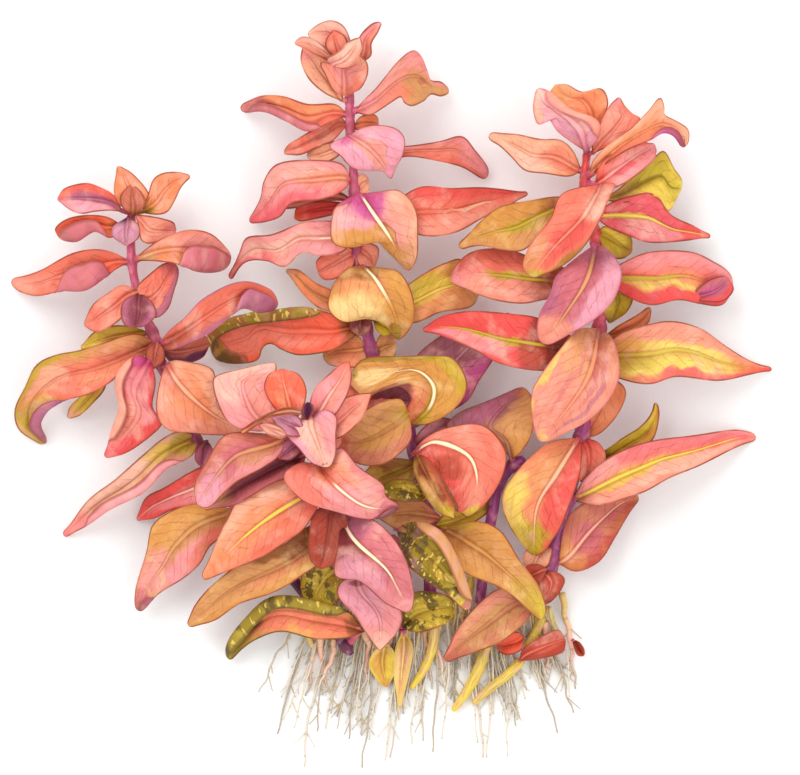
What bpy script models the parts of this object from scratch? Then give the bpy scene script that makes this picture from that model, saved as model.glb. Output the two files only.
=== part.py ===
"""A bunch of rotala, a red aquarium plant, lifted out with its roots and laid down on its back.

Lengths are in millimetres. A place on the bunch is given as it is seen from above: how far across it lies
from the left, towards +X, and how far down from the top, towards the roots and -Y. Heights are +Z, from the
surface that the bunch lies on. Every blade hangs from its stem and is laid over what lies there already.
"""

import math
from typing import NamedTuple

import bpy
import numpy as np

MM = 0.001
ACROSS_MIDDLE = 78.3
DOWN_MIDDLE = 79.1

BLADE_THICKNESS = 0.7
CELLS_ALONG = 7
CELLS_ALONG_LONG = 9
LONG_BLADE = 27.0
CELLS_ACROSS = 4
CURVE_STEPS = 14
LYING_HEIGHT = 0.42

RELIEF_SIZE = 160.0
RELIEF_CELL = 0.7
RELIEF_SAMPLES = 7
LAID_GAP = 0.5
SEATED_SHARE = 0.13
NEAR_SHARE = 0.32
STEM_GAP = 0.45
SEAT = 0.75

STEM_RINGS = 14
ROOT_THICKNESS = 2.2
ROOT_BOX = (51.0, 117.0, 116.0, 154.0)

COLOURS = {
    "coral": (0.90, 0.36, 0.24),
    "salmon": (0.92, 0.50, 0.38),
    "pink": (0.92, 0.52, 0.56),
    "mauve": (0.66, 0.36, 0.52),
    "red": (0.86, 0.22, 0.20),
    "ochre": (0.78, 0.50, 0.20),
    "olive": (0.48, 0.42, 0.06),
    "stem": (0.58, 0.20, 0.36),
    "root": (0.90, 0.85, 0.74),
}


class Stem(NamedTuple):
    """A stem as its middle line, each point with (across, down, height, radius)."""

    line: list


class Leaf(NamedTuple):
    """A blade by its outline from base to tip, where it sits on its stem, and how it bends."""

    stem: str
    seat: str  # side, front or back of the stem
    base: tuple
    tip: tuple
    one: list  # one margin, between base and tip
    other: list  # the other margin
    rib: list = []  # the midrib, where it isn't halfway
    arch: float = 2.0  # rise of the middle over the base
    drop: float = 0.0  # change of height from base to tip
    fold: float = 1.0  # rise of both margins over the midrib
    tilt: float = 0.0  # rise of the other margin over the first
    colour: str = "coral"


STEMS = {
    "stem_left": Stem([
        (26.2, 42.6, 10.0, 0.8), (26.2, 50.0, 10.0, 0.85), (26.9, 56.0, 10.0, 0.9), (29.0, 63.0, 9.5, 0.95),
        (31.0, 68.0, 9.0, 1.0), (33.0, 75.0, 8.5, 1.0), (40.6, 90.6, 7.5, 1.1), (50.0, 105.0, 6.2, 1.1),
        (60.6, 118.4, 5.0, 1.15), (66.0, 125.0, 4.3, 1.15), (70.4, 131.0, 4.0, 1.1)]),
    "stem_tall": Stem([
        (69.2, 12.8, 12.6, 0.55), (69.8, 17.0, 12.0, 0.7), (70.1, 27.0, 12.0, 0.8), (70.8, 36.0, 11.5, 0.9),
        (71.2, 45.0, 11.0, 1.0), (72.2, 60.0, 10.5, 1.1), (75.2, 73.0, 10.0, 1.2), (79.0, 80.0, 9.5, 1.25),
        (83.0, 90.0, 8.5, 1.3), (85.4, 102.0, 7.0, 1.3), (86.0, 112.0, 5.2, 1.3), (86.0, 121.0, 4.1, 1.3)]),
    "stem_right": Stem([
        (117.4, 30.0, 12.0, 0.7), (117.0, 37.0, 12.0, 0.9), (118.0, 43.0, 11.5, 1.0),
        (119.2, 48.0, 11.5, 1.1), (120.0, 57.0, 11.0, 1.2), (120.0, 64.0, 10.5, 1.25),
        (118.8, 74.0, 10.0, 1.3), (116.6, 86.0, 9.0, 1.35), (114.0, 98.0, 7.5, 1.4),
        (111.6, 106.0, 6.0, 1.4), (109.6, 114.6, 4.6, 1.4), (107.0, 121.0, 4.1, 1.3)]),
    "stem_front": Stem([
        (59.5, 86.5, 26.0, 0.9), (62.5, 91.0, 22.0, 1.0), (66.0, 98.0, 17.0, 1.05), (69.0, 106.0, 12.0, 1.1),
        (72.0, 114.0, 7.0, 1.1), (74.0, 121.0, 4.2, 1.1)]),
    "stem_middle": Stem([
        (105.0, 91.8, 11.0, 1.1), (101.6, 94.0, 10.0, 1.2), (99.4, 98.0, 9.0, 1.2), (98.4, 103.0, 8.0, 1.15),
        (97.0, 112.0, 6.0, 1.1), (96.0, 121.0, 4.2, 1.0)]),
}

# The order is the one they are laid in: what lies underneath comes first.
LEAVES = {
    "right_leaf_26": Leaf("stem_right", "side", (106.0, 119.6), (89.0, 132.2),
        [(100.6, 117.6), (96.0, 120.4), (91.4, 126.0)], [(106.0, 123.4), (101.0, 128.0), (95.0, 130.6)],
        arch=3.0, drop=-1.0, fold=1.2, colour="mauve"),
    "tall_leaf_34": Leaf("stem_tall", "side", (88.0, 105.6), (108.4, 124.0),
        [(95.0, 104.2), (100.0, 106.0), (104.0, 112.0), (107.6, 117.0), (109.0, 121.0)],
        [(89.6, 109.6), (92.0, 114.0), (100.0, 117.6), (105.0, 121.4)],
        arch=5.0, drop=-4.0, fold=1.4, colour="ochre"),
    "middle_leaf_1": Leaf("stem_middle", "front", (102.4, 92.0), (104.4, 77.4),
        [(97.0, 86.6), (89.6, 85.6), (91.6, 82.6), (98.0, 80.0)],
        [(104.6, 90.0), (106.6, 86.0), (106.4, 80.0)],
        arch=2.0, drop=-6.0, fold=1.0, colour="mauve"),
    "tall_leaf_24": Leaf("stem_tall", "side", (75.0, 62.2), (96.0, 58.0),
        [(79.0, 58.8), (85.0, 54.6), (89.4, 52.6), (92.6, 52.4)],
        [(78.0, 64.0), (83.0, 64.6), (88.0, 62.4), (94.0, 61.0)],
        arch=2.0, drop=-6.0, colour="olive"),
    "tall_leaf_25": Leaf("stem_tall", "side", (72.6, 65.6), (42.4, 70.0),
        [(70.0, 63.4), (66.0, 62.6), (60.0, 61.6), (52.0, 62.8), (46.0, 64.4), (42.4, 67.0)],
        [(70.0, 68.0), (66.0, 70.0), (59.0, 71.0), (55.0, 69.6), (51.0, 71.8), (46.0, 71.8)],
        arch=3.0, drop=-9.4, fold=1.6, tilt=-1.0, colour="red"),
    "tall_leaf_19": Leaf("stem_tall", "side", (71.0, 47.2), (45.8, 55.6),
        [(67.0, 44.4), (63.0, 44.2), (60.0, 44.6), (54.4, 46.8), (49.4, 47.4), (47.8, 50.4)],
        [(68.6, 50.4), (64.0, 51.2), (60.4, 50.6), (57.0, 53.4), (53.2, 52.2), (49.2, 52.4)],
        arch=2.4, drop=-9.6, fold=1.2, colour="salmon"),
    "tall_leaf_18": Leaf("stem_tall", "side", (72.0, 42.4), (105.6, 38.6),
        [(78.0, 40.6), (84.0, 37.4), (90.0, 37.6), (96.0, 37.4), (101.0, 37.8)],
        [(78.0, 44.4), (84.4, 47.2), (91.0, 46.6), (97.0, 43.4), (102.0, 41.0)],
        arch=2.6, drop=-7.0, fold=1.2, colour="red"),
    "tall_leaf_15": Leaf("stem_tall", "side", (71.6, 30.8), (97.4, 35.4),
        [(77.0, 29.6), (83.0, 29.0), (88.0, 28.2), (92.4, 27.2), (95.0, 30.0), (97.0, 33.2)],
        [(77.0, 32.0), (82.0, 31.4), (87.4, 32.2), (92.0, 33.2), (95.0, 34.4)],
        arch=1.8, drop=-10.0, fold=0.8, colour="coral"),
    "tall_leaf_13": Leaf("stem_tall", "side", (70.4, 36.0), (49.8, 44.2),
        [(68.0, 32.6), (61.0, 32.0), (55.4, 32.8), (52.8, 36.0), (52.0, 39.6)],
        [(68.6, 38.2), (64.0, 40.0), (58.6, 40.6), (56.0, 43.4), (52.6, 44.4)],
        arch=3.0, drop=-9.0, fold=1.4, colour="salmon"),
    "tall_leaf_8": Leaf("stem_tall", "side", (70.6, 22.4), (89.6, 18.2),
        [(73.0, 19.4), (76.6, 16.4), (79.8, 12.4), (82.0, 10.2), (84.6, 11.6), (86.0, 15.4)],
        [(74.0, 23.0), (77.6, 20.8), (80.2, 19.8), (82.4, 20.8), (85.4, 19.2)],
        arch=3.6, drop=-9.0, fold=1.4, colour="salmon"),
    "tall_leaf_7": Leaf("stem_tall", "side", (69.6, 23.0), (48.0, 21.6),
        [(67.0, 20.8), (61.6, 20.8), (56.6, 19.2), (52.0, 19.2)],
        [(66.0, 24.6), (61.6, 26.2), (57.4, 24.2), (53.0, 22.2)],
        arch=2.0, drop=-10.5, fold=1.0, colour="coral"),
    "tall_leaf_23": Leaf("stem_tall", "front", (72.4, 53.2), (79.6, 68.0),
        [(69.6, 53.6), (66.6, 57.0), (65.6, 61.6), (68.6, 64.4), (73.0, 63.8), (77.0, 64.8)],
        [(76.4, 53.6), (80.0, 54.6), (82.4, 59.0), (82.4, 64.0)],
        [(75.6, 56.6), (79.0, 63.0)], arch=4.6, drop=-1.0, fold=-1.6, colour="ochre"),
    "tall_leaf_17": Leaf("stem_tall", "front", (72.0, 38.8), (81.6, 54.2),
        [(69.0, 40.0), (66.6, 42.4), (66.4, 48.4), (70.6, 49.6), (74.4, 47.8), (78.0, 50.8)],
        [(75.6, 38.4), (80.0, 38.2), (83.2, 42.0), (83.6, 48.0), (83.2, 51.8)],
        [(74.4, 42.4), (78.0, 47.6)], arch=5.0, drop=-0.5, fold=-1.6, colour="pink"),
    "tall_leaf_11": Leaf("stem_tall", "front", (69.6, 27.2), (78.0, 34.8),
        [(66.4, 29.0), (67.6, 31.0), (70.4, 34.0), (74.0, 34.4)],
        [(73.0, 25.8), (77.0, 25.2), (80.6, 27.4), (80.6, 31.0), (79.6, 33.4)],
        arch=3.6, drop=0.0, fold=-1.2, colour="pink"),
    "tall_leaf_2": Leaf("stem_tall", "front", (69.0, 12.4), (61.6, 6.6),
        [(70.2, 9.0), (69.0, 5.6), (66.6, 4.2), (64.0, 4.8)], [(67.4, 11.4), (64.8, 9.6), (62.6, 8.6)],
        arch=3.0, drop=2.0, fold=1.0, colour="salmon"),
    "tall_leaf_5": Leaf("stem_tall", "front", (69.4, 19.2), (71.6, 11.0),
        [(66.8, 18.4), (65.0, 15.0), (64.2, 12.6), (68.6, 13.4)],
        [(72.2, 17.8), (73.6, 15.0), (73.4, 12.6)],
        arch=3.0, drop=4.0, fold=1.2, colour="coral"),
    "right_leaf_25": Leaf("stem_right", "side", (111.4, 111.6), (128.0, 98.8),
        [(114.0, 105.0), (117.4, 101.6), (122.0, 100.2)],
        [(114.4, 114.0), (118.0, 113.4), (122.4, 109.0), (126.0, 103.4)],
        arch=2.0, drop=-3.0, colour="mauve"),
    "right_leaf_23": Leaf("stem_right", "side", (114.2, 100.2), (151.4, 87.4),
        [(117.0, 95.6), (120.6, 92.2), (125.4, 89.6), (131.0, 88.0), (139.0, 87.0), (147.0, 86.0)],
        [(120.0, 101.0), (128.4, 98.6), (134.0, 95.6), (140.0, 93.2), (146.4, 90.0)],
        arch=5.0, drop=-8.0, fold=1.6, colour="salmon"),
    "right_leaf_19": Leaf("stem_right", "side", (119.4, 71.0), (154.6, 73.8),
        [(123.6, 67.0), (129.0, 65.0), (134.4, 64.2), (140.0, 65.6), (145.0, 69.0), (149.6, 71.8)],
        [(121.6, 74.6), (126.0, 76.4), (130.4, 76.8), (135.4, 75.4), (143.6, 76.2), (150.0, 75.0)],
        arch=4.6, drop=-9.8, fold=1.6, colour="salmon"),
    "right_leaf_17": Leaf("stem_right", "side", (117.0, 69.6), (84.6, 66.0),
        [(112.6, 66.0), (107.6, 63.6), (102.6, 62.8), (94.0, 62.2), (88.0, 63.4)],
        [(113.0, 73.0), (107.6, 74.2), (100.0, 72.8), (95.6, 70.4), (90.0, 67.8)],
        arch=3.4, drop=-5.0, fold=1.4, colour="red"),
    "right_leaf_14": Leaf("stem_right", "side", (120.6, 55.2), (146.8, 57.8),
        [(124.0, 52.8), (130.0, 50.4), (138.0, 50.6), (143.0, 53.2), (146.0, 55.4)],
        [(124.0, 58.6), (130.0, 61.0), (135.6, 59.8), (140.0, 60.2), (144.6, 60.2)],
        arch=4.0, drop=-9.6, fold=1.4, colour="red"),
    "right_leaf_12": Leaf("stem_right", "side", (118.6, 56.4), (90.2, 56.2),
        [(113.0, 53.6), (106.6, 51.6), (101.0, 49.8), (95.0, 50.2), (91.6, 52.8)],
        [(114.0, 59.0), (109.0, 60.0), (104.0, 60.8), (98.0, 59.8), (93.0, 57.6)],
        arch=3.0, drop=-4.0, fold=1.4, colour="salmon"),
    "right_leaf_10": Leaf("stem_right", "side", (118.8, 43.2), (142.2, 47.2),
        [(122.0, 40.6), (126.0, 39.2), (130.6, 38.8), (134.4, 43.0), (138.6, 45.0)],
        [(121.4, 45.4), (125.6, 47.2), (130.0, 48.6), (137.0, 48.2)],
        arch=2.4, drop=-7.0, fold=1.2, colour="red"),
    "right_leaf_8": Leaf("stem_right", "side", (116.6, 41.0), (91.8, 49.4),
        [(112.0, 39.4), (106.0, 40.2), (100.0, 41.4), (96.0, 44.4)],
        [(112.6, 43.4), (108.6, 46.4), (104.6, 50.2), (100.0, 50.0), (96.0, 49.2)],
        arch=3.0, drop=-6.0, fold=1.2, colour="ochre"),
    "right_leaf_7": Leaf("stem_right", "side", (116.4, 34.2), (97.8, 27.0),
        [(114.6, 30.2), (112.0, 28.0), (108.0, 27.8), (103.0, 26.8)],
        [(113.6, 35.4), (109.0, 34.8), (105.0, 34.2), (102.4, 31.6), (100.0, 29.0)],
        arch=2.6, drop=-6.0, fold=1.2, colour="salmon"),
    "right_leaf_21": Leaf("stem_right", "front", (116.0, 87.4), (106.8, 111.0),
        [(110.0, 88.4), (105.6, 91.8), (101.6, 96.6), (100.4, 101.0), (102.6, 106.4)],
        [(116.4, 90.0), (116.0, 94.6), (114.4, 99.6), (112.2, 105.4), (109.2, 109.6)],
        [(111.4, 94.6), (107.4, 101.4)], arch=5.0, drop=-4.0, fold=-2.0, colour="coral"),
    "right_leaf_18": Leaf("stem_right", "front", (119.8, 65.6), (108.0, 88.2),
        [(115.4, 66.0), (111.6, 70.2), (107.6, 75.6), (106.2, 79.0), (106.6, 84.6)],
        [(122.6, 68.0), (123.8, 74.4), (122.0, 79.4), (118.0, 83.8), (112.0, 87.0)],
        [(118.0, 74.0), (114.6, 80.0)], arch=5.0, drop=-2.0, fold=-2.0, colour="salmon"),
    "right_leaf_13": Leaf("stem_right", "front", (119.2, 48.6), (108.8, 68.8),
        [(114.6, 52.0), (111.0, 55.4), (110.0, 58.6), (107.8, 63.0), (107.6, 66.8)],
        [(122.0, 50.4), (124.2, 54.6), (122.6, 60.0), (118.4, 64.2), (112.8, 67.2)],
        [(117.2, 56.0), (112.8, 63.0)], arch=5.0, drop=-1.0, fold=-1.8, colour="mauve"),
    "right_leaf_9": Leaf("stem_right", "front", (120.6, 36.6), (106.0, 55.4),
        [(112.4, 38.8), (109.8, 44.0), (106.0, 49.0), (104.8, 53.0)],
        [(123.0, 37.0), (121.6, 40.0), (119.4, 45.0), (116.4, 49.8), (112.0, 53.4)],
        [(116.4, 43.6), (110.6, 49.6)], arch=5.0, drop=-1.0, fold=-1.6, colour="salmon"),
    "right_leaf_4": Leaf("stem_right", "front", (117.6, 35.4), (137.0, 28.8),
        [(118.6, 32.0), (121.4, 29.2), (126.0, 25.8), (129.0, 22.6), (132.0, 20.0), (136.4, 24.0)],
        [(121.0, 33.0), (125.0, 30.4), (129.4, 29.2), (133.2, 27.2)],
        arch=4.0, drop=1.0, fold=1.0, colour="coral"),
    "right_leaf_1": Leaf("stem_right", "front", (117.4, 30.6), (107.8, 19.0),
        [(119.6, 27.4), (119.2, 24.2), (114.0, 22.0), (110.6, 19.8)],
        [(114.6, 28.6), (111.2, 25.6), (108.4, 24.0)],
        arch=3.6, drop=2.0, fold=-1.2, colour="mauve"),
    "left_leaf_18": Leaf("stem_left", "side", (40.0, 87.4), (12.6, 107.4),
        [(36.0, 86.2), (32.6, 87.6), (28.6, 91.0), (23.0, 96.0), (17.4, 100.4)],
        [(38.4, 91.2), (33.2, 93.8), (28.6, 98.4), (22.0, 101.8), (16.4, 105.6)],
        arch=2.0, drop=-7.4, fold=1.2, colour="pink"),
    "left_leaf_11": Leaf("stem_left", "side", (31.4, 68.6), (8.4, 88.4),
        [(28.0, 66.8), (25.0, 67.0), (21.0, 68.4), (16.0, 70.0), (11.0, 71.0), (7.2, 73.0), (5.0, 77.2),
         (2.8, 82.0), (3.8, 86.2)],
        [(28.4, 71.6), (25.0, 73.6), (22.0, 76.4), (18.0, 78.2), (12.0, 79.0), (8.6, 80.6), (6.6, 83.4),
         (7.0, 86.4)],
        [(20.0, 73.4), (12.0, 75.4), (6.4, 79.4), (4.6, 84.0)],
        arch=4.0, drop=-8.4, fold=1.8, colour="coral"),
    "left_leaf_13": Leaf("stem_left", "side", (31.6, 68.8), (55.6, 61.2),
        [(34.0, 66.0), (37.0, 63.6), (40.0, 60.4), (43.0, 58.4), (46.4, 56.8), (50.0, 56.4), (54.0, 58.2)],
        [(34.0, 70.0), (38.0, 68.6), (41.6, 67.0), (45.0, 64.4), (48.6, 61.6), (52.0, 62.2)],
        arch=4.6, drop=-5.0, fold=1.4, tilt=-1.0, colour="coral"),
    "left_leaf_8": Leaf("stem_left", "side", (26.4, 52.2), (46.2, 51.4),
        [(31.0, 48.6), (35.0, 46.8), (38.6, 46.2), (42.4, 47.4)],
        [(30.4, 52.2), (35.6, 52.8), (40.0, 54.0), (44.0, 53.4)],
        arch=3.0, drop=-8.4, fold=1.2, colour="coral"),
    "left_leaf_7": Leaf("stem_left", "side", (26.2, 52.4), (2.0, 56.2),
        [(23.0, 50.6), (19.0, 49.8), (14.0, 50.8), (8.0, 54.0)],
        [(23.4, 53.8), (20.6, 55.8), (17.0, 58.0), (12.4, 58.2), (7.6, 59.2), (4.0, 58.2)],
        arch=2.6, drop=-9.5, fold=1.4, colour="coral"),
    "left_leaf_9": Leaf("stem_left", "front", (28.0, 58.0), (16.8, 65.0),
        [(24.4, 57.0), (21.6, 58.6), (18.6, 61.0)], [(25.6, 62.4), (22.4, 65.2), (19.2, 66.2)],
        arch=2.6, drop=-3.0, fold=0.8, colour="coral"),
    "left_leaf_16": Leaf("stem_left", "front", (30.2, 71.8), (21.0, 91.4),
        [(27.2, 71.2), (23.8, 74.2), (23.2, 78.0), (24.0, 81.4), (22.4, 86.0)],
        [(31.2, 76.4), (30.6, 81.4), (32.6, 84.4), (30.0, 87.4), (25.2, 90.6)],
        arch=3.0, drop=-4.0, fold=-1.4, colour="red"),
    "left_leaf_17": Leaf("stem_left", "front", (33.4, 72.6), (49.8, 86.6),
        [(36.4, 72.2), (41.0, 73.0), (43.2, 76.6), (43.6, 81.4), (47.0, 84.6)],
        [(32.4, 76.4), (31.6, 81.4), (33.6, 85.2), (38.0, 86.4), (43.4, 87.0)],
        [(35.6, 76.4), (39.0, 80.0), (43.4, 83.4)], arch=4.0, drop=-1.0, fold=-1.4, colour="coral"),
    "left_leaf_5": Leaf("stem_left", "front", (24.6, 45.2), (12.0, 47.8),
        [(21.6, 43.4), (17.6, 43.0), (13.6, 43.8), (11.2, 45.8)],
        [(22.4, 47.6), (19.0, 46.2), (15.4, 48.0)],
        arch=2.4, drop=-5.0, fold=1.0, colour="coral"),
    "left_leaf_2": Leaf("stem_left", "front", (26.0, 42.6), (23.6, 33.2),
        [(23.4, 40.4), (22.8, 37.4)], [(29.2, 41.0), (29.8, 38.6), (26.6, 34.8)],
        arch=1.6, drop=-2.0, fold=1.0, colour="coral"),
    "tall_leaf_35": Leaf("stem_tall", "front", (82.0, 106.2), (93.6, 121.8),
        [(86.4, 106.4), (89.4, 109.6), (92.8, 116.0)], [(80.6, 110.4), (82.6, 114.4), (88.0, 118.0)],
        arch=3.0, drop=-2.0, fold=-1.2, colour="olive"),
    "tall_leaf_30": Leaf("stem_tall", "front", (82.2, 85.0), (70.2, 75.4),
        [(86.4, 84.6), (91.4, 81.2), (93.4, 76.8), (91.0, 72.0), (87.0, 71.2), (80.0, 71.6), (73.0, 72.6)],
        [(80.6, 83.0), (82.2, 79.8), (80.2, 77.4), (76.6, 78.0), (73.0, 79.0)],
        [(86.0, 81.2), (86.6, 77.0), (83.0, 74.0), (76.6, 74.8)],
        arch=4.0, drop=6.0, fold=1.6, colour="ochre"),
    "tall_leaf_32": Leaf("stem_tall", "front", (82.0, 91.4), (93.8, 103.2),
        [(85.0, 87.6), (90.0, 85.4), (96.6, 85.0), (101.0, 89.8), (100.6, 95.0), (97.6, 100.0)],
        [(84.8, 92.0), (87.4, 96.6), (90.2, 101.2)],
        [(87.0, 88.4), (93.6, 91.0), (95.4, 96.0), (94.4, 100.4)],
        arch=5.0, drop=0.0, fold=-1.4, colour="red"),
    "left_leaf_21": Leaf("stem_left", "front", (73.0, 126.4), (45.4, 131.8),
        [(69.6, 122.4), (64.0, 120.4), (57.4, 119.2), (53.2, 120.0), (49.2, 123.6), (46.2, 127.8)],
        [(68.6, 127.8), (62.6, 127.8), (56.4, 126.4), (51.2, 128.0)],
        arch=4.0, drop=-3.4, fold=1.0, colour="salmon"),
    "front_leaf_10": Leaf("stem_front", "side", (67.4, 106.4), (37.6, 125.2),
        [(62.0, 106.0), (56.0, 110.4), (49.0, 112.6), (42.6, 117.4), (39.2, 121.4)],
        [(66.0, 111.0), (61.0, 114.8), (55.0, 118.4), (48.0, 120.8), (42.8, 124.2)],
        arch=3.0, drop=-6.0, fold=1.2, colour="ochre"),
    "left_leaf_20": Leaf("stem_left", "front", (46.6, 102.0), (27.4, 122.2),
        [(41.0, 100.6), (35.6, 101.6), (30.6, 104.8), (29.2, 110.4), (27.2, 117.4)],
        [(46.4, 105.4), (42.0, 109.4), (40.0, 112.8), (36.6, 115.8), (32.0, 118.6)],
        arch=4.0, drop=-4.0, fold=-1.4, colour="ochre"),
    "front_leaf_12": Leaf("stem_front", "front", (68.2, 103.0), (81.8, 122.2),
        [(73.6, 103.2), (78.4, 107.0), (81.6, 112.6), (82.6, 118.6)],
        [(67.6, 109.0), (67.0, 115.0), (72.0, 116.2), (77.0, 120.4)],
        [(71.0, 108.0), (77.0, 113.4), (79.4, 117.4)], arch=4.0, drop=-6.0, fold=-1.6, colour="pink"),
    "front_leaf_8": Leaf("stem_front", "side", (65.0, 97.6), (40.6, 115.6),
        [(60.0, 95.0), (54.0, 96.6), (48.4, 98.6), (45.6, 103.6), (43.0, 109.0)],
        [(64.0, 100.6), (61.2, 105.4), (58.4, 107.6), (52.0, 111.6), (44.4, 114.6)],
        [(58.4, 100.6), (50.0, 106.4)], arch=4.0, drop=-6.0, fold=-1.6, colour="coral"),
    "front_leaf_14": Leaf("stem_front", "front", (64.0, 93.0), (79.8, 101.8),
        [(68.0, 89.4), (71.8, 93.2), (76.4, 96.6), (77.2, 99.4)],
        [(60.0, 92.4), (56.8, 95.4), (60.6, 100.0), (67.0, 102.2), (74.0, 103.6)],
        [(65.2, 95.0), (69.0, 98.6), (73.4, 101.2)], arch=4.0, drop=-3.0, fold=-1.4, colour="salmon"),
    "front_leaf_6": Leaf("stem_front", "side", (57.6, 87.6), (39.6, 100.8),
        [(52.4, 86.6), (45.4, 86.8), (42.0, 91.4), (39.4, 97.0)],
        [(56.0, 91.0), (52.6, 93.6), (47.0, 96.6), (42.0, 100.8)],
        arch=1.6, drop=-6.0, fold=-1.2, colour="mauve"),
    "front_leaf_1": Leaf("stem_front", "side", (56.8, 86.0), (54.0, 72.2),
        [(50.6, 86.0), (45.0, 83.4), (42.6, 78.2), (43.6, 75.4), (49.4, 73.6)],
        [(56.6, 82.6), (54.8, 78.0), (55.4, 74.4)],
        arch=1.0, drop=-3.0, fold=1.2, colour="pink"),
    "front_leaf_5": Leaf("stem_front", "front", (61.0, 84.4), (63.6, 94.0),
        [(57.6, 85.0), (57.8, 89.4), (60.4, 92.6)], [(66.2, 84.4), (67.4, 88.4), (65.8, 92.4)],
        arch=2.4, drop=0.0, fold=-0.8, colour="pink"),
}

ROOT_FANS = {
    "roots_left": [
        (62.0, 121.0), (70.0, 117.4), (80.0, 117.0), (86.6, 118.6), (87.0, 132.0), (85.0, 149.0), (82.6, 149.4),
        (80.6, 140.0), (78.0, 152.6), (76.2, 152.4), (75.2, 143.0), (73.4, 154.0), (71.6, 154.0), (71.0, 142.0),
        (68.8, 148.0), (67.4, 140.0), (62.2, 153.8), (60.2, 153.6), (62.0, 140.0), (56.2, 147.4), (54.8, 146.0),
        (58.0, 134.0), (51.6, 139.6), (51.4, 137.4), (57.0, 128.0)],
    "roots_right": [
        (87.6, 118.6), (98.0, 117.4), (108.0, 118.0), (112.4, 120.6), (114.6, 128.0), (115.6, 142.6),
        (114.0, 143.0), (112.8, 136.0), (112.4, 147.0), (110.8, 147.0), (108.4, 137.0), (102.6, 152.0),
        (101.0, 152.0), (101.6, 138.0), (97.6, 152.2), (96.0, 152.0), (96.0, 138.0), (91.0, 142.0),
        (88.0, 150.0), (86.0, 150.8), (88.0, 132.0)],
}


def curve_through(points, shares):
    """Places at the given shares of the length of a smooth curve through the points."""
    points = np.array(points, float)
    ends = np.vstack([2 * points[0] - points[1], points, 2 * points[-1] - points[-2]])
    dense = []
    for a, b, c, d in zip(ends, ends[1:], ends[2:], ends[3:]):
        for u in np.arange(CURVE_STEPS) / CURVE_STEPS:
            square = (2 * a - 5 * b + 4 * c - d) * u**2
            cube = (3 * b - a - 3 * c + d) * u**3
            dense.append(0.5 * (2 * b + (c - a) * u + square + cube))
    dense = np.array([*dense, points[-1]])
    reach = np.concatenate([[0.0], np.cumsum(np.linalg.norm(np.diff(dense, axis=0), axis=1))])
    at = np.array(shares) * reach[-1]
    return np.stack([np.interp(at, reach, column) for column in dense.T], axis=-1)


def stem_line(stem):
    """The stem's middle line as close-set points of (across, down, height, radius)."""
    return curve_through(STEMS[stem].line, np.linspace(0.0, 1.0, 240))


def nearest_on_stem(stem, place):
    """The point of the stem's middle line nearest to a place seen from above."""
    line = stem_line(stem)
    return line[np.argmin(np.linalg.norm(line[:, :2] - np.array(place), axis=1))]


def blade_surface(leaf, along, across):
    """The blade's middle surface, as [along][across] points of (across, down, height)."""
    along = np.asarray(along)
    across = np.asarray(across)
    one = curve_through([leaf.base, *leaf.one, leaf.tip], along)
    other = curve_through([leaf.base, *leaf.other, leaf.tip], along)
    rib = curve_through([leaf.base, *leaf.rib, leaf.tip], along) if leaf.rib else (one + other) / 2
    margin = np.where((across < 0)[None, :, None], one[:, None], other[:, None])
    flat = rib[:, None] + (margin - rib[:, None]) * np.abs(across)[None, :, None]
    width = np.linalg.norm(one - other, axis=1)
    wide = (width / width.max())[:, None]
    seat = {"side": 0.0, "front": SEAT, "back": -SEAT}[leaf.seat]
    _, _, stem_height, stem_radius = nearest_on_stem(leaf.stem, leaf.base)
    seat_height = stem_height + seat * (1 + stem_radius)
    height = seat_height + leaf.arch * np.sin(math.pi * along**0.8) + leaf.drop * along**2
    bend = leaf.fold * np.abs(across) ** 1.5 * wide + leaf.tilt * across * wide
    return np.dstack([flat, height[:, None] + bend])


def first_share(leaf):
    """How far along a side blade its base row clears the stem."""
    if leaf.seat == "front":
        return 0.03
    line = stem_line(leaf.stem)
    for share in np.arange(0.02, 0.3, 0.01):
        row = blade_surface(leaf, [share, 1.0], np.linspace(-1, 1, CELLS_ACROSS + 1))[0]
        away = np.linalg.norm(row[:, None, :2] - line[None, :, :2], axis=2) - line[None, :, 3]
        if away.min() > STEM_GAP:
            return float(share)
    return 0.3


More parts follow.
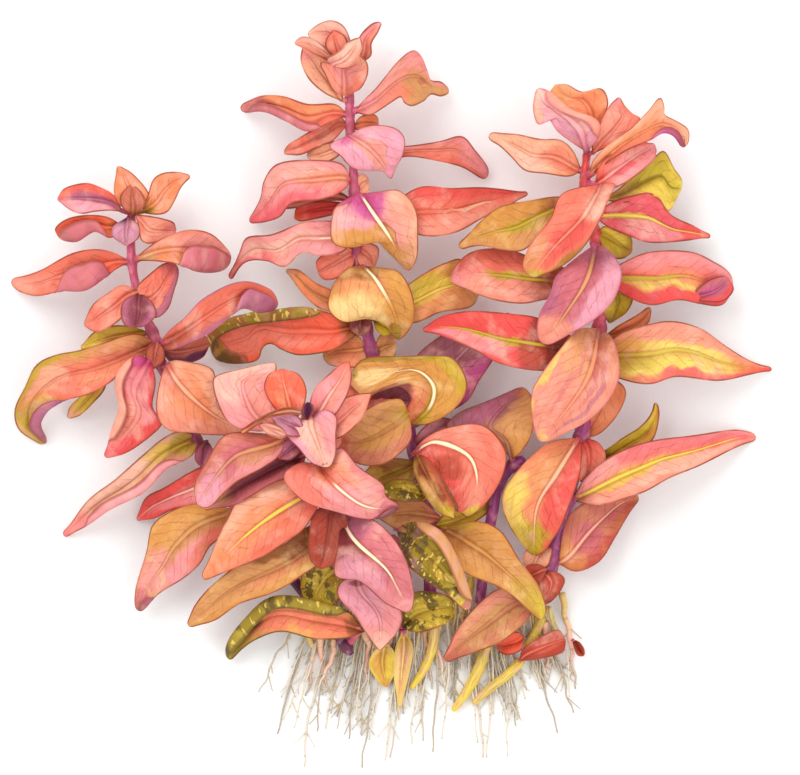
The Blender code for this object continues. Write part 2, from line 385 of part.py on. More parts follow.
class Relief:
    """How high the pieces laid so far reach, on a grid of small cells seen from above."""

    def __init__(self):
        cells = int(RELIEF_SIZE / RELIEF_CELL)
        self.layers = {"blades": np.zeros((cells, cells))}
        for name in STEMS:
            self.layers[name] = np.zeros((cells, cells))
            for across, down, height, radius in stem_line(name):
                reach = int(round(radius / RELIEF_CELL))
                i, j = self.cell(across), self.cell(down)
                patch = self.layers[name][i - reach:i + reach + 1, j - reach:j + reach + 1]
                np.maximum(patch, height + radius, out=patch)
        left, top, right, bottom = (self.cell(side) for side in ROOT_BOX)
        self.layers["blades"][left:right, top:bottom] = ROOT_THICKNESS

    @staticmethod
    def cell(place):
        """The grid index of a place."""
        return np.asarray(np.asarray(place) / RELIEF_CELL, int)

    @staticmethod
    def between(surface):
        """The surface's points with more set evenly between them."""
        for axis in (0, 1):
            count = surface.shape[axis]
            at = np.linspace(0, count - 1, (count - 1) * RELIEF_SAMPLES + 1)
            low = np.minimum(at.astype(int), count - 2)
            share = (at - low).reshape((-1, 1, 1) if axis == 0 else (1, -1, 1))
            surface = np.take(surface, low, axis) * (1 - share) + np.take(surface, low + 1, axis) * share
        return surface

    def under(self, surface, leaf):
        """The height reached under each close-set point of a blade."""
        skipped = {"front": (), "side": (leaf.stem,), "back": tuple(STEMS)}[leaf.seat]
        tops = np.maximum.reduce([layer for name, layer in self.layers.items() if name not in skipped])
        i, j = self.cell(surface[..., 0]), self.cell(surface[..., 1])
        around = [tops[i + di, j + dj] for di in (-1, 0, 1) for dj in (-1, 0, 1)]
        return np.maximum.reduce(around)

    def add(self, surface):
        """Take in a blade that has been laid."""
        i, j = self.cell(surface[..., 0]), self.cell(surface[..., 1])
        np.maximum.at(self.layers["blades"], (i, j), surface[..., 2] + BLADE_THICKNESS / 2)


def smooth_step(share):
    """A rise from 0 to 1 with level ends."""
    share = np.clip(share, 0.0, 1.0)
    return share**2 * (3 - 2 * share)


def lifted(surface, along, near, far):
    """The surface raised by near just past its seat on the stem, and by far beyond NEAR_SHARE."""
    along = np.asarray(along)
    rise = near * smooth_step(along / SEATED_SHARE) + (far - near) * smooth_step(along / NEAR_SHARE)
    raised = surface.copy()
    raised[..., 2] = np.maximum(surface[..., 2] + rise[:, None], LYING_HEIGHT)
    return raised


def lay_blade(leaf, relief):
    """The blade's grid of points, lifted clear of what lies under it."""
    start = first_share(leaf)
    length = np.linalg.norm(np.subtract(leaf.tip, leaf.base))
    cells = CELLS_ALONG_LONG if length > LONG_BLADE else CELLS_ALONG
    along = start + (1.0 - start) * np.linspace(0.0, 1.0, cells + 1)
    surface = blade_surface(leaf, along, np.linspace(-1.0, 1.0, CELLS_ACROSS + 1))
    close = relief.between(surface)
    close_along = np.interp(np.linspace(0, 1, close.shape[0]), np.linspace(0, 1, cells + 1), along)
    close[..., 2] = np.maximum(close[..., 2], LYING_HEIGHT)
    short = relief.under(close, leaf) + BLADE_THICKNESS / 2 + LAID_GAP - close[..., 2]
    short = np.where(relief.under(close, leaf) > 0.0, short, 0.0)
    near = max(0.0, short[(close_along > SEATED_SHARE) & (close_along < NEAR_SHARE)].max())
    far = max(near, short[close_along >= NEAR_SHARE].max())
    laid = lifted(surface, along, near, far)
    relief.add(relief.between(laid))
    return laid


def in_metres(points):
    """Places of (across, down, height) in millimetres as world coordinates."""
    points = np.asarray(points, float)
    return np.stack(
        [points[..., 0] - ACROSS_MIDDLE, DOWN_MIDDLE - points[..., 1], points[..., 2]], axis=-1) * MM


def finish(name):
    """The plain material of one colour."""
    material = bpy.data.materials.get(name) or bpy.data.materials.new(name)
    material.use_nodes = True
    shader = material.node_tree.nodes["Principled BSDF"]
    shader.inputs["Base Color"].default_value = (*COLOURS[name], 1.0)
    shader.inputs["Roughness"].default_value = 0.55
    shader.inputs["Metallic"].default_value = 0.0
    return material


def add_object(name, data, colour, collection):
    """An object with its finish, in the bunch's collection."""
    item = bpy.data.objects.new(name, data)
    data.materials.append(finish(colour))
    collection.objects.link(item)
    return item


def add_blade(name, leaf, laid, collection):
    """A blade as an open sheet between its margins, with the tip drawn to a point, given its thickness."""
    rows = in_metres(laid[:-1])
    tip = in_metres(laid[-1]).mean(axis=0)
    count, wide = rows.shape[:2]
    points = [tuple(place) for place in rows.reshape(-1, 3)]
    points.append(tuple(tip))
    faces = []
    for i in range(count - 1):
        for j in range(wide - 1):
            corner = i * wide + j
            faces.append((corner, corner + 1, corner + wide + 1, corner + wide))
    last = (count - 1) * wide
    faces += [(last + j, last + j + 1, len(points) - 1) for j in range(wide - 1)]
    across = rows[0, -1] - rows[0, 0]
    along = tip - rows[0].mean(axis=0)
    if across[0] * along[1] - across[1] * along[0] < 0:
        faces = [tuple(reversed(face)) for face in faces]
    mesh = bpy.data.meshes.new(name)
    mesh.from_pydata(points, [], faces)
    mesh.shade_smooth()
    item = add_object(name, mesh, leaf.colour, collection)
    sheet = item.modifiers.new("Thickness", "SOLIDIFY")
    sheet.thickness = BLADE_THICKNESS * MM
    sheet.offset = 0.0
    return item


def add_stem(name, collection):
    """A stem as a round tube along its line, thicker towards the roots."""
    line = curve_through(STEMS[name].line, np.linspace(0.0, 1.0, STEM_RINGS))
    curve = bpy.data.curves.new(name, "CURVE")
    curve.dimensions = "3D"
    curve.bevel_depth = MM
    curve.bevel_resolution = 2
    curve.use_fill_caps = True
    spline = curve.splines.new("POLY")
    spline.points.add(len(line) - 1)
    for point, place, radius in zip(spline.points, in_metres(line[:, :3]), line[:, 3]):
        point.co = (*place, 1.0)
        point.radius = radius
    return add_object(name, curve, "stem", collection)


def add_root_fan(name, outline, collection):
    """A fan of roots as a flat sheet with a finger for each bundle, lying on the surface."""
    curve = bpy.data.curves.new(name, "CURVE")
    curve.dimensions = "2D"
    curve.fill_mode = "BOTH"
    curve.extrude = ROOT_THICKNESS / 2 * MM
    spline = curve.splines.new("POLY")
    spline.points.add(len(outline) - 1)
    for point, (across, down) in zip(spline.points, outline):
        place = in_metres((across, down, 0.0))
        point.co = (place[0], place[1], 0.0, 1.0)
    spline.use_cyclic_u = True
    item = add_object(name, curve, "root", collection)
    item.location.z = ROOT_THICKNESS / 2 * MM
    return item


def main():
    for item in list(bpy.data.objects):
        bpy.data.objects.remove(item)
    collection = bpy.data.collections.new("rotala_bunch")
    bpy.context.scene.collection.children.link(collection)
    for name in STEMS:
        add_stem(name, collection)
    for name, outline in ROOT_FANS.items():
        add_root_fan(name, outline, collection)
    relief = Relief()
    for name, leaf in LEAVES.items():
        add_blade(name, leaf, lay_blade(leaf, relief), collection)


main()
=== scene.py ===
"""Looks of a rooted bunch of broad-leaved rotala that lies on its back.

Lengths are in millimetres. A place is given as it is seen from above: how far across it lies from the
left, towards +X, and how far down from the top, towards the roots and -Y. Heights are +Z, from the surface
that the bunch lies on. The main blades are laid over what lies there already, in the same order and by the
same rule as their solids, and the small ones are raised by given amounts; every blade is then drawn finely:
thin at its margins, with a midrib, side veins, waves and rolled lips. The outlines and finishes of all
pieces stand in the tables at the end.
"""

import logging
import math
import random
from dataclasses import dataclass, field
from enum import Enum
from typing import Optional

import bpy
import numpy as np
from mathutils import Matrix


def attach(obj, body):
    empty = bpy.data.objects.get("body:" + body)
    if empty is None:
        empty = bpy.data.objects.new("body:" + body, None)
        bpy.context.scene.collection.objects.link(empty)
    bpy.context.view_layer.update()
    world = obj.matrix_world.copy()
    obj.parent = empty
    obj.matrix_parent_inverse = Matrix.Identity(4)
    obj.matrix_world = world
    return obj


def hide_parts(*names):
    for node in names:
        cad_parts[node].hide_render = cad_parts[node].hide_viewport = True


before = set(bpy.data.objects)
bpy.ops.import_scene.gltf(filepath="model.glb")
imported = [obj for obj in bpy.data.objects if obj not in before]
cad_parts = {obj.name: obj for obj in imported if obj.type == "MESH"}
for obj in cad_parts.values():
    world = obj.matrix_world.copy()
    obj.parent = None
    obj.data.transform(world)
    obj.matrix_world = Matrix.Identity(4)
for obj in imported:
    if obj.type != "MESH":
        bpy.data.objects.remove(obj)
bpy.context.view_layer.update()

LOG = logging.getLogger("rotala_bunch")

Place = tuple[float, float]
Span = tuple[float, float]
Socket = bpy.types.NodeSocket

MM = 0.001
ACROSS_MIDDLE = 78.3
DOWN_MIDDLE = 79.1
BODY = "root"
DISPLAY_POWER = 2.2

# How the solids of the blades are laid.
SOLID_THICKNESS = 0.7
SOLID_CELLS = 7
SOLID_CELLS_LONG = 9
LONG_BLADE = 27.0
SOLID_CELLS_ACROSS = 4
FRONT_START = 0.03
FIRST_START = 0.02
LAST_START = 0.3
START_STEP = 0.01
ARCH_LEAN = 0.8
FOLD_POWER = 1.5
CURVE_STEPS = 14
STEM_POINTS = 240
LYING_HEIGHT = 0.42
RELIEF_SIZE = 160.0
RELIEF_CELL = 0.7
RELIEF_SAMPLES = 7
LAID_GAP = 0.5
SEATED_SHARE = 0.13
NEAR_SHARE = 0.32
STEM_GAP = 0.45
SEAT_RISE = 0.75
ROOT_THICKNESS = 2.2
ROOT_BOX = (51.0, 117.0, 116.0, 154.0)

# How finely the blades are drawn.
ROWS = 46
ROWS_SMALL = 26
COLUMNS = 22
TIP_ROWS = (0.04, 0.14, 0.3, 0.55, 0.9)
SMALL_BLADE = 12.0
BLADE_THICKNESS = 0.42
MARGIN_POWER = 6
END_TAPER = 25.0
RIB_WIDTH = 0.55
RIB_DEPTH = 0.28
RIB_FADE = 0.3
VEIN_SPACING = 2.7
VEIN_LEAN = 0.95
VEIN_RELIEF = 0.05
QUILTED_FROM = 1.5
RIPPLE_LENGTH = 6.5
RIPPLE_STRETCH = (0.8, 1.3)
RIPPLE_POWER = 2.6
SECOND_RIPPLE = 0.45
SECOND_RIPPLE_RATE = 2.3
ROLL_RAMP = 0.3
ROLL_RAMP_SHARE = 0.45
ROLL_SEEN = 0.02
ROLL_FULL = 1.6
ROLL_LEAST = 0.15
ROLL_MARGIN = 1.25
NARROWEST_ROLLED = 0.2
LONGEST_STALK = 5.0
STALK_POINTS = 12
STALK_SIDES = 10
STALK_DEPTH = 0.6
STALK_REACH = (0.04, 0.1, 0.17)
STALK_SHARE = 0.045
STALK_RADII = (0.4, 0.85)
STALK_END = 0.2
STALK_FLATNESS = 0.75


class Tone(Enum):
    """The colours of the bunch, as they show in even white light."""

    CORAL = (0.94, 0.47, 0.38)
    ORANGE = (0.95, 0.57, 0.39)
    SALMON = (0.95, 0.59, 0.50)
    PEACH = (0.98, 0.71, 0.57)
    BLUSH = (0.98, 0.75, 0.66)
    PINK = (0.95, 0.59, 0.59)
    COOL_PINK = (0.93, 0.62, 0.68)
    HOT_PINK = (0.91, 0.36, 0.39)
    RED = (0.92, 0.32, 0.30)
    FLAME = (0.97, 0.40, 0.28)
    BRICK = (0.72, 0.28, 0.20)
    CHESTNUT = (0.55, 0.24, 0.14)
    ROSEWOOD = (0.79, 0.44, 0.35)
    ROSE = (0.80, 0.41, 0.44)
    MAROON = (0.50, 0.20, 0.22)
    MAUVE = (0.70, 0.38, 0.48)
    LILAC = (0.86, 0.60, 0.69)
    MAGENTA = (0.78, 0.30, 0.54)
    PLUM = (0.36, 0.14, 0.28)
    MAUVE_BROWN = (0.58, 0.34, 0.36)
    TAN = (0.84, 0.59, 0.36)
    OCHRE = (0.84, 0.58, 0.28)
    BROWN = (0.60, 0.36, 0.16)
    GOLD = (0.92, 0.80, 0.30)
    YELLOW = (0.95, 0.83, 0.40)
    OLIVE_GOLD = (0.76, 0.66, 0.16)
    OLIVE = (0.60, 0.50, 0.08)
    DARK_OLIVE = (0.36, 0.28, 0.05)
    CREAM = (0.99, 0.92, 0.74)
    STRAW = (0.86, 0.74, 0.36)
    BUTTER = (0.98, 0.83, 0.55)
    STEM_PINK = (0.80, 0.34, 0.46)
    STEM_PURPLE = (0.60, 0.24, 0.46)
    ROOT = (0.88, 0.83, 0.75)
    ROOT_SHADE = (0.56, 0.50, 0.45)

    @property
    def linear(self) -> tuple[float, float, float, float]:
        """The colour as light, for a shader's socket."""
        return (*(share ** DISPLAY_POWER for share in self.value), 1.0)


class Shade(Enum):
    """What a colour is multiplied by where it is darker: in pools, specks, veins and streaks of its own,
    and as painted shade in folds, in creases and beside the midrib.
    """

    # Dark pools and specks, and painted shade in streaks along the blade.
    POOL_AND_STREAK_SHADE = (0.80, 0.62, 0.55, 1.0)
    # Vein lines, and painted shade beside the midrib and on one side of it.
    VEIN_AND_SHADE = (0.58, 0.38, 0.36, 1.0)
    # Painted shade of creases.
    CREASE = (0.45, 0.30, 0.30, 1.0)
    UNDERSIDE = (0.60, 0.46, 0.52, 1.0)
    STALK = (0.60, 0.45, 0.60, 1.0)


class Seat(Enum):
    """The side of the stem that a blade grows from, and how far up the stem's side that is."""

    SIDE = 0.0
    FRONT = SEAT_RISE
    BACK = -SEAT_RISE


# The tones and seats by their bare names, as the tables at the end use them.
(CORAL, ORANGE, SALMON, PEACH, BLUSH, PINK, COOL_PINK, HOT_PINK, RED, FLAME, BRICK, CHESTNUT, ROSEWOOD,
 ROSE, MAROON, MAUVE, LILAC, MAGENTA, PLUM, MAUVE_BROWN, TAN, OCHRE, BROWN, GOLD, YELLOW, OLIVE_GOLD,
 OLIVE, DARK_OLIVE, CREAM, STRAW, BUTTER, STEM_PINK, STEM_PURPLE, ROOT, ROOT_SHADE) = Tone
SIDE, FRONT, BACK = Seat


@dataclass(frozen=True)
class Patch:
    """A stain, painted highlight or patch of painted shade on a blade, placed and sized by shares of its
    length and half width, soft or crisp.
    """

    along: float
    across: float
    length: float
    width: float
    tone: Tone
    strength: float = 0.85
    crisp: float = 0.0


@dataclass(frozen=True)
class Roll:
    """A lip where one margin rolls up and over: its side, start, end and radius, and how far it turns.

    A lip is lower than it is wide, because the blade is soft and lies on itself.
    """

    side: int
    start: float
    end: float
    radius: float
    turn: float = 190.0
    flatness: float = 0.6


class Draft:
    """The nodes of one material, added and linked step by step, and the colour reached so far."""

    def __init__(self, name: str) -> None:
        """Start the material with its shader.

        Args:
            name: the material's name.
        """
        self.material = bpy.data.materials.new(name)
        self.material.use_nodes = True
        self.nodes = self.material.node_tree.nodes
        self.links = self.material.node_tree.links
        self.shader = self.nodes["Principled BSDF"]
        self.colour: object = None

    def put(self, socket: Socket, value: object) -> None:
        """Link a socket to another, or give it a plain value.

        Args:
            socket: the input to fill.
            value: an output socket, a tone, or a plain number or tuple.
        """
        if isinstance(value, bpy.types.NodeSocket):
            self.links.new(value, socket)
        elif isinstance(value, Tone):
            socket.default_value = value.linear
        else:
            socket.default_value = value

    def number(self, operation: str, first: object, second: object = 0.0) -> Socket:
        """The result of a sum on two numbers.

        Args:
            operation: the Math node's operation.
            first: the first number or socket.
            second: the second number or socket.

        Returns:
            The result's socket.
        """
        node = self.nodes.new("ShaderNodeMath")
        node.operation = operation
        self.put(node.inputs[0], first)
        self.put(node.inputs[1], second)
        return node.outputs[0]

    def plus(self, first: object, second: object) -> Socket:
        """The sum of two numbers."""
        return self.number("ADD", first, second)

    def minus(self, first: object, second: object) -> Socket:
        """The difference of two numbers."""
        return self.number("SUBTRACT", first, second)

    def times(self, first: object, second: object) -> Socket:
        """The product of two numbers."""
        return self.number("MULTIPLY", first, second)

    def over(self, first: object, second: object) -> Socket:
        """The quotient of two numbers."""
        return self.number("DIVIDE", first, second)

    def absolute(self, value: object) -> Socket:
        """A number without its sign."""
        return self.number("ABSOLUTE", value)

    def step(self, value: object, low: float, high: float, last: float = 1.0, first: float = 0.0) -> Socket:
        """A smooth change from first to last while a value goes from low to high.

        Args:
            value: the number or socket that rises.
            low: where the change starts.
            high: where it ends.
            last: the result from there on.
            first: the result before it starts.

        Returns:
            The result's socket.
        """
        node = self.nodes.new("ShaderNodeMapRange")
        node.interpolation_type = "SMOOTHSTEP"
        self.put(node.inputs["Value"], value)
        for key, limit in (("From Min", low), ("From Max", high), ("To Min", first), ("To Max", last)):
            node.inputs[key].default_value = limit
        return node.outputs["Result"]

    def fade(self, value: object, low: float, high: float, top: float = 1.0) -> Socket:
        """A smooth fall from top to 0 while a value goes from low to high."""
        return self.step(value, low, high, 0.0, top)

    def blend(self, share: object, below: object, above: object, kind: str = "MIX") -> Socket:
        """One colour laid over another.

        Args:
            share: how much of the upper colour shows.
            below: the lower colour.
            above: the upper colour.
            kind: the Mix node's blend type.

        Returns:
            The blended colour's socket.
        """
        node = self.nodes.new("ShaderNodeMix")
        node.data_type = "RGBA"
        node.blend_type = kind
        self.put(node.inputs[0], share)
        self.put(node.inputs[6], below)
        self.put(node.inputs[7], above)
        return node.outputs[2]

    def lay(self, share: object, above: object) -> None:
        """Lay more colour over what is there; share is how much of it shows."""
        self.colour = self.blend(share, self.colour, above)

    def deepened(self, shade: Shade) -> Socket:
        """The colour so far, multiplied by a shade."""
        return self.blend(1.0, self.colour, shade.value, "MULTIPLY")

    def point(self, first: object, second: object, third: object = 0.0) -> Socket:
        """Three numbers as one vector.

        Args:
            first: the vector's first part.
            second: its second part.
            third: its third part.

        Returns:
            The vector's socket.
        """
        node = self.nodes.new("ShaderNodeCombineXYZ")
        for socket, value in zip(node.inputs, (first, second, third)):
            self.put(socket, value)
        return node.outputs[0]

    def cloud(self, place: Socket, scale: float, detail: float = 2.0) -> Socket:
        """Soft uneven patches between 0 and 1.

        Args:
            place: the vector that they are laid out on.
            scale: how many fit in one unit.
            detail: how much finer structure they have.

        Returns:
            The value's socket.
        """
        node = self.nodes.new("ShaderNodeTexNoise")
        self.put(node.inputs["Vector"], place)
        node.inputs["Scale"].default_value = scale
        node.inputs["Detail"].default_value = detail
        return node.outputs["Fac"]

    def parts(self, attribute: str) -> tuple[Socket, Socket, Socket]:
        """The three numbers that a mesh keeps at each point under one name.

        Args:
            attribute: the name of the mesh's attribute.

        Returns:
            The three numbers' sockets.
        """
        node = self.nodes.new("ShaderNodeAttribute")
        node.attribute_name = attribute
        split = self.nodes.new("ShaderNodeSeparateXYZ")
        self.links.new(node.outputs["Vector"], split.inputs[0])
        return tuple(split.outputs)

    def coat(self, pattern: Socket, spread: float, least: float) -> None:
        """Give the shader the colour reached and an uneven gloss.

        Args:
            pattern: what the roughness follows, from 0 to 1.
            spread: how far the roughness rises with the pattern.
            least: the roughness where the pattern is 0.
        """
        rough = self.number("MULTIPLY_ADD", pattern, spread)
        rough.node.inputs[2].default_value = least
        self.put(self.shader.inputs["Base Color"], self.colour)
        self.put(self.shader.inputs["Roughness"], rough)

    def relief(self, height: Socket, depth: float, strength: float) -> None:
        """Give the shader a fine relief.

        Args:
            height: the relief, from 0 to 1.
            depth: how deep it is, in millimetres.
            strength: how strongly it shows.
        """
        node = self.nodes.new("ShaderNodeBump")
        node.inputs["Strength"].default_value = strength
        node.inputs["Distance"].default_value = depth * MM
        self.links.new(height, node.inputs["Height"])
        self.links.new(node.outputs["Normal"], self.shader.inputs["Normal"])


class BladeDraft(Draft):
    """The nodes of one side of a blade, with what its mesh keeps at each point.

    across and along are shares of the way to the margin and to the tip. off, run and edge are the distances
    from the midrib, the base and the margin, in millimetres. seed is a number that sets the blade apart.
    """

    def __init__(self, name: str, source: str) -> None:
        """Start the material with its shader and the numbers of the mesh.

        Args:
            name: the material's name.
            source: the name that the seed comes from.
        """
        super().__init__(name)
        self.across, self.along, _ = self.parts("share")
        self.off, self.run, self.edge = self.parts("real")
        self.seed = random.Random(source).uniform(0.0, 90.0)
        self.ground = self.point(self.off, self.run, self.seed)


@dataclass(frozen=True)
class BladeFinish:
    """The colours of one blade's upper side and of its underside.

    base, middle and tip follow one another along the blade, and one and other lie towards its two margins.
    rib_share is how strongly the midrib shows, and rib_span where it does, as shares of the length. bloom
    is the tone of the pale clouds on both sides.
    """

    base: Tone
    middle: Tone
    tip: Tone
    one: Optional[Tone] = None
    other: Optional[Tone] = None
    rib: Tone = PEACH
    rib_share: float = 0.55
    rib_span: Span = (0.0, 0.97)
    rim: Tone = CHESTNUT
    back: Tone = ROSE
    bloom: Tone = BLUSH
    mottle: Optional[Tone] = None
    back_mottle: Optional[Tone] = None
    patches: tuple[Patch, ...] = ()
    roughness: float = 0.5

    def upper(self, name: str) -> bpy.types.Material:
        """The upper side: washes from base to tip and to each margin, stains, painted highlights, painted
        shade in patches, streaks, creases and beside the midrib, veins and midrib.

        Args:
            name: the blade's name.

        Returns:
            The material.
        """
        draft = BladeDraft(name + "_upper", name)
        drift = draft.minus(draft.cloud(draft.ground, 0.16), 0.5)
        stray = draft.minus(draft.cloud(draft.point(draft.run, draft.off, draft.seed + 7.0), 0.2), 0.5)
        draft.along = draft.plus(draft.along, draft.times(drift, 0.3))
        draft.across = draft.plus(draft.across, draft.times(stray, 0.7))
        draft.colour = draft.blend(draft.step(draft.along, 0.05, 0.42), self.base, self.middle)
        draft.lay(draft.step(draft.along, 0.62, 0.98), self.tip)
        if self.one:
            draft.lay(draft.fade(draft.across, -0.75, -0.1, 0.85), self.one)
        if self.other:
            draft.lay(draft.step(draft.across, 0.1, 0.75, 0.85), self.other)
        for patch in self.patches:
            self.stain(draft, patch)
        self.wash(draft)
        if self.mottle:
            self.blot(draft, self.mottle)
        lines = self.vein(draft)
        # Broken dark lines along the blade: painted shade of creases.
        self.paint_crease_shade(draft)
        grain = draft.cloud(draft.ground, 3.2, 3.0)
        rim = draft.times(draft.fade(draft.edge, 0.16, 0.38), draft.step(drift, -0.3, 0.1, 0.95))
        draft.lay(rim, self.rim)
        draft.coat(grain, 0.16, self.roughness - 0.08)
        draft.shader.inputs["Specular IOR Level"].default_value = 0.32
        draft.relief(draft.minus(draft.times(grain, 0.5), lines), 0.16, 0.8)
        return draft.material

    def under(self, name: str) -> bpy.types.Material:
        """The underside: one cooler tone, clouded, with a raised pale midrib and veins, and the same
        painted shade beside the midrib as the upper side.

        Args:
            name: the blade's name.

        Returns:
            The material.
        """
        draft = BladeDraft(name + "_under", name + "_under")
        draft.along = 0.3
        cloud = draft.cloud(draft.ground, 0.35, 3.0)
        draft.colour = draft.blend(draft.step(cloud, 0.42, 0.72, 0.3), self.back, self.bloom)
        place = draft.point(draft.times(draft.off, 1.1), draft.times(draft.run, 0.2), draft.seed)
        streak = draft.step(draft.cloud(place, 1.0, 3.0), 0.48, 0.75, 0.6)
        draft.lay(streak, draft.deepened(Shade.UNDERSIDE))
        if self.back_mottle:
            self.blot(draft, self.back_mottle)
        lines = self.vein(draft)
        draft.lay(draft.fade(draft.edge, 0.12, 0.36, 0.7), self.rim)
        draft.coat(cloud, 0.2, self.roughness - 0.05)
        draft.relief(draft.plus(draft.cloud(draft.ground, 3.0, 3.0), lines), 0.14, 0.7)
        return draft.material

    def stain(self, draft: BladeDraft, patch: Patch) -> None:
        """Lay one patch, a stain, painted highlight or painted shade, with a line along its edge where it
        is crisp.

        Args:
            draft: the material's nodes.
            patch: the stain.
        """
        long = draft.over(draft.minus(draft.along, patch.along), patch.length)
        wide = draft.over(draft.minus(draft.across, patch.across), patch.width)
        reach = draft.plus(draft.times(long, long), draft.times(wide, wide))
        low, high = 0.45 + 0.5 * patch.crisp, 1.5 - 0.45 * patch.crisp
        draft.lay(draft.fade(reach, low, high, patch.strength), patch.tone)
        if patch.crisp:
            line = draft.times(draft.step(reach, 0.86, 1.0, 0.6), draft.fade(reach, 1.02, 1.16))
            draft.lay(line, self.rim)

    def wash(self, draft: BladeDraft) -> None:
        """Make the colour uneven: pale blooms, dark-edged pools, specks, painted shade in streaks along the
        length, and a deeper margin.

        Args:
            draft: the material's nodes.
        """
        off, run, seed = draft.off, draft.run, draft.seed
        bloom = draft.cloud(draft.point(off, run, seed + 21.0), 0.22, 4.0)
        draft.lay(draft.step(bloom, 0.50, 0.70, 0.40), self.bloom)
        # A darker copy of the colour, for pools, specks, the margin and the painted shade streaks.
        deep = draft.deepened(Shade.POOL_AND_STREAK_SHADE)
        pool = draft.cloud(draft.point(run, off, seed + 50.0), 0.34, 4.0)
        draft.lay(draft.step(pool, 0.50, 0.62, 0.34), deep)
        draft.lay(draft.times(draft.step(pool, 0.505, 0.52), draft.fade(pool, 0.525, 0.545, 0.4)), deep)
        speck = draft.cloud(draft.point(off, run, seed + 80.0), 2.4, 5.0)
        draft.lay(draft.step(speck, 0.5, 0.66, 0.22), deep)
        # Painted shade: soft dark streaks along the length, as the shade of lengthwise folds.
        for across_rate, start, end, top in ((0.7, 0.5, 0.7, 0.55), (2.6, 0.52, 0.72, 0.4)):
            place = draft.point(draft.times(off, across_rate), draft.times(run, 0.16), seed + 33.0)
            draft.lay(draft.step(draft.cloud(place, 1.0, 3.0), start, end, top), deep)
        draft.lay(draft.fade(draft.edge, 0.15, 1.2, 0.42), deep)

    @staticmethod
    def blot(draft: BladeDraft, tone: Tone) -> None:
        """Lay dark blots and small bright yellow spots, as old blades have.

        Args:
            draft: the material's nodes.
            tone: the blots' tone.
        """
        draft.lay(draft.step(draft.cloud(draft.ground, 0.36, 3.0), 0.51, 0.59, 0.85), tone)
        draft.lay(draft.step(draft.cloud(draft.ground, 1.1, 1.0), 0.62, 0.66, 0.75), YELLOW)

    def vein(self, draft: BladeDraft) -> Socket:
        """Lay the midrib, the side veins that leave it towards the tip, and painted shade beside the midrib
        and in a broad band on one side of it.

        Args:
            draft: the material's nodes.

        Returns:
            The relief of the lines.
        """
        off, run, edge, along = draft.off, draft.run, draft.edge, draft.along
        away = draft.absolute(off)
        lean = draft.times(draft.number("POWER", away, 1.15), VEIN_LEAN)
        turn = draft.over(draft.minus(run, lean), VEIN_SPACING)
        turn = draft.plus(turn, draft.cloud(draft.point(off, run, 3.0), 0.3))
        near = draft.absolute(draft.minus(draft.number("FRACT", turn), 0.5))
        vein = draft.times(draft.fade(near, 0.01, 0.06), draft.step(edge, 0.3, 1.4))
        shown = draft.step(draft.cloud(draft.point(run, off, 9.0), 0.24), 0.42, 0.62, 0.3)
        # A darker copy of the colour, for the veins and for the painted shade beside the midrib.
        dark = draft.deepened(Shade.VEIN_AND_SHADE)
        draft.lay(draft.times(vein, shown), dark)
        slim = draft.times(away, draft.plus(draft.step(along, 0.25, 1.0, 1.2), 0.8))
        first, last = self.rib_span
        rib = draft.times(draft.fade(slim, 0.16, 0.42), draft.fade(along, last - 0.2, last))
        if first > 0.0:
            rib = draft.times(rib, draft.step(along, first - 0.03, first + 0.06))
        draft.lay(draft.times(rib, self.rib_share), self.rib)
        # Painted shade: a dark line beside the midrib.
        beside = draft.times(draft.step(slim, 0.26, 0.42), draft.fade(slim, 0.45, 0.9))
        draft.lay(draft.times(beside, draft.fade(along, 0.6, 0.95, 0.6)), dark)
        # Painted shade: a broad soft band on one side of the midrib, as of a fold.
        fold = draft.times(draft.step(off, 0.2, 0.5), draft.fade(off, 0.6, 2.6))
        draft.lay(draft.times(fold, draft.fade(along, 0.35, 0.9, 0.35)), dark)
        return draft.number("MAXIMUM", draft.times(vein, 0.6), rib)

    @staticmethod
    def paint_crease_shade(draft: BladeDraft) -> None:
        """Lay a few broken dark lines that run along the blade: painted shade of creases.

        Args:
            draft: the material's nodes.
        """
        chance = random.Random(draft.seed)
        dark = draft.deepened(Shade.CREASE)
        for side in (-1.0, 1.0):
            place = side * chance.uniform(0.3, 0.68)
            away = draft.absolute(draft.minus(draft.across, place))
            broken = draft.cloud(draft.point(draft.run, place, draft.seed + 60.0), 0.16, 1.0)
            draft.lay(draft.times(draft.fade(away, 0.008, 0.03), draft.step(broken, 0.5, 0.58, 0.5)), dark)


@dataclass(frozen=True)
class StalkFinish:
    """A stem or stalk: one tone at its upper end, one at its lower end, streaked along its length."""

    top: Tone
    bottom: Tone
    ring: Tone = MAROON

    def material(self, name: str) -> bpy.types.Material:
        """The stalk's streaked skin, darker round its nodes.

        Args:
            name: the material's name.

        Returns:
            The material.
        """
        draft = Draft(name)
        share, swelling, _ = draft.parts("share")
        round_off, run, _ = draft.parts("real")
        draft.colour = draft.blend(draft.step(share, 0.1, 0.7), self.top, self.bottom)
        streak = draft.cloud(draft.point(draft.times(round_off, 2.4), draft.times(run, 0.3), 5.0), 1.0, 3.0)
        draft.lay(draft.step(streak, 0.45, 0.7, 0.75), draft.deepened(Shade.STALK))
        pale = draft.cloud(draft.point(round_off, run, 12.0), 0.6, 2.0)
        draft.lay(draft.step(pale, 0.5, 0.72, 0.4), COOL_PINK)
        draft.lay(draft.step(swelling, 0.35, 1.0, 0.4), self.ring)
        draft.coat(streak, 0.25, 0.34)
        draft.relief(streak, 0.12, 0.8)
        return draft.material


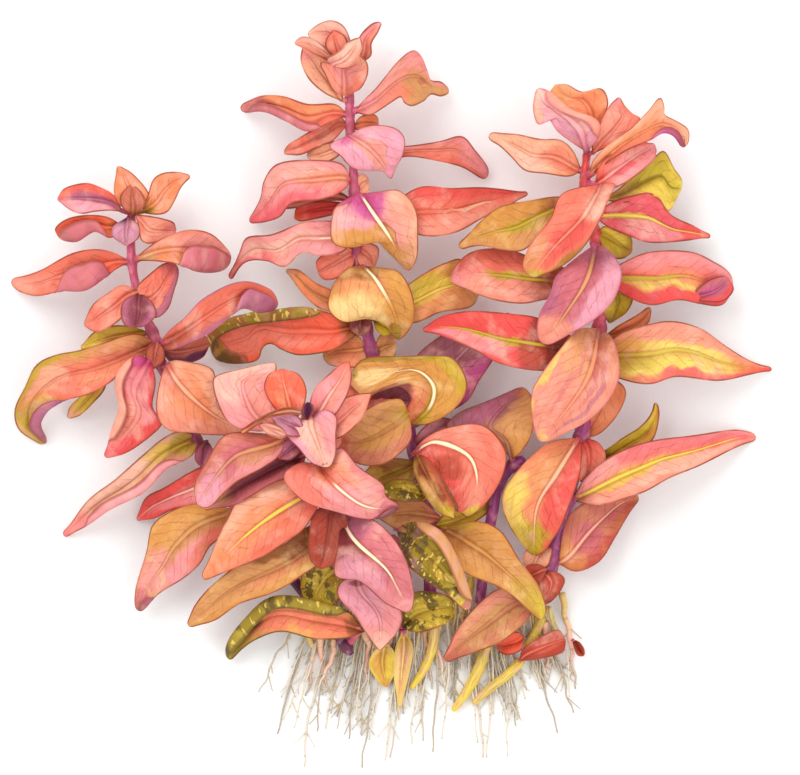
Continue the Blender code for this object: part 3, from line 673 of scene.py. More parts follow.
@dataclass(frozen=True)
class RootFinish:
    """Pale roots, clouded with a few warm stains near the crown."""

    stain: Tone = STRAW
    warm: Tone = BLUSH

    def material(self, name: str) -> bpy.types.Material:
        """The roots' skin, from stained at the crown to pale at the ends.

        Args:
            name: the material's name.

        Returns:
            The material.
        """
        draft = Draft(name)
        share, pick, warm = draft.parts("share")
        _, run, _ = draft.parts("real")
        draft.colour = draft.blend(draft.step(pick, 0.3, 0.9, 0.6), ROOT, ROOT_SHADE)
        draft.lay(draft.times(warm, draft.fade(share, 0.5, 1.0)), self.warm)
        draft.lay(draft.times(draft.fade(share, 0.1, 0.6), draft.step(pick, 0.0, 0.5, 0.8)), self.stain)
        knots = draft.cloud(draft.point(run, pick, 3.0), 1.6, 3.0)
        draft.lay(draft.step(knots, 0.5, 0.75, 0.5), ROOT_SHADE)
        draft.coat(knots, 0.2, 0.5)
        draft.relief(knots, 0.05, 0.6)
        return draft.material


@dataclass(frozen=True)
class Blade:
    """One leaf blade: its outline seen from above, its finish, and how it stands off the surface.

    one and other are the margins' points from base to tip, and rib is the midrib's where it doesn't run
    half way between them. arch is how high the blade rises in its middle, drop how far its tip ends above
    its base (below it, if negative), fold how far its margins stand up, tilt how far it leans to the other
    side, and rise how far a small blade is raised as a whole. ripple is the height of its waves and blunt
    the roundness of its tip.
    """

    name: str
    seat: Seat
    slot: str
    base: Place
    tip: Place
    one: list[Place]
    other: list[Place]
    finish: BladeFinish
    rib: tuple[Place, ...] = ()
    arch: float = 2.0
    drop: float = 0.0
    fold: float = 1.0
    tilt: float = 0.0
    rise: float = 0.0
    ripple: float = 0.3
    blunt: float = 0.5
    rolls: tuple[Roll, ...] = ()

    @property
    def stem(self) -> str:
        """The name of the stem that it grows from."""
        return "stem_" + self.name.partition("_")[0]

    @property
    def length(self) -> float:
        """How far the tip lies from the base."""
        return math.dist(self.base, self.tip)


def curve_through(points: object, shares: object) -> np.ndarray:
    """Places at shares of the length of a smooth curve through some points.

    Args:
        points: the points that the curve goes through.
        shares: the shares of its length, from 0 to 1.

    Returns:
        One place for each share.
    """
    points = np.array(points, float)
    ends = np.vstack([2 * points[0] - points[1], points, 2 * points[-1] - points[-2]])
    dense = []
    for a, b, c, d in zip(ends, ends[1:], ends[2:], ends[3:]):
        for u in np.arange(CURVE_STEPS) / CURVE_STEPS:
            square = (2 * a - 5 * b + 4 * c - d) * u**2
            cube = (3 * b - a - 3 * c + d) * u**3
            dense.append(0.5 * (2 * b + (c - a) * u + square + cube))
    dense = np.array([*dense, points[-1]])
    reach = np.concatenate([[0.0], np.cumsum(np.linalg.norm(np.diff(dense, axis=0), axis=1))])
    at = np.array(shares) * reach[-1]
    return np.stack([np.interp(at, reach, column) for column in dense.T], axis=-1)


def smooth_step(share: object) -> np.ndarray:
    """A rise from 0 to 1 with level ends.

    Args:
        share: where on the rise.

    Returns:
        The risen value.
    """
    share = np.clip(share, 0.0, 1.0)
    return share**2 * (3 - 2 * share)


def in_metres(points: object) -> np.ndarray:
    """World coordinates of places.

    Args:
        points: places of (across, down, height) in millimetres.

    Returns:
        The same places in metres.
    """
    points = np.asarray(points, float)
    flat = [points[..., 0] - ACROSS_MIDDLE, DOWN_MIDDLE - points[..., 1], points[..., 2]]
    return np.stack(flat, axis=-1) * MM


@dataclass
class Skin:
    """A mesh in the making: its points, faces, and what each point knows about its place on the piece."""

    points: list[np.ndarray] = field(default_factory=list)
    faces: list[tuple[int, ...]] = field(default_factory=list)
    slots: list[int] = field(default_factory=list)
    share: list[np.ndarray] = field(default_factory=list)
    real: list[np.ndarray] = field(default_factory=list)

    def add(self, points: np.ndarray, share: np.ndarray, real: np.ndarray) -> int:
        """Add points.

        Args:
            points: places of (across, down, height).
            share: three shares for each point.
            real: three distances for each point.

        Returns:
            The index of the first of them.
        """
        first = sum(len(block) for block in self.points)
        self.points.append(points.reshape(-1, 3))
        self.share.append(share.reshape(-1, 3))
        self.real.append(real.reshape(-1, 3))
        return first

    def face(self, corners: tuple[int, ...], slot: int) -> None:
        """Add a face.

        Args:
            corners: the indices of its points.
            slot: the index of its material.
        """
        self.faces.append(corners)
        self.slots.append(slot)

    def tube(self, line: np.ndarray, radii: np.ndarray, sides: int, slot: int, tints: np.ndarray,
             ridges: float = 0.0, flatten: float = 1.0) -> None:
        """Add a closed tube along a line.

        Args:
            line: the middle line's places.
            radii: the radius at each place.
            sides: how many sides it has.
            slot: the index of its material.
            tints: the second and third share of each ring.
            ridges: how far four soft ridges stand out, as a share of the radius.
            flatten: its height over its width.
        """
        count = len(line)
        ahead = np.gradient(line, axis=0)
        ahead /= np.linalg.norm(ahead, axis=1)[:, None] + 1e-12
        side = np.cross(ahead, (0.0, 0.0, 1.0))
        side /= np.linalg.norm(side, axis=1)[:, None] + 1e-9
        up = np.cross(side, ahead)
        turn = np.arange(sides) / sides * math.tau
        swell = 1.0 + ridges * np.cos(4 * turn)
        across, above = np.cos(turn)[None, :, None], np.sin(turn)[None, :, None]
        out = side[:, None] * across + up[:, None] * above * flatten
        rings = line[:, None] + out * (radii[:, None] * swell)[..., None]
        run = np.concatenate([[0.0], np.cumsum(np.linalg.norm(np.diff(line, axis=0), axis=1))])
        share = np.zeros((count, sides, 3))
        share[..., 0] = (run / max(run[-1], 1e-9))[:, None]
        share[..., 1:] = tints[:, None]
        real = np.zeros((count, sides, 3))
        real[..., 0] = radii[:, None] * np.abs(np.linspace(-math.pi, math.pi, sides))[None]
        real[..., 1] = run[:, None]
        first = self.add(rings, share, real)
        for i in range(count - 1):
            for j in range(sides):
                a, b = first + i * sides + j, first + i * sides + (j + 1) % sides
                self.face((a, b, b + sides, a + sides), slot)
        last = first + (count - 1) * sides
        self.face(tuple(first + j for j in reversed(range(sides))), slot)
        self.face(tuple(last + j for j in range(sides)), slot)

    def piece(self, name: str, materials: list[bpy.types.Material]) -> bpy.types.Object:
        """Make the object.

        Args:
            name: the piece's name.
            materials: its materials, in the order of the faces' slots.

        Returns:
            The object, which rides on the bunch.
        """
        mesh = bpy.data.meshes.new(name)
        mesh.from_pydata(in_metres(np.vstack(self.points)).tolist(), [], self.faces)
        mesh.polygons.foreach_set("material_index", self.slots)
        for key, blocks in (("share", self.share), ("real", self.real)):
            kept = mesh.attributes.new(key, "FLOAT_VECTOR", "POINT")
            kept.data.foreach_set("vector", np.vstack(blocks).astype(np.float32).ravel())
        mesh.shade_smooth()
        mesh.update()
        item = bpy.data.objects.new(name, mesh)
        bpy.context.scene.collection.objects.link(item)
        for material in materials:
            mesh.materials.append(material)
        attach(item, BODY)
        return item


@dataclass
class Shoot:
    """One stem: its middle line, its finish, and the swollen nodes where its blades grow."""

    line: list[tuple[float, float, float, float]]
    finish: StalkFinish
    rings: int = 170
    sides: int = 20
    ridges: float = 0.05
    swelling: float = 0.32
    swollen_length: float = 1.1
    slimness: float = 0.94
    unevenness: float = 0.035
    uneven_turn: float = 38.0
    end_shares: tuple[float, ...] = (0.45, 0.8, 0.94, 1.0)
    slot: str = "stem"

    def middle(self) -> np.ndarray:
        """The middle line as close-set points of (across, down, height, radius)."""
        return curve_through(self.line, np.linspace(0.0, 1.0, STEM_POINTS))

    def nearest(self, place: Place) -> np.ndarray:
        """The point of the middle line nearest to a place seen from above.

        Args:
            place: the place.

        Returns:
            The point's (across, down, height, radius).
        """
        line = self.middle()
        return line[np.argmin(np.linalg.norm(line[:, :2] - np.array(place), axis=1))]

    def build(self, name: str, bases: list[Place]) -> bpy.types.Object:
        """The stem with four soft ridges, thicker where blades grow.

        Args:
            name: the stem's name.
            bases: where its blades grow.

        Returns:
            The stem's piece.
        """
        line = curve_through(self.line, np.linspace(0.0, 1.0, self.rings))
        swell = np.zeros(self.rings)
        for base in bases:
            away = np.linalg.norm(line[:, :2] - self.nearest(base)[:2], axis=1)
            swell = np.maximum(swell, np.exp(-((away / self.swollen_length) ** 2)))
        phase = random.Random(name).uniform(0.0, math.tau)
        uneven = self.unevenness * np.sin(np.linspace(phase, phase + self.uneven_turn, self.rings))
        radii = line[:, 3] * (self.slimness + self.swelling * swell + uneven)
        ends = np.minimum(np.arange(self.rings), np.arange(self.rings)[::-1])
        radii = radii * np.interp(ends, range(len(self.end_shares)), self.end_shares)
        tints = np.stack([swell, np.zeros(self.rings)], axis=-1)
        skin = Skin()
        skin.tube(line[:, :3], radii, self.sides, 0, tints, self.ridges)
        item = skin.piece(name + "_skin", [self.finish.material(name + "_skin")])
        return item


@dataclass
class Leaves:
    """All blades of the bunch: the main ones laid by the rule of the solids, the small ones raised, all
    drawn finely.
    """

    shoots: dict[str, Shoot]
    laid: list[Blade]
    small: list[Blade]

    def surface(self, blade: Blade, along: object, across: object) -> np.ndarray:
        """A blade's middle surface before it is laid.

        Args:
            blade: the blade.
            along: the shares of its length.
            across: the shares of its half width, negative towards its first margin.

        Returns:
            Points of (across, down, height), as [along][across].
        """
        along = np.asarray(along)
        across = np.asarray(across)
        one = curve_through([blade.base, *blade.one, blade.tip], along)
        other = curve_through([blade.base, *blade.other, blade.tip], along)
        middle = (one + other) / 2
        rib = curve_through([blade.base, *blade.rib, blade.tip], along) if blade.rib else middle
        margin = np.where((across < 0)[None, :, None], one[:, None], other[:, None])
        flat = rib[:, None] + (margin - rib[:, None]) * np.abs(across)[None, :, None]
        width = np.linalg.norm(one - other, axis=1)
        wide = (width / width.max())[:, None]
        _, _, stem_height, stem_radius = self.shoots[blade.stem].nearest(blade.base)
        seat_height = stem_height + blade.seat.value * (1 + stem_radius)
        height = seat_height + blade.arch * np.sin(math.pi * along**ARCH_LEAN) + blade.drop * along**2
        bend = blade.fold * np.abs(across) ** FOLD_POWER * wide + blade.tilt * across * wide
        return np.dstack([flat, height[:, None] + bend])

    def first_share(self, blade: Blade) -> float:
        """How far along a side blade's solid starts, clear of the stem.

        Args:
            blade: the blade.

        Returns:
            The share of its length.
        """
        if blade.seat is FRONT:
            return FRONT_START
        line = self.shoots[blade.stem].middle()
        for share in np.arange(FIRST_START, LAST_START, START_STEP):
            row = self.surface(blade, [share, 1.0], np.linspace(-1, 1, SOLID_CELLS_ACROSS + 1))[0]
            away = np.linalg.norm(row[:, None, :2] - line[None, :, :2], axis=2) - line[None, :, 3]
            if away.min() > STEM_GAP:
                return float(share)
        return LAST_START

    def lifts(self) -> dict[str, tuple[float, float]]:
        """How far each blade is raised near its base and beyond, to lie on what is below it.

        Returns:
            The two rises of each blade, by its name.
        """
        relief = Relief(self.shoots)
        found = {}
        for blade in self.laid:
            start = self.first_share(blade)
            cells = SOLID_CELLS_LONG if blade.length > LONG_BLADE else SOLID_CELLS
            along = start + (1.0 - start) * np.linspace(0.0, 1.0, cells + 1)
            surface = self.surface(blade, along, np.linspace(-1.0, 1.0, SOLID_CELLS_ACROSS + 1))
            close = relief.between(surface)
            close_along = np.interp(
                np.linspace(0, 1, close.shape[0]), np.linspace(0, 1, cells + 1), along)
            close[..., 2] = np.maximum(close[..., 2], LYING_HEIGHT)
            tops = relief.under(close, blade)
            short = np.where(tops > 0.0, tops + SOLID_THICKNESS / 2 + LAID_GAP - close[..., 2], 0.0)
            near = max(0.0, short[(close_along > SEATED_SHARE) & (close_along < NEAR_SHARE)].max())
            far = max(near, short[close_along >= NEAR_SHARE].max())
            relief.add(relief.between(lifted(surface, along, near, far)))
            found[blade.name] = (near, far)
        return found

    def build(self) -> None:
        """Lay and draw every blade."""
        lifts = self.lifts()
        for blade in self.laid:
            item = self.draw(blade, *lifts[blade.name])
            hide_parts(blade.name)
            LOG.info("%s: raised %.1f mm at its base, %.1f mm beyond", blade.name, *lifts[blade.name])
        for blade in self.small:
            self.draw(blade, blade.rise, blade.rise)
            LOG.info("%s: a small blade", blade.name)

    def draw(self, blade: Blade, near: float, far: float) -> bpy.types.Object:
        """One blade as a fine closed skin.

        Args:
            blade: the blade.
            near: its rise just past its base.
            far: its rise beyond.

        Returns:
            The blade's piece.
        """
        rows = ROWS_SMALL if blade.length < SMALL_BLADE else ROWS
        near_tip = 1.0 - blade.blunt * np.array(TIP_ROWS) / blade.length
        along = np.unique(np.concatenate([np.linspace(0.0, 1.0, rows), near_tip]))
        across = np.sin(np.linspace(-math.pi / 2, math.pi / 2, COLUMNS + 1))
        surface = lifted(self.surface(blade, along, across), along, near, far)
        shape = BladeShape(blade, surface, along, across)
        skin = shape.skin(self.shoots[blade.stem].nearest(blade.base))
        stalk = StalkFinish(STEM_PINK, blade.finish.base).material(blade.name + "_stalk")
        finishes = [blade.finish.upper(blade.name), blade.finish.under(blade.name), stalk]
        item = skin.piece(blade.name + "_blade", finishes)
        return item


@dataclass
class BladeShape:
    """The fine shape of one blade: waves, rolled lips, midrib and veins on its laid surface."""

    blade: Blade
    surface: np.ndarray
    along: np.ndarray
    across: np.ndarray
    off: np.ndarray = field(init=False)
    run: np.ndarray = field(init=False)
    edge: np.ndarray = field(init=False)

    @property
    def middle(self) -> int:
        """The index of the midrib among the columns."""
        return int(len(self.across) / 2)

    @property
    def rib(self) -> np.ndarray:
        """The middle of each row."""
        return self.surface[:, self.middle]

    def __post_init__(self) -> None:
        """Round the tip and measure the surface, then wave, roll and vein it."""
        rib = self.rib
        self.round_tip()
        self.off = np.linalg.norm((self.surface - rib[:, None])[..., :2], axis=-1) * np.sign(self.across)
        length = np.concatenate([[0.0], np.cumsum(np.linalg.norm(np.diff(rib, axis=0), axis=1))])
        self.run = np.broadcast_to(length[:, None], self.off.shape)
        half = np.where(self.across < 0, np.abs(self.off[:, :1]), np.abs(self.off[:, -1:]))
        self.edge = half - np.abs(self.off)
        self.wave()
        for roll in self.blade.rolls:
            self.roll(roll, half)
        self.vein()
        self.surface[..., 2] = np.maximum(self.surface[..., 2], LYING_HEIGHT)

    def round_tip(self) -> None:
        """Widen the last rows so that the tip ends in a small arc."""
        rib = self.rib
        gone = np.linalg.norm(np.diff(rib[:, :2], axis=0), axis=1)[::-1].cumsum()[::-1]
        left = np.append(gone, 0.0)[:, None]
        arc = 2 * self.blade.blunt * left * np.exp(-left / (1.5 * self.blade.blunt))
        offset = self.surface[..., :2] - rib[:, None, :2]
        for side in (slice(0, self.middle), slice(self.middle + 1, None)):
            outer = offset[:, 0 if side.start == 0 else -1]
            width = np.maximum(np.linalg.norm(outer, axis=1), 1e-6)[:, None]
            wider = np.where(width > 1e-4, np.sqrt(width**2 + arc) / width, 1.0)
            offset[:, side] *= wider[..., None]
        self.surface[..., :2] = rib[:, None, :2] + offset

    def wave(self) -> None:
        """Set the margins in soft waves that die out at the base and the tip."""
        chance = random.Random(self.blade.name + "_wave")
        rise = np.zeros_like(self.off)
        for side in (-1, 1):
            phase = chance.uniform(0.0, math.tau)
            stretch = chance.uniform(*RIPPLE_STRETCH)
            turn = self.run / (RIPPLE_LENGTH * stretch) * math.tau + phase
            wave = np.sin(turn) + SECOND_RIPPLE * np.sin(SECOND_RIPPLE_RATE * turn + phase)
            rise += np.where(np.sign(self.across) == side, wave, 0.0) * np.abs(self.across) ** RIPPLE_POWER
        ends = np.sin(math.pi * np.clip(self.along, 0.0, 1.0)) ** 0.5
        self.surface[..., 2] += self.blade.ripple * rise * ends[:, None]

    def roll(self, roll: Roll, half: np.ndarray) -> None:
        """Wind one margin up and over into a lip.

        Args:
            roll: the lip.
            half: the half width at each point.
        """
        ramp = min(ROLL_RAMP, ROLL_RAMP_SHARE * (roll.end - roll.start))
        opening = smooth_step((self.along - roll.start) / ramp)
        window = opening * smooth_step((roll.end - self.along) / ramp)
        rib = self.rib
        chosen = np.sign(self.across) == roll.side
        shares = np.abs(self.across[chosen][:: roll.side])
        outer = -1 if roll.side > 0 else 0
        for i in np.nonzero(window > ROLL_SEEN)[0]:
            width = half[i, outer]
            if width < NARROWEST_ROLLED:
                continue
            turn = math.radians(roll.turn) * min(1.0, ROLL_FULL * window[i])
            radius = min(roll.radius * max(ROLL_LEAST, window[i]), width / ROLL_MARGIN)
            level = width - radius * (1.0 if turn > math.pi / 2 else math.sin(turn))
            away = (self.surface[i, outer] - rib[i])[:2] / width
            heights = self.surface[i, chosen, 2][:: roll.side].copy()
            for j in np.nonzero(chosen)[0]:
                arc = abs(self.across[j]) * (level + radius * turn)
                angle = max(0.0, (arc - level) / radius)
                out = min(arc, level) + radius * math.sin(angle)
                place = rib[i, :2] + away * out
                height = np.interp(min(1.0, out / width), shares, heights)
                height += radius * roll.flatness * (1.0 - math.cos(angle))
                self.surface[i, j] = (*place, height)

    def vein(self) -> None:
        """Sink the midrib and the side veins a little into the upper side."""
        fading = smooth_step((1.0 - self.along) / RIB_FADE)[:, None]
        sunk = RIB_DEPTH * np.exp(-((self.off / RIB_WIDTH) ** 2)) * fading
        turn = (self.run - VEIN_LEAN * np.abs(self.off)) / VEIN_SPACING
        quilt = VEIN_RELIEF * np.cos(math.tau * turn) * smooth_step(self.edge / QUILTED_FROM)
        self.surface[..., 2] += quilt - sunk

    def skin(self, stem_point: np.ndarray) -> Skin:
        """The closed skin: an upper and a lower side that meet at the margins, and a short stalk.

        Args:
            stem_point: the stem's (across, down, height, radius) where the blade grows.

        Returns:
            The skin.
        """
        count, wide = self.off.shape
        normal = np.cross(np.gradient(self.surface, axis=0), np.gradient(self.surface, axis=1))
        normal = normal / np.maximum(np.linalg.norm(normal, axis=-1, keepdims=True), 1e-9)
        if normal[int(count / 2), self.middle, 2] < 0:
            normal = -normal
        normal[0], normal[-1] = normal[1], normal[-2]
        thick = BLADE_THICKNESS / 2 * (1.0 - np.abs(self.across) ** MARGIN_POWER)
        thick = thick * np.clip(np.minimum(self.along, 1.0 - self.along) * END_TAPER, 0.0, 1.0)[:, None]
        stand = normal * thick[..., None]
        share = np.zeros((count, wide, 3))
        share[..., 0] = self.across
        share[..., 1] = self.along[:, None]
        real = np.stack([self.off, self.run, self.edge], axis=-1)
        skin = Skin()
        whole, inner = np.s_[1:-1, :], np.s_[1:-1, 1:-1]
        tops = skin.add((self.surface + stand)[whole], share[whole], real[whole])
        lows = skin.add((self.surface - stand)[inner], share[inner], real[inner])
        kept = (self.surface, share, real)
        ends = [skin.add(*(block[i, self.middle] for block in kept)) for i in (0, -1)]
        top = np.empty((count, wide), int)
        top[0], top[-1] = ends
        top[whole] = np.arange(tops, lows).reshape(count - 2, wide)
        low = top.copy()
        low[inner] = np.arange(lows, ends[0]).reshape(count - 2, wide - 2)
        upward = self.faces_up()
        sides = ((top.tolist(), 0, not upward), (low.tolist(), 1, upward))
        for i in range(count - 1):
            for j in range(wide - 1):
                for at, slot, turned in sides:
                    corners = [at[i][j], at[i][j + 1], at[i + 1][j + 1], at[i + 1][j]]
                    corners = tuple(dict.fromkeys(corners))
                    skin.face(corners[::-1] if turned else corners, slot)
        self.stalk(skin, stem_point)
        return skin

    def faces_up(self) -> bool:
        """Whether faces wound along the rows look upwards.

        Returns:
            True if they do.
        """
        half = int(len(self.along) / 2)
        ahead = (self.surface[half + 1, self.middle] - self.surface[half, self.middle])[:2]
        aside = (self.surface[half, self.middle + 1] - self.surface[half, self.middle])[:2]
        return bool(aside[0] * ahead[1] - aside[1] * ahead[0] < 0)

    def stalk(self, skin: Skin, stem_point: np.ndarray) -> None:
        """Add the short stalk from inside the stem to under the blade's first stretch.

        Args:
            skin: the blade's skin.
            stem_point: the stem's (across, down, height, radius) where the blade grows.
        """
        under = np.array((0.0, 0.0, BLADE_THICKNESS * STALK_DEPTH))
        reach = [self.rib[max(1, round(len(self.rib) * share))] - under for share in STALK_REACH]
        start = np.array(stem_point[:3])
        if np.linalg.norm(start[:2] - self.blade.base) > LONGEST_STALK:
            start = self.rib[0] - under
        shares = np.linspace(0.0, 1.0, STALK_POINTS)
        line = curve_through([start, *reach], shares)
        line[:, 2] = np.maximum(line[:, 2], LYING_HEIGHT)
        widest = float(np.clip(STALK_SHARE * self.blade.length, *STALK_RADII))
        radii = np.interp(shares, [0.0, 0.5, 1.0], [widest, 0.8 * widest, STALK_END])
        skin.tube(line, radii, STALK_SIDES, 2, np.zeros((STALK_POINTS, 2)), flatten=STALK_FLATNESS)


class Relief:
    """How high the pieces laid so far reach, on a grid of small cells seen from above."""

    def __init__(self, shoots: dict[str, Shoot]) -> None:
        """Take in the stems and the root mass.

        Args:
            shoots: the stems by name.
        """
        cells = int(RELIEF_SIZE / RELIEF_CELL)
        self.layers = {"blades": np.zeros((cells, cells))}
        for name, shoot in shoots.items():
            self.layers[name] = np.zeros((cells, cells))
            for across, down, height, radius in shoot.middle():
                reach = int(round(radius / RELIEF_CELL))
                i, j = self.cell(across), self.cell(down)
                patch = self.layers[name][i - reach:i + reach + 1, j - reach:j + reach + 1]
                np.maximum(patch, height + radius, out=patch)
        left, top, right, bottom = (self.cell(side) for side in ROOT_BOX)
        self.layers["blades"][left:right, top:bottom] = ROOT_THICKNESS

    @staticmethod
    def cell(place: object) -> np.ndarray:
        """The grid index of a place."""
        return np.asarray(np.asarray(place) / RELIEF_CELL, int)

    @staticmethod
    def between(surface: np.ndarray) -> np.ndarray:
        """The surface's points with more set evenly between them.

        Args:
            surface: the points as [along][across].

        Returns:
            The closer-set points.
        """
        for axis in (0, 1):
            count = surface.shape[axis]
            at = np.linspace(0, count - 1, (count - 1) * RELIEF_SAMPLES + 1)
            low = np.minimum(at.astype(int), count - 2)
            share = (at - low).reshape((-1, 1, 1) if axis == 0 else (1, -1, 1))
            surface = np.take(surface, low, axis) * (1 - share) + np.take(surface, low + 1, axis) * share
        return surface

    def under(self, surface: np.ndarray, blade: Blade) -> np.ndarray:
        """The height reached under each point of a blade.

        Args:
            surface: the blade's close-set points.
            blade: the blade.

        Returns:
            The heights.
        """
        passed = {FRONT: (), SIDE: (blade.stem,), BACK: tuple(self.layers)[1:]}
        skipped = passed[blade.seat]
        tops = np.maximum.reduce([layer for name, layer in self.layers.items() if name not in skipped])
        i, j = self.cell(surface[..., 0]), self.cell(surface[..., 1])
        around = [tops[i + di, j + dj] for di in (-1, 0, 1) for dj in (-1, 0, 1)]
        return np.maximum.reduce(around)

    def add(self, surface: np.ndarray) -> None:
        """Take in a blade that has been laid.

        Args:
            surface: its close-set points.
        """
        i, j = self.cell(surface[..., 0]), self.cell(surface[..., 1])
        np.maximum.at(self.layers["blades"], (i, j), surface[..., 2] + SOLID_THICKNESS / 2)


def lifted(surface: np.ndarray, along: object, near: float, far: float) -> np.ndarray:
    """A surface raised off what lies below it, with its base left on the stem.

    Args:
        surface: the surface's points.
        along: the share of the length of each row.
        near: the rise just past its base.
        far: the rise beyond NEAR_SHARE.

    Returns:
        The raised points.
    """
    along = np.asarray(along)
    rise = near * smooth_step(along / SEATED_SHARE) + (far - near) * smooth_step(along / NEAR_SHARE)
    raised = surface.copy()
    raised[..., 2] = np.maximum(surface[..., 2] + rise[:, None], LYING_HEIGHT)
    return raised


@dataclass
class RootFan:
    """One fan of fine roots with side rootlets, from the stems' lower ends to the surface."""

    node: str
    crown: list[Place]
    ends: list[Place]
    filler: int
    seed: int
    broad: list[tuple[Place, Place]]
    finish: RootFinish = RootFinish()
    thickest: float = 0.38
    broadest: float = 0.75
    thinnest: float = 0.15
    starts: int = 64
    points: int = 26
    sides: int = 6
    filler_reach: Span = (0.55, 0.98)
    filler_radii: Span = (0.45, 0.9)
    beside: float = 0.06
    sway: float = 1.4
    waves: tuple[Span, Span] = ((1.5, 2.6), (3.5, 6.0))
    wave_sizes: Span = (0.12, 0.75)
    short: float = 8.0
    short_height: float = 2.0
    crown_heights: Span = (2.2, 4.6)
    bed_heights: Span = (0.25, 1.7)
    rootlets_each: int = 4
    rootlet_points: int = 8
    rootlet_sides: int = 4
    rootlet_lengths: Span = (1.0, 3.6)
    rootlet_bend: float = 0.6
    rootlet_radii: Span = (0.13, 0.07)

    def build(self) -> bpy.types.Object:
        """The fan's roots as joined tapered tubes.

        Returns:
            The fan's piece.
        """
        chance = random.Random(self.seed)
        skin = Skin()
        starts = curve_through(self.crown, np.linspace(0.0, 1.0, self.starts))
        for end in self.ends:
            share = np.interp(end[0], [self.ends[0][0], self.ends[-1][0]], [0.0, 1.0])
            self.root(skin, chance, starts[int((self.starts - 1) * share)], end, self.thickest)
        for _ in range(self.filler):
            share = chance.random()
            reach = chance.uniform(*self.filler_reach)
            start = starts[int((self.starts - 1) * share)]
            beside = min(1.0, max(0.0, share + chance.uniform(-self.beside, self.beside)))
            bottom = curve_through(self.ends, [beside])[0]
            end = start + (bottom - start) * reach
            self.root(skin, chance, start, end, self.thickest * chance.uniform(*self.filler_radii))
        for start, end in self.broad:
            self.root(skin, chance, start, end, self.broadest, 1.0)
        item = skin.piece(self.node + "_fine", [self.finish.material(self.node + "_skin")])
        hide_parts(self.node)
        return item

    def root(
        self, skin: Skin, chance: random.Random, start: object, end: object, thickness: float,
        warm: float = 0.0,
    ) -> None:
        """Add one wavy root with its side rootlets.

        Args:
            skin: the fan's skin.
            chance: the source of its wander.
            start: where it leaves the crown.
            end: where it ends.
            thickness: its radius at the crown.
            warm: how much it is flushed.
        """
        start, end = np.array(start, float), np.array(end, float)
        share = np.linspace(0.0, 1.0, self.points)
        flat = start + (end - start) * share[:, None]
        ahead = (end - start) / np.linalg.norm(end - start)
        aside = np.array((-ahead[1], ahead[0]))
        sway = chance.uniform(-self.sway, self.sway) * np.sin(math.pi * share)
        for waves in [chance.uniform(*span) for span in self.waves]:
            size = chance.uniform(*self.wave_sizes) / waves
            turn = waves * math.tau * share + chance.uniform(0, math.tau)
            sway += size * np.sin(turn) * smooth_step(share / 0.2)
        sway *= smooth_step((1.0 - share) / 0.1)
        flat = flat + aside * sway[:, None]
        is_long = np.ptp(flat[:, 1]) > self.short
        high = chance.uniform(*self.crown_heights) if is_long else self.short_height
        bed = chance.uniform(*self.bed_heights)
        height = bed + (high - bed) * (1.0 - smooth_step(share / 0.4))
        line = np.column_stack([flat, height])
        radii = thickness + (self.thinnest - thickness) * share**0.8
        pick = chance.random()
        tints = np.column_stack([np.full(self.points, pick), np.full(self.points, warm)])
        skin.tube(line, radii, self.sides, 0, tints)
        for _ in range(self.rootlets_each):
            self.rootlet(skin, chance, line, aside, pick)

    def rootlet(
        self, skin: Skin, chance: random.Random, line: np.ndarray, aside: np.ndarray, pick: float
    ) -> None:
        """Add one thin side rootlet.

        Args:
            skin: the fan's skin.
            chance: the source of its wander.
            line: the root's middle line.
            aside: the direction across the root.
            pick: the root's tint.
        """
        at = chance.randrange(int(self.points * 0.25), self.points - 3)
        ahead = line[at + 1, :2] - line[at, :2]
        ahead = ahead / np.linalg.norm(ahead)
        out = aside * chance.choice((-1, 1)) * chance.uniform(0.35, 0.9) + ahead
        length = chance.uniform(*self.rootlet_lengths)
        share = np.linspace(0.0, 1.0, self.rootlet_points)
        flat = line[at, :2] + out * (length * share)[:, None]
        bend = chance.uniform(-self.rootlet_bend, self.rootlet_bend)
        flat = flat + ahead * (bend * share**2)[:, None]
        height = np.maximum(line[at, 2] + (0.3 - line[at, 2]) * share, 0.25)
        radii = np.interp(share, [0.0, 1.0], self.rootlet_radii)
        tints = np.column_stack([np.full(len(share), pick), np.zeros(len(share))])
        skin.tube(np.column_stack([flat, height]), radii, self.rootlet_sides, 0, tints)


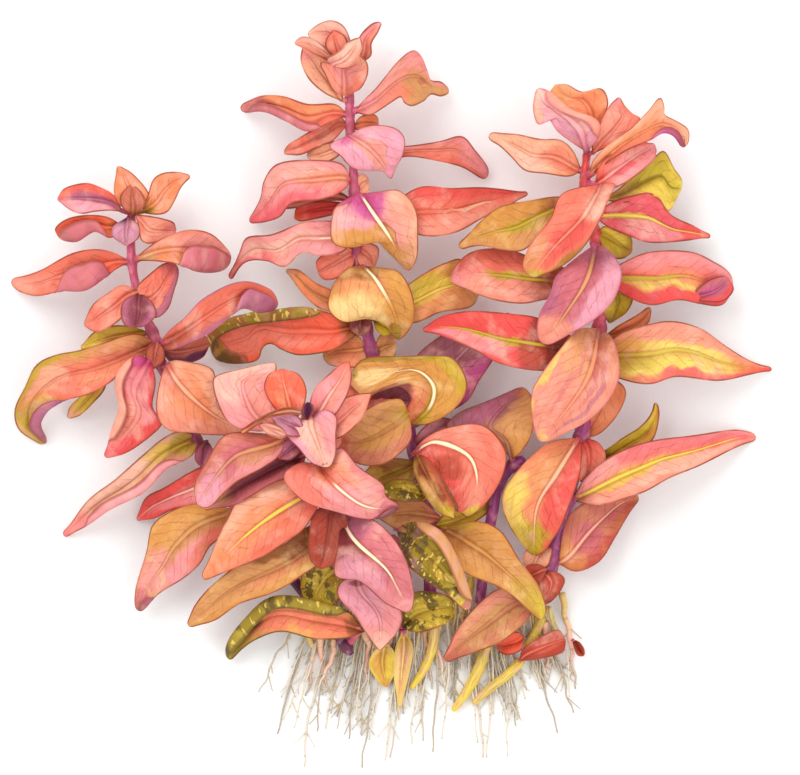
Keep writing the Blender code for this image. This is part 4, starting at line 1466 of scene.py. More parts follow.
@dataclass
class Studio:
    """The plain pale floor, the soft light and the camera that looks straight down."""

    floor_size: float = 9.0
    camera_height: float = 3.2
    view_width: float = 0.160
    leaf_height: float = 0.011
    view_middle: tuple[float, float] = (0.0017, 0.0016)
    paper: tuple[float, float, float, float] = (0.93, 0.93, 0.92, 1.0)
    paper_shade: tuple[float, float, float, float] = (0.90, 0.90, 0.89, 1.0)

    def build(self) -> None:
        """Set up floor, light and camera."""
        self.floor()
        self.light()
        self.camera()

    def floor(self) -> None:
        """A pale floor with the faint tooth of card."""
        bpy.ops.mesh.primitive_plane_add(size=self.floor_size)
        floor = bpy.context.object
        floor.name = "floor"
        draft = Draft("pale_card")
        coordinates = draft.nodes.new("ShaderNodeTexCoord")
        tooth = draft.cloud(coordinates.outputs["Object"], 900.0, 3.0)
        shade = draft.blend(draft.step(tooth, 0.3, 0.7, 0.3), self.paper, self.paper_shade)
        draft.put(draft.shader.inputs["Base Color"], shade)
        draft.shader.inputs["Roughness"].default_value = 0.85
        draft.shader.inputs["Specular IOR Level"].default_value = 0.1
        floor.data.materials.append(draft.material)

    @staticmethod
    def light() -> None:
        """Bright even light with one large soft source from the upper left."""
        world = bpy.data.worlds.new("studio")
        world.use_nodes = True
        bpy.context.scene.world = world
        sky = world.node_tree.nodes["Background"]
        sky.inputs["Color"].default_value = (1.0, 1.0, 1.0, 1.0)
        sky.inputs["Strength"].default_value = 0.95
        for name, place, size, power in (
            ("key", (-0.45, 0.55, 0.9), 0.9, 5.9),
            ("fill", (0.7, -0.3, 0.9), 1.0, 3.0),
        ):
            lamp = bpy.data.lights.new(name, "AREA")
            lamp.shape = "DISK"
            lamp.size = size
            lamp.energy = power
            item = bpy.data.objects.new(name, lamp)
            item.location = place
            direction = -item.location
            item.rotation_mode = "QUATERNION"
            item.rotation_quaternion = direction.to_track_quat("-Z", "Y")
            bpy.context.scene.collection.objects.link(item)
        bpy.context.scene.view_settings.view_transform = "Standard"

    def camera(self) -> None:
        """A long lens above the middle of the view, looking straight down."""
        data = bpy.data.cameras.new("from_above")
        data.lens = data.sensor_width * (self.camera_height - self.leaf_height) / self.view_width
        data.clip_end = 100.0
        item = bpy.data.objects.new("from_above", data)
        item.location = (*self.view_middle, self.camera_height)
        bpy.context.scene.collection.objects.link(item)
        bpy.context.scene.camera = item


SHOOTS = {
    "stem_left": Shoot(
        [(26.2, 42.6, 10, 0.8), (26.2, 50, 10, 0.85), (26.9, 56, 10, 0.9), (29, 63, 9.5, 0.95),
         (31, 68, 9, 1), (33, 75, 8.5, 1), (40.6, 90.6, 7.5, 1.1), (50, 105, 6.2, 1.1),
         (60.6, 118.4, 5, 1.15), (66, 125, 4.3, 1.15), (70.4, 131, 4, 1.1)],
        StalkFinish(STEM_PINK, PLUM)),
    "stem_tall": Shoot(
        [(69.2, 12.8, 12.6, 0.55), (69.8, 17, 12, 0.7), (70.1, 27, 12, 0.8), (70.8, 36, 11.5, 0.9),
         (71.2, 45, 11, 1), (72.2, 60, 10.5, 1.1), (75.2, 73, 10, 1.2), (79, 80, 9.5, 1.25),
         (83, 90, 8.5, 1.3), (85.4, 102, 7, 1.3), (86, 112, 5.2, 1.3), (86, 121, 4.1, 1.3)],
        StalkFinish(STEM_PINK, STEM_PURPLE)),
    "stem_right": Shoot(
        [(117.4, 30, 12, 0.7), (117, 37, 12, 0.9), (118, 43, 11.5, 1), (119.2, 48, 11.5, 1.1),
         (120, 57, 11, 1.2), (120, 64, 10.5, 1.25), (118.8, 74, 10, 1.3), (116.6, 86, 9, 1.35),
         (114, 98, 7.5, 1.4), (111.6, 106, 6, 1.4), (109.6, 114.6, 4.6, 1.4), (107, 121, 4.1, 1.3)],
        StalkFinish(RED, STEM_PURPLE)),
    "stem_front": Shoot(
        [(59.5, 86.5, 26, 0.9), (62.5, 91, 22, 1), (66, 98, 17, 1.05), (69, 106, 12, 1.1),
         (72, 114, 7, 1.1), (74, 121, 4.2, 1.1)],
        StalkFinish(MAUVE, STEM_PURPLE)),
    "stem_middle": Shoot(
        [(105, 91.8, 11, 1.1), (101.6, 94, 10, 1.2), (99.4, 98, 9, 1.2), (98.4, 103, 8, 1.15),
         (97, 112, 6, 1.1), (96, 121, 4.2, 1)],
        StalkFinish(STEM_PURPLE, STEM_PURPLE)),
}

# Old yellow stalks that have lost their blades, among the roots.
STRANDS = {
    "old_stalk_1": Shoot(
        [(108.6, 123.4, 3.4, 0.95), (107, 127, 2.6, 0.95), (105.4, 129.6, 2, 0.9)],
        StalkFinish(STRAW, GOLD, OCHRE), 50, slot="ochre"),
    "old_stalk_2": Shoot(
        [(104.6, 132, 1.6, 1), (101.4, 135.2, 1.5, 1), (97.4, 138.4, 1.4, 0.9), (94.6, 141, 1.2, 0.7)],
        StalkFinish(GOLD, STRAW, OCHRE), 60, slot="ochre"),
    "old_stalk_3": Shoot(
        [(97.4, 128.4, 2.6, 1.15), (95.8, 134, 1.8, 1.2), (93.4, 138.4, 1.5, 1), (90.6, 142.4, 1.2, 0.6)],
        StalkFinish(STRAW, GOLD, OCHRE), 60, slot="ochre"),
    "old_stalk_4": Shoot(
        [(94.4, 113.6, 3, 0.8), (94, 118, 2.6, 0.85), (92.2, 123.4, 2.4, 0.8)],
        StalkFinish(GOLD, STRAW, OCHRE), 50, slot="ochre"),
    "old_stalk_5": Shoot(
        [(86, 121, 3, 0.9), (86.8, 128, 2.2, 1), (84.8, 134, 1.5, 0.9), (82, 138, 1.2, 0.6)],
        StalkFinish(BUTTER, GOLD, STRAW), 60, slot="ochre"),
}

# The order is the one they are laid in: what lies underneath comes first.
LAID = [
    Blade("right_leaf_26", SIDE, "mauve", (106, 119.6), (89, 132.2),
        [(100.6, 117.6), (96, 120.4), (91.4, 126)], [(106, 123.4), (101, 128), (95, 130.6)],
        BladeFinish(ROSEWOOD, TAN, ROSEWOOD, one=SALMON, rib=ROSEWOOD, back=ROSE, bloom=BUTTER, patches=(
            Patch(0.3, 0.1, 0.2, 0.5, TAN, 0.6), Patch(0.6, 0.6, 0.3, 0.3, ROSEWOOD, 0.6))),
        arch=3, drop=-1, fold=1.2, blunt=0.9),
    Blade("tall_leaf_34", SIDE, "ochre", (88, 105.6), (108.4, 124),
        [(95, 104.2), (100, 106), (104, 112), (107.6, 117), (109, 121)],
        [(89.6, 109.6), (92, 114), (100, 117.6), (105, 121.4)],
        BladeFinish(TAN, OCHRE, GOLD, other=OCHRE, rib=OCHRE, bloom=BUTTER, patches=(
            Patch(0.3, -0.1, 0.24, 0.5, BROWN, 0.35), Patch(0.55, 0.4, 0.25, 0.4, TAN, 0.6),
            Patch(0.12, -0.8, 0.12, 0.5, OLIVE_GOLD, 0.6), Patch(0.6, -0.5, 0.25, 0.4, TAN, 0.7),
            Patch(0.85, 0, 0.2, 1, OLIVE_GOLD, 0.4))),
        arch=5, drop=-4, fold=1.4, blunt=0.9),
    Blade("middle_leaf_1", FRONT, "mauve", (102.4, 92), (104.4, 77.4),
        [(97, 86.6), (89.6, 85.6), (91.6, 82.6), (98, 80)], [(104.6, 90), (106.6, 86), (106.4, 80)],
        BladeFinish(OLIVE, MAUVE_BROWN, ROSEWOOD, one=MAUVE_BROWN, other=OCHRE, rib=MAUVE, back=MAUVE,
            bloom=TAN, patches=(
                Patch(0.3, 0.3, 0.3, 0.5, OCHRE, 0.7), Patch(0.6, -0.4, 0.3, 0.4, MAUVE, 0.7),
                Patch(0.6, 0.6, 0.3, 0.4, TAN, 0.6))),
        drop=-6, blunt=1.2),
    Blade("tall_leaf_24", SIDE, "olive", (75, 62.2), (96, 58),
        [(79, 58.8), (85, 54.6), (89.4, 52.6), (92.6, 52.4)], [(78, 64), (83, 64.6), (88, 62.4), (94, 61)],
        BladeFinish(OCHRE, OCHRE, TAN, other=TAN, rib=GOLD, bloom=BUTTER, patches=(
            Patch(0.45, -0.1, 0.3, 0.35, GOLD, 0.8), Patch(0.6, 0.6, 0.25, 0.5, ORANGE, 0.5),
            Patch(0.3, -0.6, 0.3, 0.4, OLIVE_GOLD, 0.8))),
        drop=-6, blunt=1.8),
    Blade("tall_leaf_25", SIDE, "red", (72.6, 65.6), (42.3, 70.8),
        [(70, 63.4), (66, 62.6), (60, 61.6), (52, 62.8), (46, 64.4), (42.2, 67.2)],
        [(70, 68), (66, 70.2), (60, 71), (56.4, 69.8), (54.2, 68.4), (52.4, 69), (51, 71.6), (46, 72),
         (43.4, 71.6)],
        BladeFinish(FLAME, FLAME, FLAME, rib=FLAME, rib_share=0.2, back=OLIVE, rim=DARK_OLIVE, bloom=SALMON,
            back_mottle=BROWN, patches=(
                Patch(0.97, 0, 0.13, 1.3, OLIVE, 0.9, 0.3),
                Patch(0.88, 0.7, 0.12, 0.45, DARK_OLIVE, 0.85, 0.3),
                Patch(0.55, 0.2, 0.3, 0.6, SALMON, 0.5), Patch(0.35, -0.2, 0.2, 0.5, FLAME, 0.6),
                Patch(0.92, -0.3, 0.05, 0.3, DARK_OLIVE, 0.8), Patch(0.06, 0, 0.12, 1.3, BROWN, 0.85))),
        arch=3, drop=-9.4, fold=1.6, tilt=-1, blunt=2.6, rolls=(Roll(-1, 0.12, 1.14, 1.4, 225),)),
    Blade("tall_leaf_19", SIDE, "salmon", (71, 47.2), (45.8, 55.6),
        [(67, 44.4), (63, 44.2), (60, 44.6), (54.4, 46.8), (49.4, 47.4), (47.8, 50.4)],
        [(68.6, 50.4), (64, 51.2), (60.4, 50.6), (57, 53.4), (53.2, 52.2), (49.2, 52.4)],
        BladeFinish(PINK, BLUSH, PINK, one=PINK, other=PINK, rib=PINK, rib_share=0.2, patches=(
            Patch(0.12, -0.05, 0.15, 0.09, CREAM, 0.97, 0.6), Patch(0.66, 0.6, 0.2, 0.5, HOT_PINK, 0.7),
            Patch(0.3, 0.5, 0.2, 0.5, PINK, 0.5), Patch(0.95, 0, 0.12, 1, HOT_PINK, 0.7),
            Patch(0.78, 0, 0.06, 0.7, BLUSH, 0.6))),
        arch=2.4, drop=-9.6, fold=1.2, blunt=0.6),
    Blade("tall_leaf_18", SIDE, "red", (72, 42.4), (105.6, 38.6),
        [(78, 40.6), (84, 37.4), (90, 37.6), (96, 37.4), (101, 37.8)],
        [(78, 44.4), (84.4, 47.2), (91, 46.6), (97, 43.4), (102, 41)],
        BladeFinish(RED, CORAL, CORAL, one=RED, other=SALMON, rib=FLAME, patches=(
            # The narrow cream patch beside the midrib is a painted highlight.
            Patch(0.66, 0.05, 0.16, 0.09, CREAM, 0.95), Patch(0.15, -0.5, 0.2, 0.5, BRICK, 0.5),
            Patch(0.55, 0.5, 0.25, 0.4, SALMON, 0.5))),
        arch=2.6, drop=-7, fold=1.2),
    Blade("tall_leaf_15", SIDE, "coral", (71.6, 30.8), (97.4, 35.4),
        [(77, 29.6), (83, 29), (88, 28.2), (92.4, 27.2), (95, 30), (97, 33.2)],
        [(77, 32), (82, 31.4), (87.4, 32.2), (92, 33.2), (95, 34.4)],
        BladeFinish(FLAME, CORAL, PINK, one=PINK, other=CORAL, rib=CORAL, rib_share=0.3, bloom=BLUSH,
            patches=(
                Patch(0.1, 0, 0.14, 1, RED, 0.6), Patch(0.5, 0, 0.25, 0.6, SALMON, 0.6),
                Patch(0.86, 0, 0.1, 0.5, PINK, 0.5))),
        arch=1.8, drop=-10, fold=0.8, blunt=1.1),
    Blade("tall_leaf_13", SIDE, "salmon", (70.4, 36), (49.8, 44.2),
        [(68, 32.6), (61, 32), (55.4, 32.8), (52.8, 36), (52, 39.6)],
        [(68.6, 38.2), (64, 40), (58.6, 40.6), (56, 43.4), (52.6, 44.4)],
        BladeFinish(SALMON, PINK, HOT_PINK, one=PINK, other=HOT_PINK, rib=ORANGE, rib_share=0.5,
            bloom=BLUSH, patches=(
                Patch(0.25, -0.1, 0.25, 0.4, ORANGE, 0.6), Patch(0.55, -0.5, 0.3, 0.4, BLUSH, 0.5))),
        arch=3, drop=-9, fold=1.4, blunt=0.7),
    Blade("tall_leaf_8", SIDE, "salmon", (70.6, 22.4), (89.8, 18),
        [(73, 19.8), (75.4, 17.4), (79.3, 12.6), (82.4, 10.1), (84.2, 11.1), (85.4, 13.8), (86.2, 16),
         (88.2, 16.4)],
        [(73.8, 23.2), (76.2, 22), (78.6, 20.4), (80.2, 19.5), (80.8, 20.6), (82.4, 21.3), (84.8, 20.2),
         (86.2, 18.8), (88.2, 19)],
        BladeFinish(PINK, SALMON, TAN, one=PINK, rib=ROSE, rib_share=0.3, bloom=TAN, patches=(
            Patch(0.74, 0.45, 0.2, 0.8, TAN, 0.95), Patch(0.72, 0.1, 0.05, 0.16, BRICK, 0.6, 0.6),
            Patch(0.45, 0.6, 0.2, 0.4, CORAL, 0.6))),
        rib=((75, 20.2), (79.6, 16.2), (83.2, 15.2), (86.4, 17.4)), arch=3.6, drop=-9, fold=1.4, blunt=0.8),
    Blade("tall_leaf_7", SIDE, "coral", (69.6, 23), (48, 21.6),
        [(67, 20.8), (61.6, 20.8), (56.6, 19.2), (52, 19.2)],
        [(66, 24.6), (61.6, 26.2), (57.4, 24.2), (53, 22.2)],
        BladeFinish(CORAL, ORANGE, ROSE, one=ORANGE, rib=CORAL, back=ROSE, patches=(
            Patch(0.9, 0, 0.2, 1.2, ROSE, 0.8), Patch(0.4, 0.6, 0.3, 0.5, CORAL, 0.8))),
        drop=-10.5, blunt=0.9, rolls=(Roll(1, 0.12, 1.08, 1.3, 205),)),
    Blade("tall_leaf_23", FRONT, "ochre", (72.4, 53.2), (79.6, 68),
        [(69.6, 53.6), (66.6, 57), (65.6, 61.6), (68.6, 64.4), (73, 63.8), (77, 64.8)],
        [(76.4, 53.6), (80, 54.6), (82.4, 59), (82.4, 64)],
        BladeFinish(BROWN, OCHRE, TAN, rib=CREAM, rib_share=0.95, rib_span=(0, 0.6), back=OCHRE,
            bloom=BUTTER, patches=(
                # The butter patch towards the first margin is a painted highlight.
                Patch(0.62, -0.75, 0.26, 0.5, BUTTER, 0.85), Patch(0.2, -0.2, 0.25, 0.7, ORANGE, 0.5),
                Patch(0.12, 0, 0.12, 0.9, BROWN, 0.85), Patch(0.92, -0.2, 0.12, 0.6, OLIVE, 0.7),
                Patch(0.5, 0.6, 0.3, 0.3, OCHRE, 0.7))),
        rib=((75.6, 56.6), (79, 63)), arch=4.6, drop=-1, fold=-1.6, blunt=1.6),
    Blade("tall_leaf_17", FRONT, "pink", (72, 38.8), (81.6, 54.2),
        [(69, 40), (66.6, 42.4), (66.4, 48.4), (70.6, 49.6), (74.4, 47.8), (78, 50.8)],
        [(75.6, 38.4), (80, 38.2), (83.2, 42), (83.6, 48), (83.2, 51.8)],
        BladeFinish(MAGENTA, PINK, TAN, other=PEACH, rib=CREAM, rib_share=1, rib_span=(0, 0.72), back=PINK,
            patches=(
                Patch(0.62, -0.65, 0.5, 0.8, OCHRE, 0.97, 0.4), Patch(0.9, 0, 0.2, 0.8, TAN, 0.8),
                Patch(0.26, -0.5, 0.14, 0.5, COOL_PINK, 0.8), Patch(0.1, 0.2, 0.2, 0.9, MAGENTA, 0.9),
                Patch(0.5, 0.55, 0.2, 0.35, SALMON, 0.6))),
        rib=((74.4, 42.4), (78, 47.6)), arch=5, drop=-0.5, fold=-1.6, blunt=1),
    Blade("tall_leaf_11", FRONT, "pink", (69.6, 27.2), (78.2, 35.8),
        [(67, 28.2), (65.9, 29.6), (68, 31.2), (69.8, 33.2), (72.4, 34.2), (76.4, 34.3)],
        [(73, 25.4), (76.6, 25.1), (79.6, 26), (81, 28), (80.6, 31), (79.2, 33.6)],
        BladeFinish(COOL_PINK, COOL_PINK, COOL_PINK, rib=SALMON, back=PINK, patches=(
            Patch(0.1, -0.3, 0.16, 0.6, MAGENTA, 0.7), Patch(0.5, 0, 0.3, 0.35, SALMON, 0.8))),
        rib=((73.6, 29.6), (76.6, 32.8)), arch=3.6, fold=-1.2),
    Blade("tall_leaf_2", FRONT, "salmon", (69, 12.4), (61.6, 6.6),
        [(70.2, 9), (69, 5.6), (66.6, 4.2), (64, 4.8)], [(67.4, 11.4), (64.8, 9.6), (62.6, 8.6)],
        BladeFinish(PINK, BLUSH, BLUSH, rib=CORAL, rib_share=0.3, patches=(
            Patch(0.4, 0, 0.25, 0.7, PINK, 0.7), Patch(0.7, 0.5, 0.2, 0.4, SALMON, 0.5))),
        arch=3, drop=2),
    Blade("tall_leaf_5", FRONT, "coral", (69.4, 19.2), (71.6, 11),
        [(66.8, 18.4), (65, 15), (64.2, 12.6), (68.6, 13.4)], [(72.2, 17.8), (73.6, 15), (73.4, 12.6)],
        BladeFinish(SALMON, SALMON, PEACH, rib=CORAL, rib_share=0.3, patches=(
            Patch(0.8, -0.5, 0.3, 0.5, SALMON, 0.6), Patch(0.3, 0.6, 0.2, 0.4, CORAL, 0.6),
            Patch(0.5, 0, 0.3, 0.5, PINK, 0.6))),
        arch=3, drop=4, fold=1.2),
    Blade("right_leaf_25", SIDE, "mauve", (111.7, 112.8), (127.8, 99.4),
        [(112.4, 107.6), (114, 102.8), (118.4, 99.8), (123, 98.2)],
        [(115.4, 114.4), (120, 112.3), (123.1, 107.6), (125.6, 103.2)],
        BladeFinish(ORANGE, ROSE, ROSEWOOD, one=ROSEWOOD, other=BRICK, rib=PEACH, rib_share=0.8, bloom=TAN,
            patches=(
                Patch(0.1, 0, 0.16, 0.9, OCHRE, 0.6), Patch(0.16, 0.1, 0.1, 0.35, PEACH, 0.7),
                Patch(0.5, 0.1, 0.25, 0.4, ROSE, 0.6), Patch(0.7, -0.4, 0.25, 0.4, ROSEWOOD, 0.7))),
        drop=-3, blunt=1),
    Blade("right_leaf_23", SIDE, "salmon", (114.2, 100.2), (151.4, 87.4),
        [(117, 95.6), (120.6, 92.2), (125.4, 89.6), (131, 88), (139, 87), (147, 86)],
        [(120, 101), (128.4, 98.6), (134, 95.6), (140, 93.2), (146.4, 90)],
        BladeFinish(SALMON, ORANGE, HOT_PINK, one=PINK, other=SALMON, rib=GOLD, rib_share=1, patches=(
            Patch(0.35, 0.05, 0.3, 0.25, GOLD, 0.85), Patch(0.6, -0.6, 0.3, 0.4, HOT_PINK, 0.6),
            Patch(0.6, 0.5, 0.3, 0.4, BLUSH, 0.6))),
        arch=5, drop=-8, fold=1.6, blunt=0.9),
    Blade("right_leaf_19", SIDE, "salmon", (119.4, 71), (154.6, 73.8),
        [(123.6, 67), (129, 65), (134.4, 64.2), (140, 65.6), (145, 69), (149.6, 71.8)],
        [(121.6, 74.6), (126, 76.4), (130.4, 76.8), (135.4, 75.4), (143.6, 76.2), (150, 75)],
        BladeFinish(OCHRE, YELLOW, RED, one=SALMON, rib=OLIVE_GOLD, patches=(
            Patch(0.42, 0.35, 0.3, 0.4, YELLOW, 0.95), Patch(0.15, 0, 0.16, 0.8, OCHRE, 0.8),
            Patch(0.62, 0.9, 0.35, 0.3, HOT_PINK, 0.9), Patch(0.5, -0.7, 0.3, 0.4, SALMON, 0.8),
            Patch(0.2, 0.3, 0.2, 0.3, OLIVE_GOLD, 0.6))),
        arch=4.6, drop=-9.8, fold=1.6),
    Blade("right_leaf_17", SIDE, "red", (117, 69.6), (84.6, 66),
        [(112.6, 66), (107.6, 63.6), (102.6, 62.8), (94, 62.2), (88, 63.4)],
        [(113, 73), (107.6, 74.2), (100, 72.8), (95.6, 70.4), (90, 67.8)],
        BladeFinish(CHESTNUT, RED, RED, one=RED, other=HOT_PINK, rib=OLIVE_GOLD, rib_share=0.95,
            rib_span=(0.3, 0.9), patches=(
                Patch(0.52, 0.1, 0.25, 0.2, OLIVE_GOLD, 0.9), Patch(0.5, 0.8, 0.14, 0.4, RED, 0.9),
                # The wide chestnut band near the base is painted shade beside the blade that overlaps it.
                Patch(0.7, 0.5, 0.2, 0.4, PINK, 0.7), Patch(0.2, 0.2, 0.2, 1.5, CHESTNUT, 0.8),
                Patch(0.36, 0.4, 0.1, 0.5, BRICK, 0.8))),
        arch=3.4, drop=-5, fold=1.4),
    Blade("right_leaf_14", SIDE, "red", (120.6, 55.2), (146.8, 57.8),
        [(124, 52.8), (130, 50.4), (138, 50.6), (143, 53.2), (146, 55.4)],
        [(124, 58.6), (130, 61), (135.6, 59.8), (140, 60.2), (144.6, 60.2)],
        BladeFinish(RED, CORAL, HOT_PINK, one=PINK, other=RED, rib=OLIVE_GOLD, rib_share=0.9,
            rib_span=(0, 0.7), back=PLUM, bloom=ROSE, patches=(
                Patch(0.42, 0.25, 0.28, 0.3, YELLOW, 0.9), Patch(0.65, 0, 0.2, 0.25, ORANGE, 0.8),
                Patch(0.3, 0.8, 0.3, 0.4, RED, 0.7), Patch(0.6, 0.8, 0.3, 0.3, RED, 0.7))),
        arch=4, drop=-9.6, fold=1.4, blunt=2.4),
    Blade("right_leaf_12", SIDE, "salmon", (118.6, 56.4), (90.2, 56.2),
        [(113, 53.6), (106.6, 51.6), (101, 49.8), (95, 50.2), (91.6, 52.8)],
        [(114, 59), (109, 60), (104, 60.8), (98, 59.8), (93, 57.6)],
        BladeFinish(BRICK, CORAL, PINK, one=BRICK, other=SALMON, rib=OLIVE_GOLD, rib_share=0.8,
            rib_span=(0.34, 0.76), patches=(
                Patch(0.62, 0.5, 0.3, 0.5, SALMON, 0.8), Patch(0.5, 0, 0.22, 0.2, OLIVE_GOLD, 0.9),
                # The wide chestnut band near the base is painted shade beside the blade that overlaps it.
                Patch(0.95, 0, 0.1, 1.2, PINK, 0.8), Patch(0.26, 0.2, 0.18, 1.5, CHESTNUT, 0.75),
                Patch(0.42, 0.5, 0.1, 0.3, ROSEWOOD, 0.7))),
        arch=3, drop=-4, fold=1.4, blunt=1.2),
    Blade("right_leaf_10", SIDE, "red", (118.8, 43.2), (142.2, 47.2),
        [(122, 40.6), (126, 39.2), (130.6, 38.8), (134.4, 43), (138.6, 45)],
        [(121.4, 45.4), (125.6, 47.2), (130, 48.6), (137, 48.2)],
        BladeFinish(HOT_PINK, HOT_PINK, RED, rib=GOLD, rib_share=0.9, patches=(
            Patch(0.3, 0.1, 0.25, 0.2, YELLOW, 0.9), Patch(0.55, 0.5, 0.3, 0.5, PINK, 0.7),
            Patch(0.9, 0, 0.15, 1, RED, 0.8))),
        arch=2.4, drop=-7, fold=1.2),
    Blade("right_leaf_8", SIDE, "ochre", (116.6, 41), (91.8, 49.4),
        [(112, 39.4), (106, 40.2), (100, 41.4), (96, 44.4)],
        [(112.6, 43.4), (108.6, 46.4), (104.6, 50.2), (100, 50), (96, 49.2)],
        BladeFinish(BROWN, OCHRE, TAN, one=OCHRE, other=TAN, rib=OLIVE_GOLD, rib_share=0.8, bloom=BUTTER,
            patches=(
                Patch(0.1, -0.2, 0.18, 0.9, CHESTNUT, 0.75), Patch(0.4, 0.1, 0.25, 0.3, OLIVE_GOLD, 0.9))),
        arch=3, drop=-6, fold=1.2, blunt=0.8),
    Blade("right_leaf_7", SIDE, "salmon", (116.4, 34.2), (97.8, 27),
        [(114.6, 30.2), (112, 28), (108, 27.8), (103, 26.8)],
        [(113.6, 35.4), (109, 34.8), (105, 34.2), (102.4, 31.6), (100, 29)],
        BladeFinish(ORANGE, PEACH, PEACH, rib=ORANGE, rib_share=0.3, patches=(
            Patch(0.2, 0, 0.25, 0.7, CORAL, 0.6), Patch(0.6, 0.5, 0.25, 0.5, BLUSH, 0.7))),
        arch=2.6, drop=-6, fold=1.2, blunt=0.9),
    Blade("right_leaf_21", FRONT, "coral", (116, 87.4), (106.8, 111),
        [(110, 88.4), (105.6, 91.8), (101.6, 96.6), (100.4, 101), (102.6, 106.4)],
        [(116.4, 90), (116, 94.6), (114.4, 99.6), (112.2, 105.4), (109.2, 109.6)],
        BladeFinish(CORAL, ORANGE, OLIVE_GOLD, one=ORANGE, other=RED, rib=PEACH, rib_share=0.95, patches=(
            Patch(0.72, -0.8, 0.3, 0.5, YELLOW, 0.95), Patch(0.9, 0, 0.16, 0.9, OLIVE_GOLD, 0.85),
            Patch(0.45, 0.45, 0.3, 0.4, RED, 0.8), Patch(0.3, -0.2, 0.2, 0.4, TAN, 0.6))),
        rib=((111.4, 94.6), (107.4, 101.4)), arch=5, drop=-4, fold=-2, blunt=1.1),
    Blade("right_leaf_18", FRONT, "salmon", (119.8, 65.6), (108, 88.2),
        [(115.4, 66), (111.6, 70.2), (107.6, 75.6), (106.2, 79), (106.6, 84.6)],
        [(122.6, 68), (123.8, 74.4), (122, 79.4), (118, 83.8), (112, 87)],
        BladeFinish(TAN, SALMON, SALMON, rib=ORANGE, rib_share=0.8, rib_span=(0, 0.82), rim=ROSE, patches=(
            Patch(0.62, -1.05, 0.45, 0.16, YELLOW, 0.8), Patch(0.25, -0.4, 0.25, 0.5, TAN, 0.6),
            Patch(0.3, 0.25, 0.35, 0.12, ROSE, 0.65), Patch(0.5, 0.55, 0.35, 0.12, MAUVE, 0.6),
            Patch(0.45, -0.35, 0.3, 0.1, ROSE, 0.5), Patch(0.15, 0.2, 0.16, 0.8, ROSEWOOD, 0.7),
            Patch(0.97, 0, 0.06, 0.8, YELLOW, 0.5))),
        rib=((118, 74), (114.6, 80)), arch=5, drop=-2, fold=-2, blunt=1.1),
    Blade("right_leaf_13", FRONT, "mauve", (119.2, 48.6), (108.8, 68.8),
        [(114.6, 52), (111, 55.4), (110, 58.6), (107.8, 63), (107.6, 66.8)],
        [(122, 50.4), (124.2, 54.6), (122.6, 60), (118.4, 64.2), (112.8, 67.2)],
        BladeFinish(MAUVE, ROSE, SALMON, one=MAUVE, other=LILAC, rib=TAN, rib_share=1, rim=MAUVE,
            bloom=COOL_PINK, patches=(
                Patch(0.92, -0.1, 0.2, 1.2, SALMON, 0.95), Patch(0.5, 0.75, 0.3, 0.4, COOL_PINK, 0.8),
                Patch(0.35, -0.5, 0.25, 0.5, ROSE, 0.8), Patch(0.1, 0, 0.1, 1, MAUVE, 0.6))),
        rib=((117.2, 56), (112.8, 63)), arch=5, drop=-1, fold=-1.8, blunt=1.3),
    Blade("right_leaf_9", FRONT, "salmon", (120.6, 36.6), (106, 55.4),
        [(112.4, 38.8), (109.8, 44), (106, 49), (104.8, 53)],
        [(123, 37), (121.6, 40), (119.4, 45), (116.4, 49.8), (112, 53.4)],
        BladeFinish(SALMON, CORAL, ORANGE, one=CORAL, rib=PEACH, rib_share=0.3, patches=(
            Patch(0.2, 0.3, 0.22, 0.5, BLUSH, 0.7), Patch(0.6, 0.2, 0.24, 0.5, RED, 0.7),
            Patch(0.97, 0.1, 0.1, 1.3, OLIVE_GOLD, 0.9), Patch(0.84, 0.95, 0.3, 0.24, OLIVE, 0.7),
            Patch(0.8, -0.7, 0.2, 0.4, TAN, 0.7), Patch(0.45, -0.7, 0.2, 0.3, CORAL, 0.7))),
        rib=((116.4, 43.6), (110.6, 49.6)), arch=5, drop=-1, fold=-1.6, blunt=1.3),
    Blade("right_leaf_4", FRONT, "coral", (117.6, 35.4), (137.2, 29.2),
        [(118.6, 32), (121.4, 29.2), (126, 25.8), (129.4, 22.4), (131.8, 19.6), (132.8, 21.4), (132.8, 23),
         (135.2, 24.4), (137.4, 26.2)],
        [(121, 33), (125, 30.4), (129.4, 28.4), (132.4, 26.6), (134.8, 27)],
        BladeFinish(ORANGE, ORANGE, PEACH, one=PEACH, other=CORAL, rib=ORANGE, back=MAGENTA, bloom=TAN,
            patches=(
                Patch(0.9, 0.9, 0.2, 0.4, MAGENTA, 0.85), Patch(0.4, 0, 0.3, 0.4, ORANGE, 0.6))),
        rib=((123.6, 29.6), (129.4, 26), (132.6, 24.8), (135.6, 26.2)), arch=4, drop=1, blunt=1,
        rolls=(Roll(1, 0.5, 1.16, 1.1, 190),)),
    Blade("right_leaf_1", FRONT, "mauve", (117.4, 30.6), (107.6, 17.8),
        [(119.6, 27.4), (119.2, 24.2), (114, 22), (110.4, 19)],
        [(114.6, 28.8), (111.4, 26.4), (109.6, 23.8), (108.4, 24.9), (107.2, 24.6), (106.6, 21.4)],
        BladeFinish(LILAC, COOL_PINK, BLUSH, one=COOL_PINK, rib=COOL_PINK, rib_share=0.3, back=SALMON,
            rim=ROSE, bloom=BLUSH, patches=(
                Patch(0.2, 0.3, 0.22, 0.6, COOL_PINK, 0.9), Patch(0.5, -0.3, 0.25, 0.6, BLUSH, 0.6),
                Patch(0.35, 0.3, 0.2, 0.4, LILAC, 0.5), Patch(0.75, 0.9, 0.14, 0.4, PEACH, 0.8, 0.6))),
        rib=((115.4, 25.8), (111.2, 22.4), (108.8, 20.6)), arch=3.6, drop=2, fold=-1.2, blunt=0.8,
        rolls=(Roll(-1, 0.05, 1.06, 1.3, 215),)),
